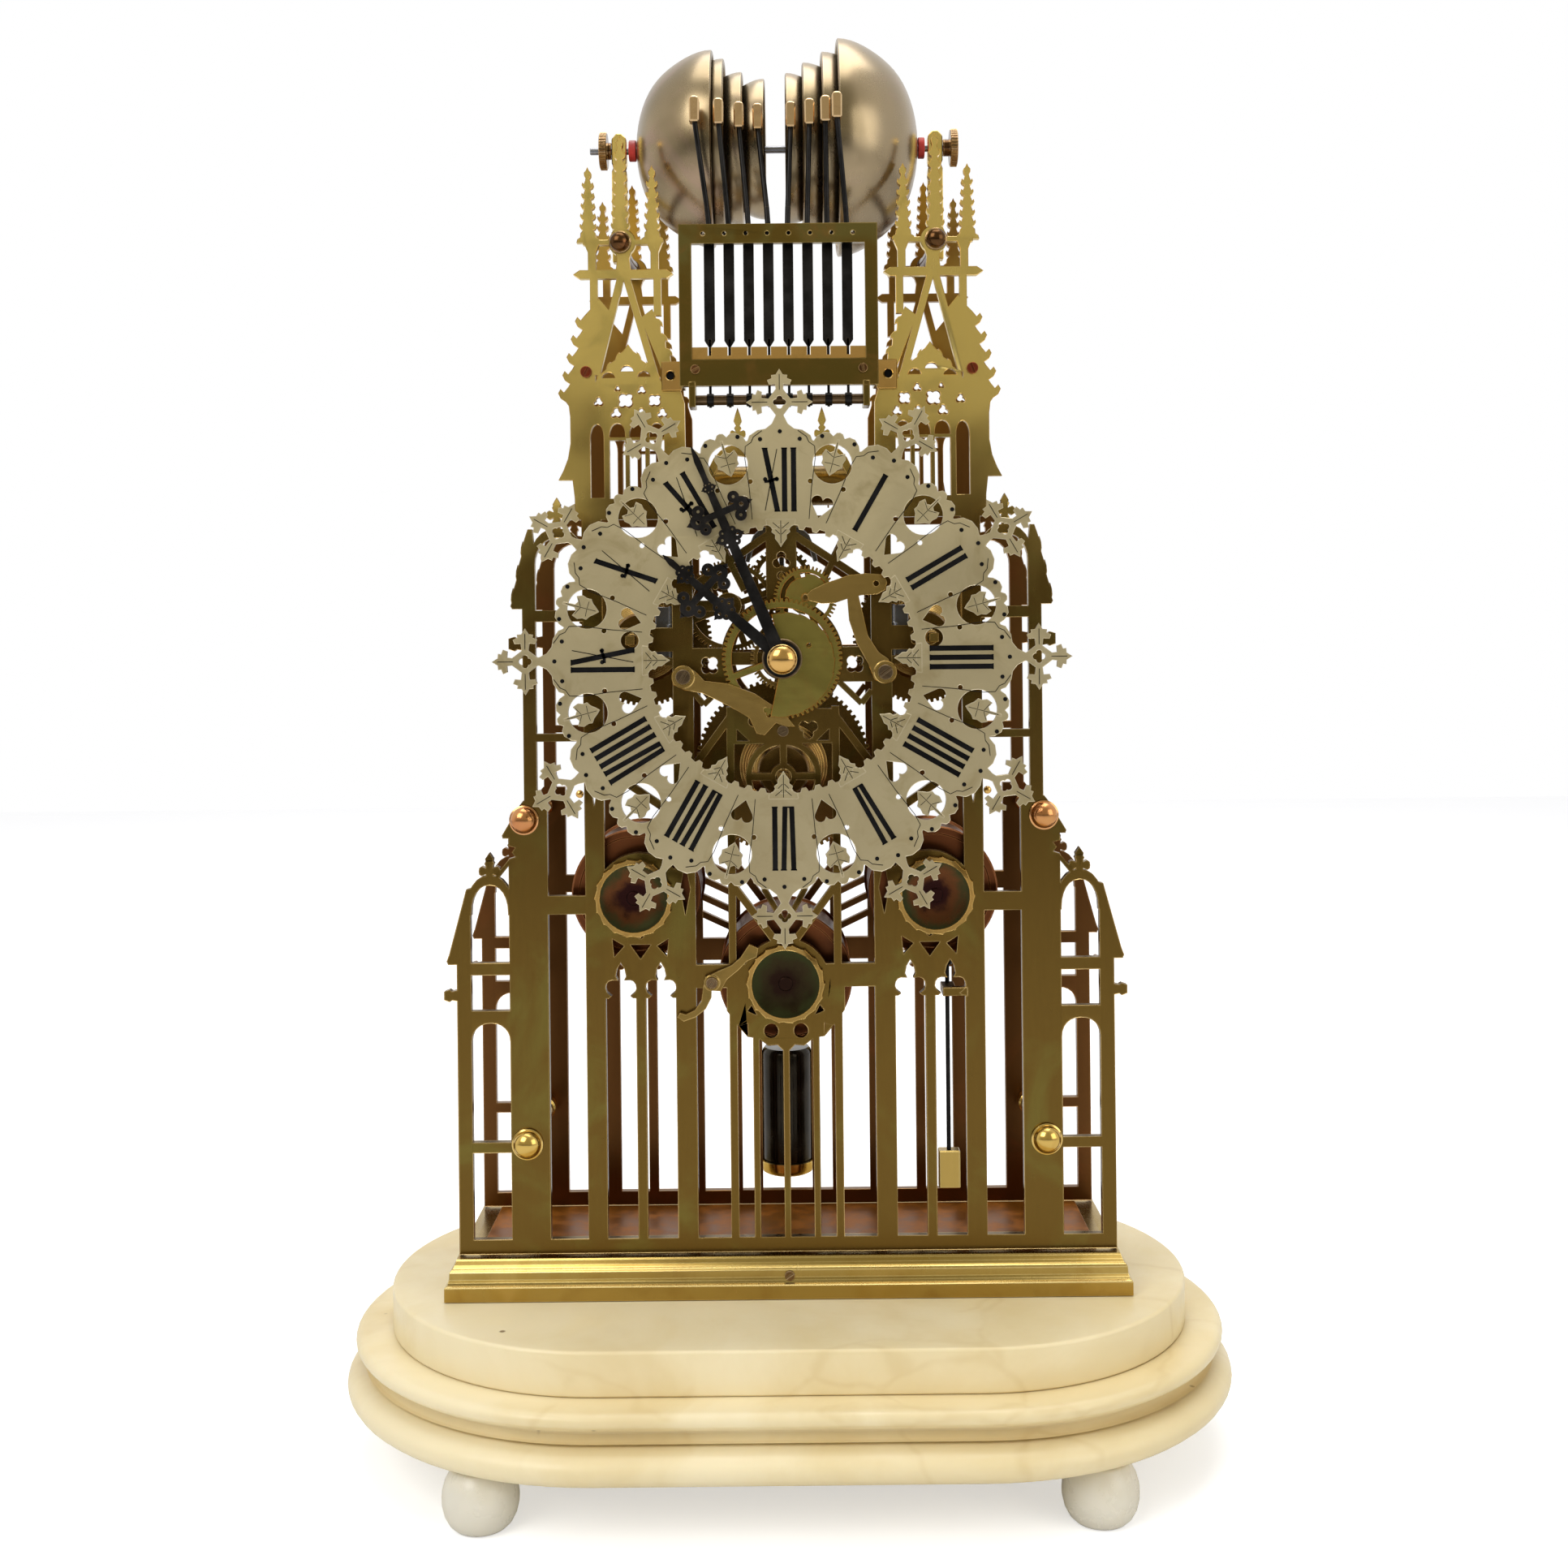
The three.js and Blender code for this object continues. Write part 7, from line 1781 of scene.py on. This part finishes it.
@dataclass
class Hand:
    """One pierced Gothic hand: a tapering spine crossed by foiled arms."""

    name: str
    node: str
    body: str
    turn: float
    length: float
    w: float
    hub: float
    bore: float
    crosses: tuple[tuple[float, float, float], ...]

    def lobes(self, arm: float, lobe: float) -> tuple[tuple[float, float, float], ...]:
        """Returns each lobe of an arm: its step along the hand, its reach and its share of the size."""
        return ((0, arm, 1), (lobe * 1.2, arm - lobe * 0.55, 0.74), (-lobe * 1.2, arm - lobe * 0.55, 0.74))

    def solids(self) -> list[Outline]:
        """Returns the hub, the spine and the lobes of every cross."""
        n = self.length
        side = [(0, 3), (n * 0.4, 2.3), (n * 0.7, 1.9), (n * 0.86, 1.3), (n * 0.93, 1.5), (n * 0.97, 0.9), (n, 0.2)]
        shapes = [side + flipped(side)]
        for out, arm, lobe in self.crosses:
            shapes.append([(out - lobe * 0.42, -arm), (out + lobe * 0.42, -arm), (out + lobe * 0.42, arm),
                           (out - lobe * 0.42, arm)])
            for sign in SIDES:
                for step, across, share in self.lobes(arm, lobe):
                    shapes.append(circle(out + step, sign * across, lobe * share, 20))
                point = [(-lobe * 0.5, lobe * 0.7), (lobe * 0.5, lobe * 0.7), (0, lobe * 1.5)]
                shapes.append(moved(point, out, sign * arm, 0 if sign > 0 else 180))
        return [circle(0, CENTRE_Z, self.hub, 48), *[at_hour(self.turn, shape) for shape in shapes]]

    def piercings(self) -> list[Outline]:
        """Returns the bore and the round holes of the lobes."""
        holes = []
        for out, arm, lobe in self.crosses:
            for sign in SIDES:
                for step, across, share in self.lobes(arm, lobe):
                    holes.append(circle(out + step, sign * across, lobe * share * 0.26, 12))
        return [circle(0, CENTRE_Z, self.bore, 32), *[at_hour(self.turn, shape) for shape in holes]]

    def build(self, shop: Workshop) -> None:
        """Builds the hand."""
        piece = fretwork(self.name, self.solids(), self.piercings(), self.w, self.w + 1.2, 0.16)
        shop.fit(piece, Finish.BLACK, self.body, [self.node])


@dataclass
class Hands:
    """Both hands and the domed cap."""

    def build(self, shop: Workshop) -> None:
        """Builds the hands and the cap."""
        Hand("hour_hand_blade", "hour_hand", "hour_pipe", 311.7, 70, 62.2, 8, 4.7,
             ((46, 10.4, 3.9), (57, 2.4, 2.1), (34, 3.2, 2.4))).build(shop)
        Hand("minute_hand_blade", "minute_hand", "centre_arbor", 337.4, 102, 65.2, 7, 2.7,
             ((70, 10.4, 3.6), (58.5, 3.6, 2.3), (82, 1.6, 1.4))).build(shop)
        seat = 66.7
        dome = [(6.3 * math.cos(math.radians(15 * i)), seat + 1.0 + 3.6 * math.sin(math.radians(15 * i)))
                for i in range(7)]
        cap = Workpiece("hand_cap_dome").turned([(0, seat), (6.4, seat), (6.6, seat + 0.3), (6.6, seat + 0.8), *dome],
                                                (0, CENTRE_Z), 56)
        shop.fit(cap, Finish.BRIGHT, "centre_arbor", ["hand_cap"], 50)


# ---- movement


def wheel_blank(name: str, x: float, z: float, tip: float, teeth: int, w0: float, w1: float, spokes: int,
                rim: float) -> Piece:
    """Returns a toothed and crossed-out wheel.

    Args:
        name: The wheel's name.
        x: Its arbor's place across.
        z: Its arbor's height.
        tip: The radius over the teeth.
        teeth: How many teeth it has.
        w0: Its back face.
        w1: Its front face.
        spokes: How many spokes it has, or 0 for a plain disc.
        rim: The width of its rim.

    Returns:
        The wheel.
    """
    holes = spoke_windows(x, z, 6, tip - rim, spokes, 3, 20) if spokes else []
    return fretwork(name, [toothed(x, z, tip, 1.5, teeth)], holes, w0, w1, 0.12)


@dataclass
class MotionWork:
    """The snails, wheels and levers in front of the plate."""


    def hour_snail(self, shop: Workshop) -> None:
        """Builds the hour wheel, its pipe and the hour snail with its stepped edge."""
        steps = 12
        outline = []
        for step in range(steps):
            radius = 20.0 + 6.4 * (step + 1) / steps
            begin = -13 + step / steps * 205
            outline += [(radius, begin + share * 205 / steps) for share in (0, 0.5, 1)]
        outline += [(7.4, 192 + 155 * step / 8) for step in range(9)]
        snail = [at_hour(turn, [(radius, 0)])[0] for radius, turn in outline]
        work = Workpiece("hour_snail_and_pipe")
        work.take(fretwork("snail", [snail], [circle(0, CENTRE_Z, 2.75, 24), circle(12, 373, 1, 12)], 51.3, 52.8,
                           0.15))
        work.take(wheel_blank("hour", 0, CENTRE_Z, 27.2, 72, 47, 48.5, 4, 4.4))
        profile = [(2.8, 47), (4.4, 47), (4.4, 63.4), (2.8, 63.4), (2.8, 47)]
        work.turned(profile, (0, CENTRE_Z), 36)
        shop.fit(work, Finish.SNAIL, "hour_pipe", ["hour_snail"])
        edge = Workpiece("hour_snail_collar")
        edge.turned([(4.5, 53), (8.6, 53), (9, 53.4), (9, 56), (8.6, 56.4), (4.5, 56.4), (4.5, 53)],
                    (0, CENTRE_Z), 40)
        shop.fit(edge, Finish.SCREW, "hour_pipe")

    def minute_wheel(self, shop: Workshop) -> None:
        """Builds the minute wheel, its pinion and the four-stepped quarter snail."""
        x, z = MINUTE_WORK
        steps = [at for turn in range(16) for at in [(11.0 - 1.6 * (turn // 4), turn * 22.5),
                                                     (11.0 - 1.6 * (turn // 4), turn * 22.5 + 21)]]
        outline = [(x + r * math.cos(math.radians(t)), z + r * math.sin(math.radians(t))) for r, t in steps]
        work = Workpiece("quarter_snail_and_wheel")
        work.take(fretwork("quarter", [outline], [circle(x, z, 1.6, 20)], 44.2, 45.6, 0.12))
        work.take(wheel_blank("minute", x, z, 14.5, 48, 41, 42.5, 4, 3.2))
        work.flat(toothed(x, z, 1.92, 0.4, 8), 42, 48.4, 0)
        shop.fit(work, Finish.SNAIL, "minute_wheel", ["quarter_snail"])

    def levers(self, shop: Workshop) -> None:
        """Builds the quarter lever, the rack lever and the click of the going ratchet."""
        quarter = [
            [(49.6, 361), (47.6, 366.6), (43.2, 369.6), (38.6, 377), (36.6, 386), (34.6, 395), (29.4, 395),
             (30.2, 384), (33.6, 373.6), (38.6, 364.4), (41.2, 357.4), (45.4, 355.4)],
            [(12.4, 393), (11.4, 395.6), (13.2, 397.6), (20, 400.8), (30, 404.2), (38, 405), (46, 404.4),
             (47.4, 401), (46.6, 397.6), (43, 395.6), (36, 395.2), (30, 393.8), (24, 391.8), (18, 391.6)],
        ]
        self.lever(shop, "quarter_lever_arm", quarter, [circle(42.5, 400.4, 1.3, 16)], QUARTER_LEVER, 49.6, 51, 47.6,
                   "quarter_lever_body", "quarter_lever")
        rack = [[(-49.4, 356), (-48.4, 362.6), (-43.6, 364.6), (-38.6, 361.4), (-35, 357.4), (-24.6, 356.2),
                 (-12.6, 351.6), (0.2, 343), (5.4, 336.6), (1.4, 336.6), (-3.2, 338.2), (-8.2, 332.8), (-11.8, 333.6),
                 (-15, 340.6), (-24, 346), (-36, 352), (-44, 353.4)]]
        self.lever(shop, "rack_lever_arm", rack, [foil(-6.2, 343.4, 2.6, 3, 30)], RACK_LEVER, 49.6, 51, 47.6,
                   "rack_lever_body", "rack_lever")
        click = [
            [(-37.6, 216.6), (-36.6, 222.6), (-31, 225), (-24.6, 227.6), (-20.6, 231), (-16.4, 237.2),
             (-12.2, 235.4), (-13, 231.4), (-17.4, 229.6), (-21.6, 225.4), (-26.6, 221.4), (-29.4, 216)],
            [(-33.6, 219), (-33.8, 213), (-36.4, 208), (-41, 204.4), (-46.6, 202.4), (-49.4, 204.4),
             (-48.2, 206.4), (-45.4, 205.6), (-41.4, 207.6), (-38.4, 211.6), (-37.4, 219)],
        ]
        self.lever(shop, "going_ratchet_click", click, [], CLICK, PLATE_FACE, 40.3, PLATE_FACE, "click_body",
                   "going_click", 3.6, Finish.CLICK)
        shop.screws("click_screw", Finish.SCREW, [(*CLICK, 41.2, 2.6, 1, 60)])

    def lever(self, shop: Workshop, name: str, outlines: list[Outline], holes: list[Outline], pivot: Point,
              w0: float, w1: float, seat: float, body: str, node: str, boss: float = 5.2,
              finish: Finish | None = None) -> None:
        """Builds one lever with a turned boss at its pivot.

        Args:
            shop: The workshop that finishes it.
            name: The piece's name.
            outlines: The arm's shapes.
            holes: What is pierced in the arm.
            pivot: Where its screw stands.
            w0: The arm's back face.
            w1: The arm's front face.
            seat: Where the boss begins.
            body: The body that it rides on.
            node: The solid that it stands for.
            boss: The boss's radius.
            finish: Its finish, where that isn't the levers' brass.
        """
        bore = circle(pivot[0], pivot[1], 1.8, 20)
        work = Workpiece(name).take(fretwork("arm", outlines, [*holes, bore], w0, w1, 0.15))
        profile = [(1.85, seat), (boss, seat), (boss, w1 + 0.5), (boss - 0.4, w1 + 0.8), (1.85, w1 + 0.8),
                   (1.85, seat)]
        work.turned(profile, pivot, 40)
        shop.fit(work, finish or Finish.LEVER, body, [node])

    def build(self, shop: Workshop) -> None:
        """Builds the motion work."""
        self.hour_snail(shop)
        self.minute_wheel(shop)
        self.levers(shop)


@dataclass
class Train:
    """One barrel with its ratchet, and the fusee over it."""

    name: str
    barrel: Point
    barrel_radius: float
    fusee: Point
    wheel_radius: float
    teeth: int
    square_end: float

    def ratchet(self) -> Piece:
        """Returns the dished ratchet in front of the plate with its fixed arbor."""
        x, z = self.barrel
        saw = []
        for tooth in range(18):
            for share, radius in ((0, 18), (0.06, 17.5), (0.3, 17.2), (0.6, 17.4), (0.85, 17.7)):
                t = (tooth + share) / 18 * 2 * math.pi
                saw.append((x + radius * math.cos(t), z + radius * math.sin(t)))
        work = Workpiece(f"{self.name}_ratchet_wheel")
        work.take(fretwork("ring", [saw], [circle(x, z, 15.4, 56)], PLATE_FACE, 40.3, 0.22))
        work.rod(3, (-36.7, 38.2), (x, z), 28)
        return work.done()

    def dish(self) -> Piece:
        """Returns the dished face inside the ratchet's rim, with the flat end of the arbor."""
        section = [(0, 38), (15.45, 38), (15.45, 40.2), (15, 40.2), (13.6, 39.9), (11.6, 39.4), (9, 38.95),
                   (6, 38.75), (3.4, 38.75), (3.1, 39.2), (2.8, 39.4), (0, 39.4)]
        return Workpiece(f"{self.name}_ratchet_dish").turned(section, self.barrel, 64).done()

    def drum(self) -> Piece:
        """Returns the barrel with its flanged rim and its cover."""
        x, z = self.barrel
        r = self.barrel_radius
        wall = [(3.4, -24), (r - 0.4, -24), (r, -23.6), (r, -22), (r - 0.5, -21.6), (r - 1.2, -21)]
        for line in range(12):
            w = -17.5 + line * 3.0
            wall += [(r - 1.1, w - 0.5), (r - 1.35, w), (r - 1.1, w + 0.5)]
        wall += [(r - 1, 20.6), (r, 21.4), (r, 23.4), (r - 0.6, 24), (r - 3.4, 24), (r - 3.8, 23.5), (8, 23.3),
                 (7.6, 24), (3.4, 24), (3.4, -24)]
        return Workpiece(f"{self.name}_barrel_drum").turned(wall, (x, z), 72).done()

    def cone(self) -> Piece:
        """Returns the grooved fusee with its great wheel and squared arbor."""
        x, z = self.fusee
        base, narrow = -25.8, 6.0
        profile = [(3, base), (21.4, base), (21.4, base + 1.6), (20.6, base + 2.2)]
        turns = 9
        for groove in range(turns):
            share = (groove + 0.5) / turns
            radius = 20.4 - 8.6 * share ** 0.8
            w = base + 3.2 + (narrow - base - 5) * share
            profile += [(radius + 0.35, w - 1.1), (radius - 0.55, w - 0.7), (radius - 0.8, w),
                        (radius - 0.55, w + 0.7), (radius + 0.3, w + 1.1)]
        profile += [(11.6, narrow - 0.8), (11.4, narrow), (3, narrow), (3, base)]
        work = Workpiece(f"{self.name}_fusee_cone")
        work.turned(profile, (x, z), 56)
        work.take(wheel_blank("great", x, z, self.wheel_radius, self.teeth * 3, -28, -25.9, 0, 5))
        work.rod(3, (-36.7, self.square_end - 12), (x, z), 28)
        half = 2.16
        work.block((x - half, x + half), (z - half, z + half), (self.square_end - 13, self.square_end), 0.35)
        return work.done()

    def build(self, shop: Workshop) -> None:
        """Builds the train's great pieces."""
        shop.fit(self.ratchet(), Finish.RIM, nodes=[f"{self.name}_ratchet"])
        shop.fit(self.dish(), Finish.GREEN_DISH if self.name == "going" else Finish.DISH)
        shop.fit(self.drum(), Finish.BARREL, f"{self.name}_barrel_body", [f"{self.name}_barrel"])
        shop.fit(self.cone(), Finish.WHEEL_IN_PAINTED_SHADE, f"{self.name}_fusee_body", [f"{self.name}_fusee"], 40)


@dataclass
class TimeTrain:
    """The centre, third and escape wheels with the pallets and the pendulum."""

    pendulum_w: float = -52.0

    def arbor(self, name: str, x: float, z: float, radius: float, span: Point, tip: float, teeth: int, w0: float,
              spokes: int, pinion: tuple[float, int, float, float], collet: float) -> Workpiece:
        """Returns an arbor with its wheel, its collet and its leaved pinion.

        Args:
            name: The piece's name.
            x: Its place across.
            z: Its height.
            radius: The arbor's radius.
            span: Where the arbor begins and ends.
            tip: The wheel's radius over the teeth.
            teeth: The wheel's teeth.
            w0: The wheel's back face.
            spokes: The wheel's spokes.
            pinion: The pinion's radius, leaves, back face and front face.
            collet: The collet's radius.

        Returns:
            The workpiece.
        """
        work = Workpiece(name).rod(radius, span, (x, z))
        work.take(wheel_blank(f"{name}_wheel", x, z, tip, teeth, w0, w0 + 2.2, spokes, 3.6))
        work.flat(toothed(x, z, pinion[0], pinion[0] * 0.32, pinion[1]), pinion[2], pinion[3], 0)
        return work.turned([(radius, w0 - 1.6), (collet, w0 - 1.4), (collet, w0 + 3.4), (radius, w0 + 4)],
                           (x, z), 28)

    def wheels(self, shop: Workshop) -> None:
        """Builds the three wheels."""
        third_distance = math.hypot(THIRD[0], THIRD[1] - CENTRE_Z)
        centre_tip = (third_distance - 0.3) * 5 / 6
        work = self.arbor("centre_wheel_and_arbor", 0, CENTRE_Z, 2.4, (-36.7, 66.4), centre_tip, 80, 14, 4,
                          (10.76, 10, -29, -24), 4.4)
        work.take(wheel_blank("cannon", 0, CENTRE_Z, 14.5, 48, 41, 42.5, 4, 3.2))
        shop.fit(work, Finish.WHEEL_IN_PAINTED_SHADE, "centre_arbor", ["centre_wheel"])
        escape_distance = math.hypot(THIRD[0], ESCAPE_Z - THIRD[1])
        third_tip = (escape_distance - 0.3) * 4 / 5
        work = self.arbor("third_wheel_and_arbor", *THIRD, 1.5, (-36.7, 37), third_tip, 72, 4, 4,
                          (third_distance - 0.3 - centre_tip, 8, 13, 17.2), 3.4)
        shop.fit(work, Finish.WHEEL_IN_PAINTED_SHADE, "third_arbor", ["third_wheel"])
        work = self.arbor("escape_wheel_and_arbor", 0, ESCAPE_Z, 1.5, (-36.7, 37), 15, 30, -20, 4,
                          (escape_distance - 0.3 - third_tip, 8, 3, 7.2), 3)
        shop.fit(work, Finish.WHEEL_IN_PAINTED_SHADE, "escape_arbor", ["escape_wheel"])

    def pallets(self, shop: Workshop) -> None:
        """Builds the anchor, its arbor and the crutch."""
        z = PALLET_Z
        half = [(0, z + 3.4), (3.2, z + 3), (8.4, z + 0.6), (13.6, z - 4.4), (16.4, z - 11), (17.6, z - 17),
                (15.6, z - 17.4), (13.8, z - 11.6), (11, z - 7.5), (6.6, z - 4.4), (2.6, z - 3.2)]
        anchor = half + mirrored(list(reversed(half)))[:-1]
        work = Workpiece("anchor_and_crutch").rod(1.5, (-42, 37), (0, z))
        work.flat(anchor, -20.5, -17.3, 0.2).flat(circle(0, z, 3.4, 28), -42, -40.4, 0.2)
        work.flat([(-1, 405), (1, 405), (1.4, z), (-1.4, z)], -42, -40.4, 0.15)
        work.block((-3, 3), (403.5, 406.5), (-42, -40.4), 0.2)
        for side in SIDES:
            work.rod(0.6, (-55, -40.6), (side * 2.4, 405), 16)
        shop.fit(work, Finish.STEEL, "pallet_body", ["pallets"])

    def pendulum(self, shop: Workshop) -> None:
        """Builds the rod, the jar and the stirrup that carries it."""
        w = self.pendulum_w
        rod = Workpiece("pendulum_rod")
        rod.turned([(1.8, -1.8), (4, -1.8), (4, 1.8), (1.8, 1.8), (1.8, -1.8)], (0, 0), 32)
        bmesh.ops.translate(rod.bm, verts=rod.bm.verts[:], vec=(0, -w * MM, 450 * MM))
        rod.rod(1.4, (177, 446.6), (0, w), 20, axis=Axis.UPRIGHT)
        rod.turned([(1.4, 188), (2.6, 187.6), (2.9, 186.6), (2.9, 184), (2.4, 183.2), (1.4, 183)], (0, w), 28,
                   axis=Axis.UPRIGHT)
        shop.fit(rod, Finish.STEEL, "pendulum_body", ["pendulum"])
        jar = [(0, 110.4), (10.4, 110.4), (11.6, 111.2), (12.3, 113), (12.4, 116), (12.4, 166.8), (12, 168.6),
               (11, 169.8), (6, 170), (0, 170)]
        shop.fit(Workpiece("pendulum_jar").turned(jar, (0, w), 56, axis=Axis.UPRIGHT), Finish.JAR, "pendulum_body")
        frame = Workpiece("pendulum_stirrup")
        for side in SIDES:
            x = side * 12.9
            frame.block((x - 0.7, x + 0.7), (109, 179), (w - 2.2, w + 2.2), 0.25)
        frame.block((-13.6, 13.6), (177, 179), (w - 2.2, w + 2.2), 0.3)
        frame.turned([(0, 107), (11, 107), (12.6, 107.9), (13.5, 109.8), (13.6, 113.4), (12.9, 113.6),
                      (12.6, 112), (11.6, 110.4), (0, 110.3)], (0, w), 56, axis=Axis.UPRIGHT)
        shop.fit(frame, Finish.BRIGHT, "pendulum_body")

    def build(self, shop: Workshop) -> None:
        """Builds the going train from the centre wheel to the pendulum."""
        self.wheels(shop)
        self.pallets(shop)
        self.pendulum(shop)


@dataclass
class Auxiliaries:
    """The pull rod, the two flies and the pinned chime drum."""

    def build(self, shop: Workshop) -> None:
        """Builds the auxiliaries."""
        x, w = PULL_X, PULL_W
        rod = Workpiece("repeat_pull_rod").rod(1, (137, 227), (x, w), 20, axis=Axis.UPRIGHT)
        rod.turned([(1, 224.4), (2.2, 224.6), (2.4, 225), (2.4, 226.6), (2.2, 227), (1, 227)], (x, w), 28,
                   axis=Axis.UPRIGHT)
        shop.fit(rod, Finish.BLACK, "pull_rod_body", ["pull_rod"])
        block = Workpiece("repeat_pull_block").block((x - 4.95, x + 4.95), (121.6, 139), (w - 3.46, w + 3.46), 0.5)
        shop.fit(block, Finish.PLINTH, "pull_rod_body")
        for side, train in ((-1, "strike"), (1, "chime")):
            fx = side * FLY_X
            fly = Workpiece(f"{train}_fly_blades").rod(1.2, (364, 395), (fx, FLY_W), 20, axis=Axis.UPRIGHT)
            fly.rod(2.2, (376, 383), (fx, FLY_W), 24, axis=Axis.UPRIGHT)
            fly.block((fx - 7.3, fx + 7.3), (368, 391), (FLY_W - 0.4, FLY_W + 0.4), 0.15)
            shop.fit(fly, Finish.STEEL, f"{train}_fly_body", [f"{train}_fly"])
        drum = Workpiece("chime_pin_drum")
        section = [(0, -38), (9.2, -38), (9.5, -37.6)]
        for groove in range(8):
            along = (groove - 4) * HAMMER_PITCH + HAMMER_PITCH / 2
            section += [(9.5, along - 4.2), (9.25, along - 4), (9.25, along + 4), (9.5, along + 4.2)][1:3]
        section += [(9.5, 37.6), (9.2, 38), (0, 38)]
        drum.turned(section, (DRUM_Z, DRUM_W), 48, axis=Axis.ACROSS)
        drum.rod(1.8, (-45.5, 45.5), (DRUM_Z, DRUM_W), axis=Axis.ACROSS)
        for track in range(8):
            for pin in range(5):
                t = track * 0.8 + pin * math.tau / 5
                foot = Vector(((track - 3.5) * HAMMER_PITCH, -DRUM_W - 9.0 * math.sin(t), DRUM_Z + 9.0 * math.cos(t)))
                tip = Vector((foot.x, -DRUM_W - 11.0 * math.sin(t), DRUM_Z + 11.0 * math.cos(t)))
                drum.lean(foot, tip, 0.45, 8, 0.35)
        shop.fit(drum, Finish.WHEEL_IN_PAINTED_SHADE, "chime_drum_body", ["chime_drum"])


def main() -> None:
    """Builds the studio and every piece, and notes the sizes."""
    logging.basicConfig(level=logging.INFO, format="%(message)s")
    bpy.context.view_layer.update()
    build_effect_groups()
    Studio().build()
    shop = Workshop()
    trains = [Train("going", (0, BARREL_Z), 31, (0, 313), 43.04, 28, 43)]
    trains += [Train(name, barrel, 30, fusee, 33, 24, 59.8) for name, barrel, fusee in zip(
        ("strike", "chime"), both_sides(SIDE_BARREL), both_sides(SIDE_FUSEE))]
    for assembly in (MarbleBase(), Plinth(), Plates(), Pillars(), Bells(), Hammers(), Dial(), Hands(), MotionWork(),
                     *trains, TimeTrain(), Auxiliaries()):
        before = shop.count
        assembly.build(shop)
        log.info("%s done: %d pieces", type(assembly).__name__, shop.count - before)


if __name__ == "__main__":
    main()
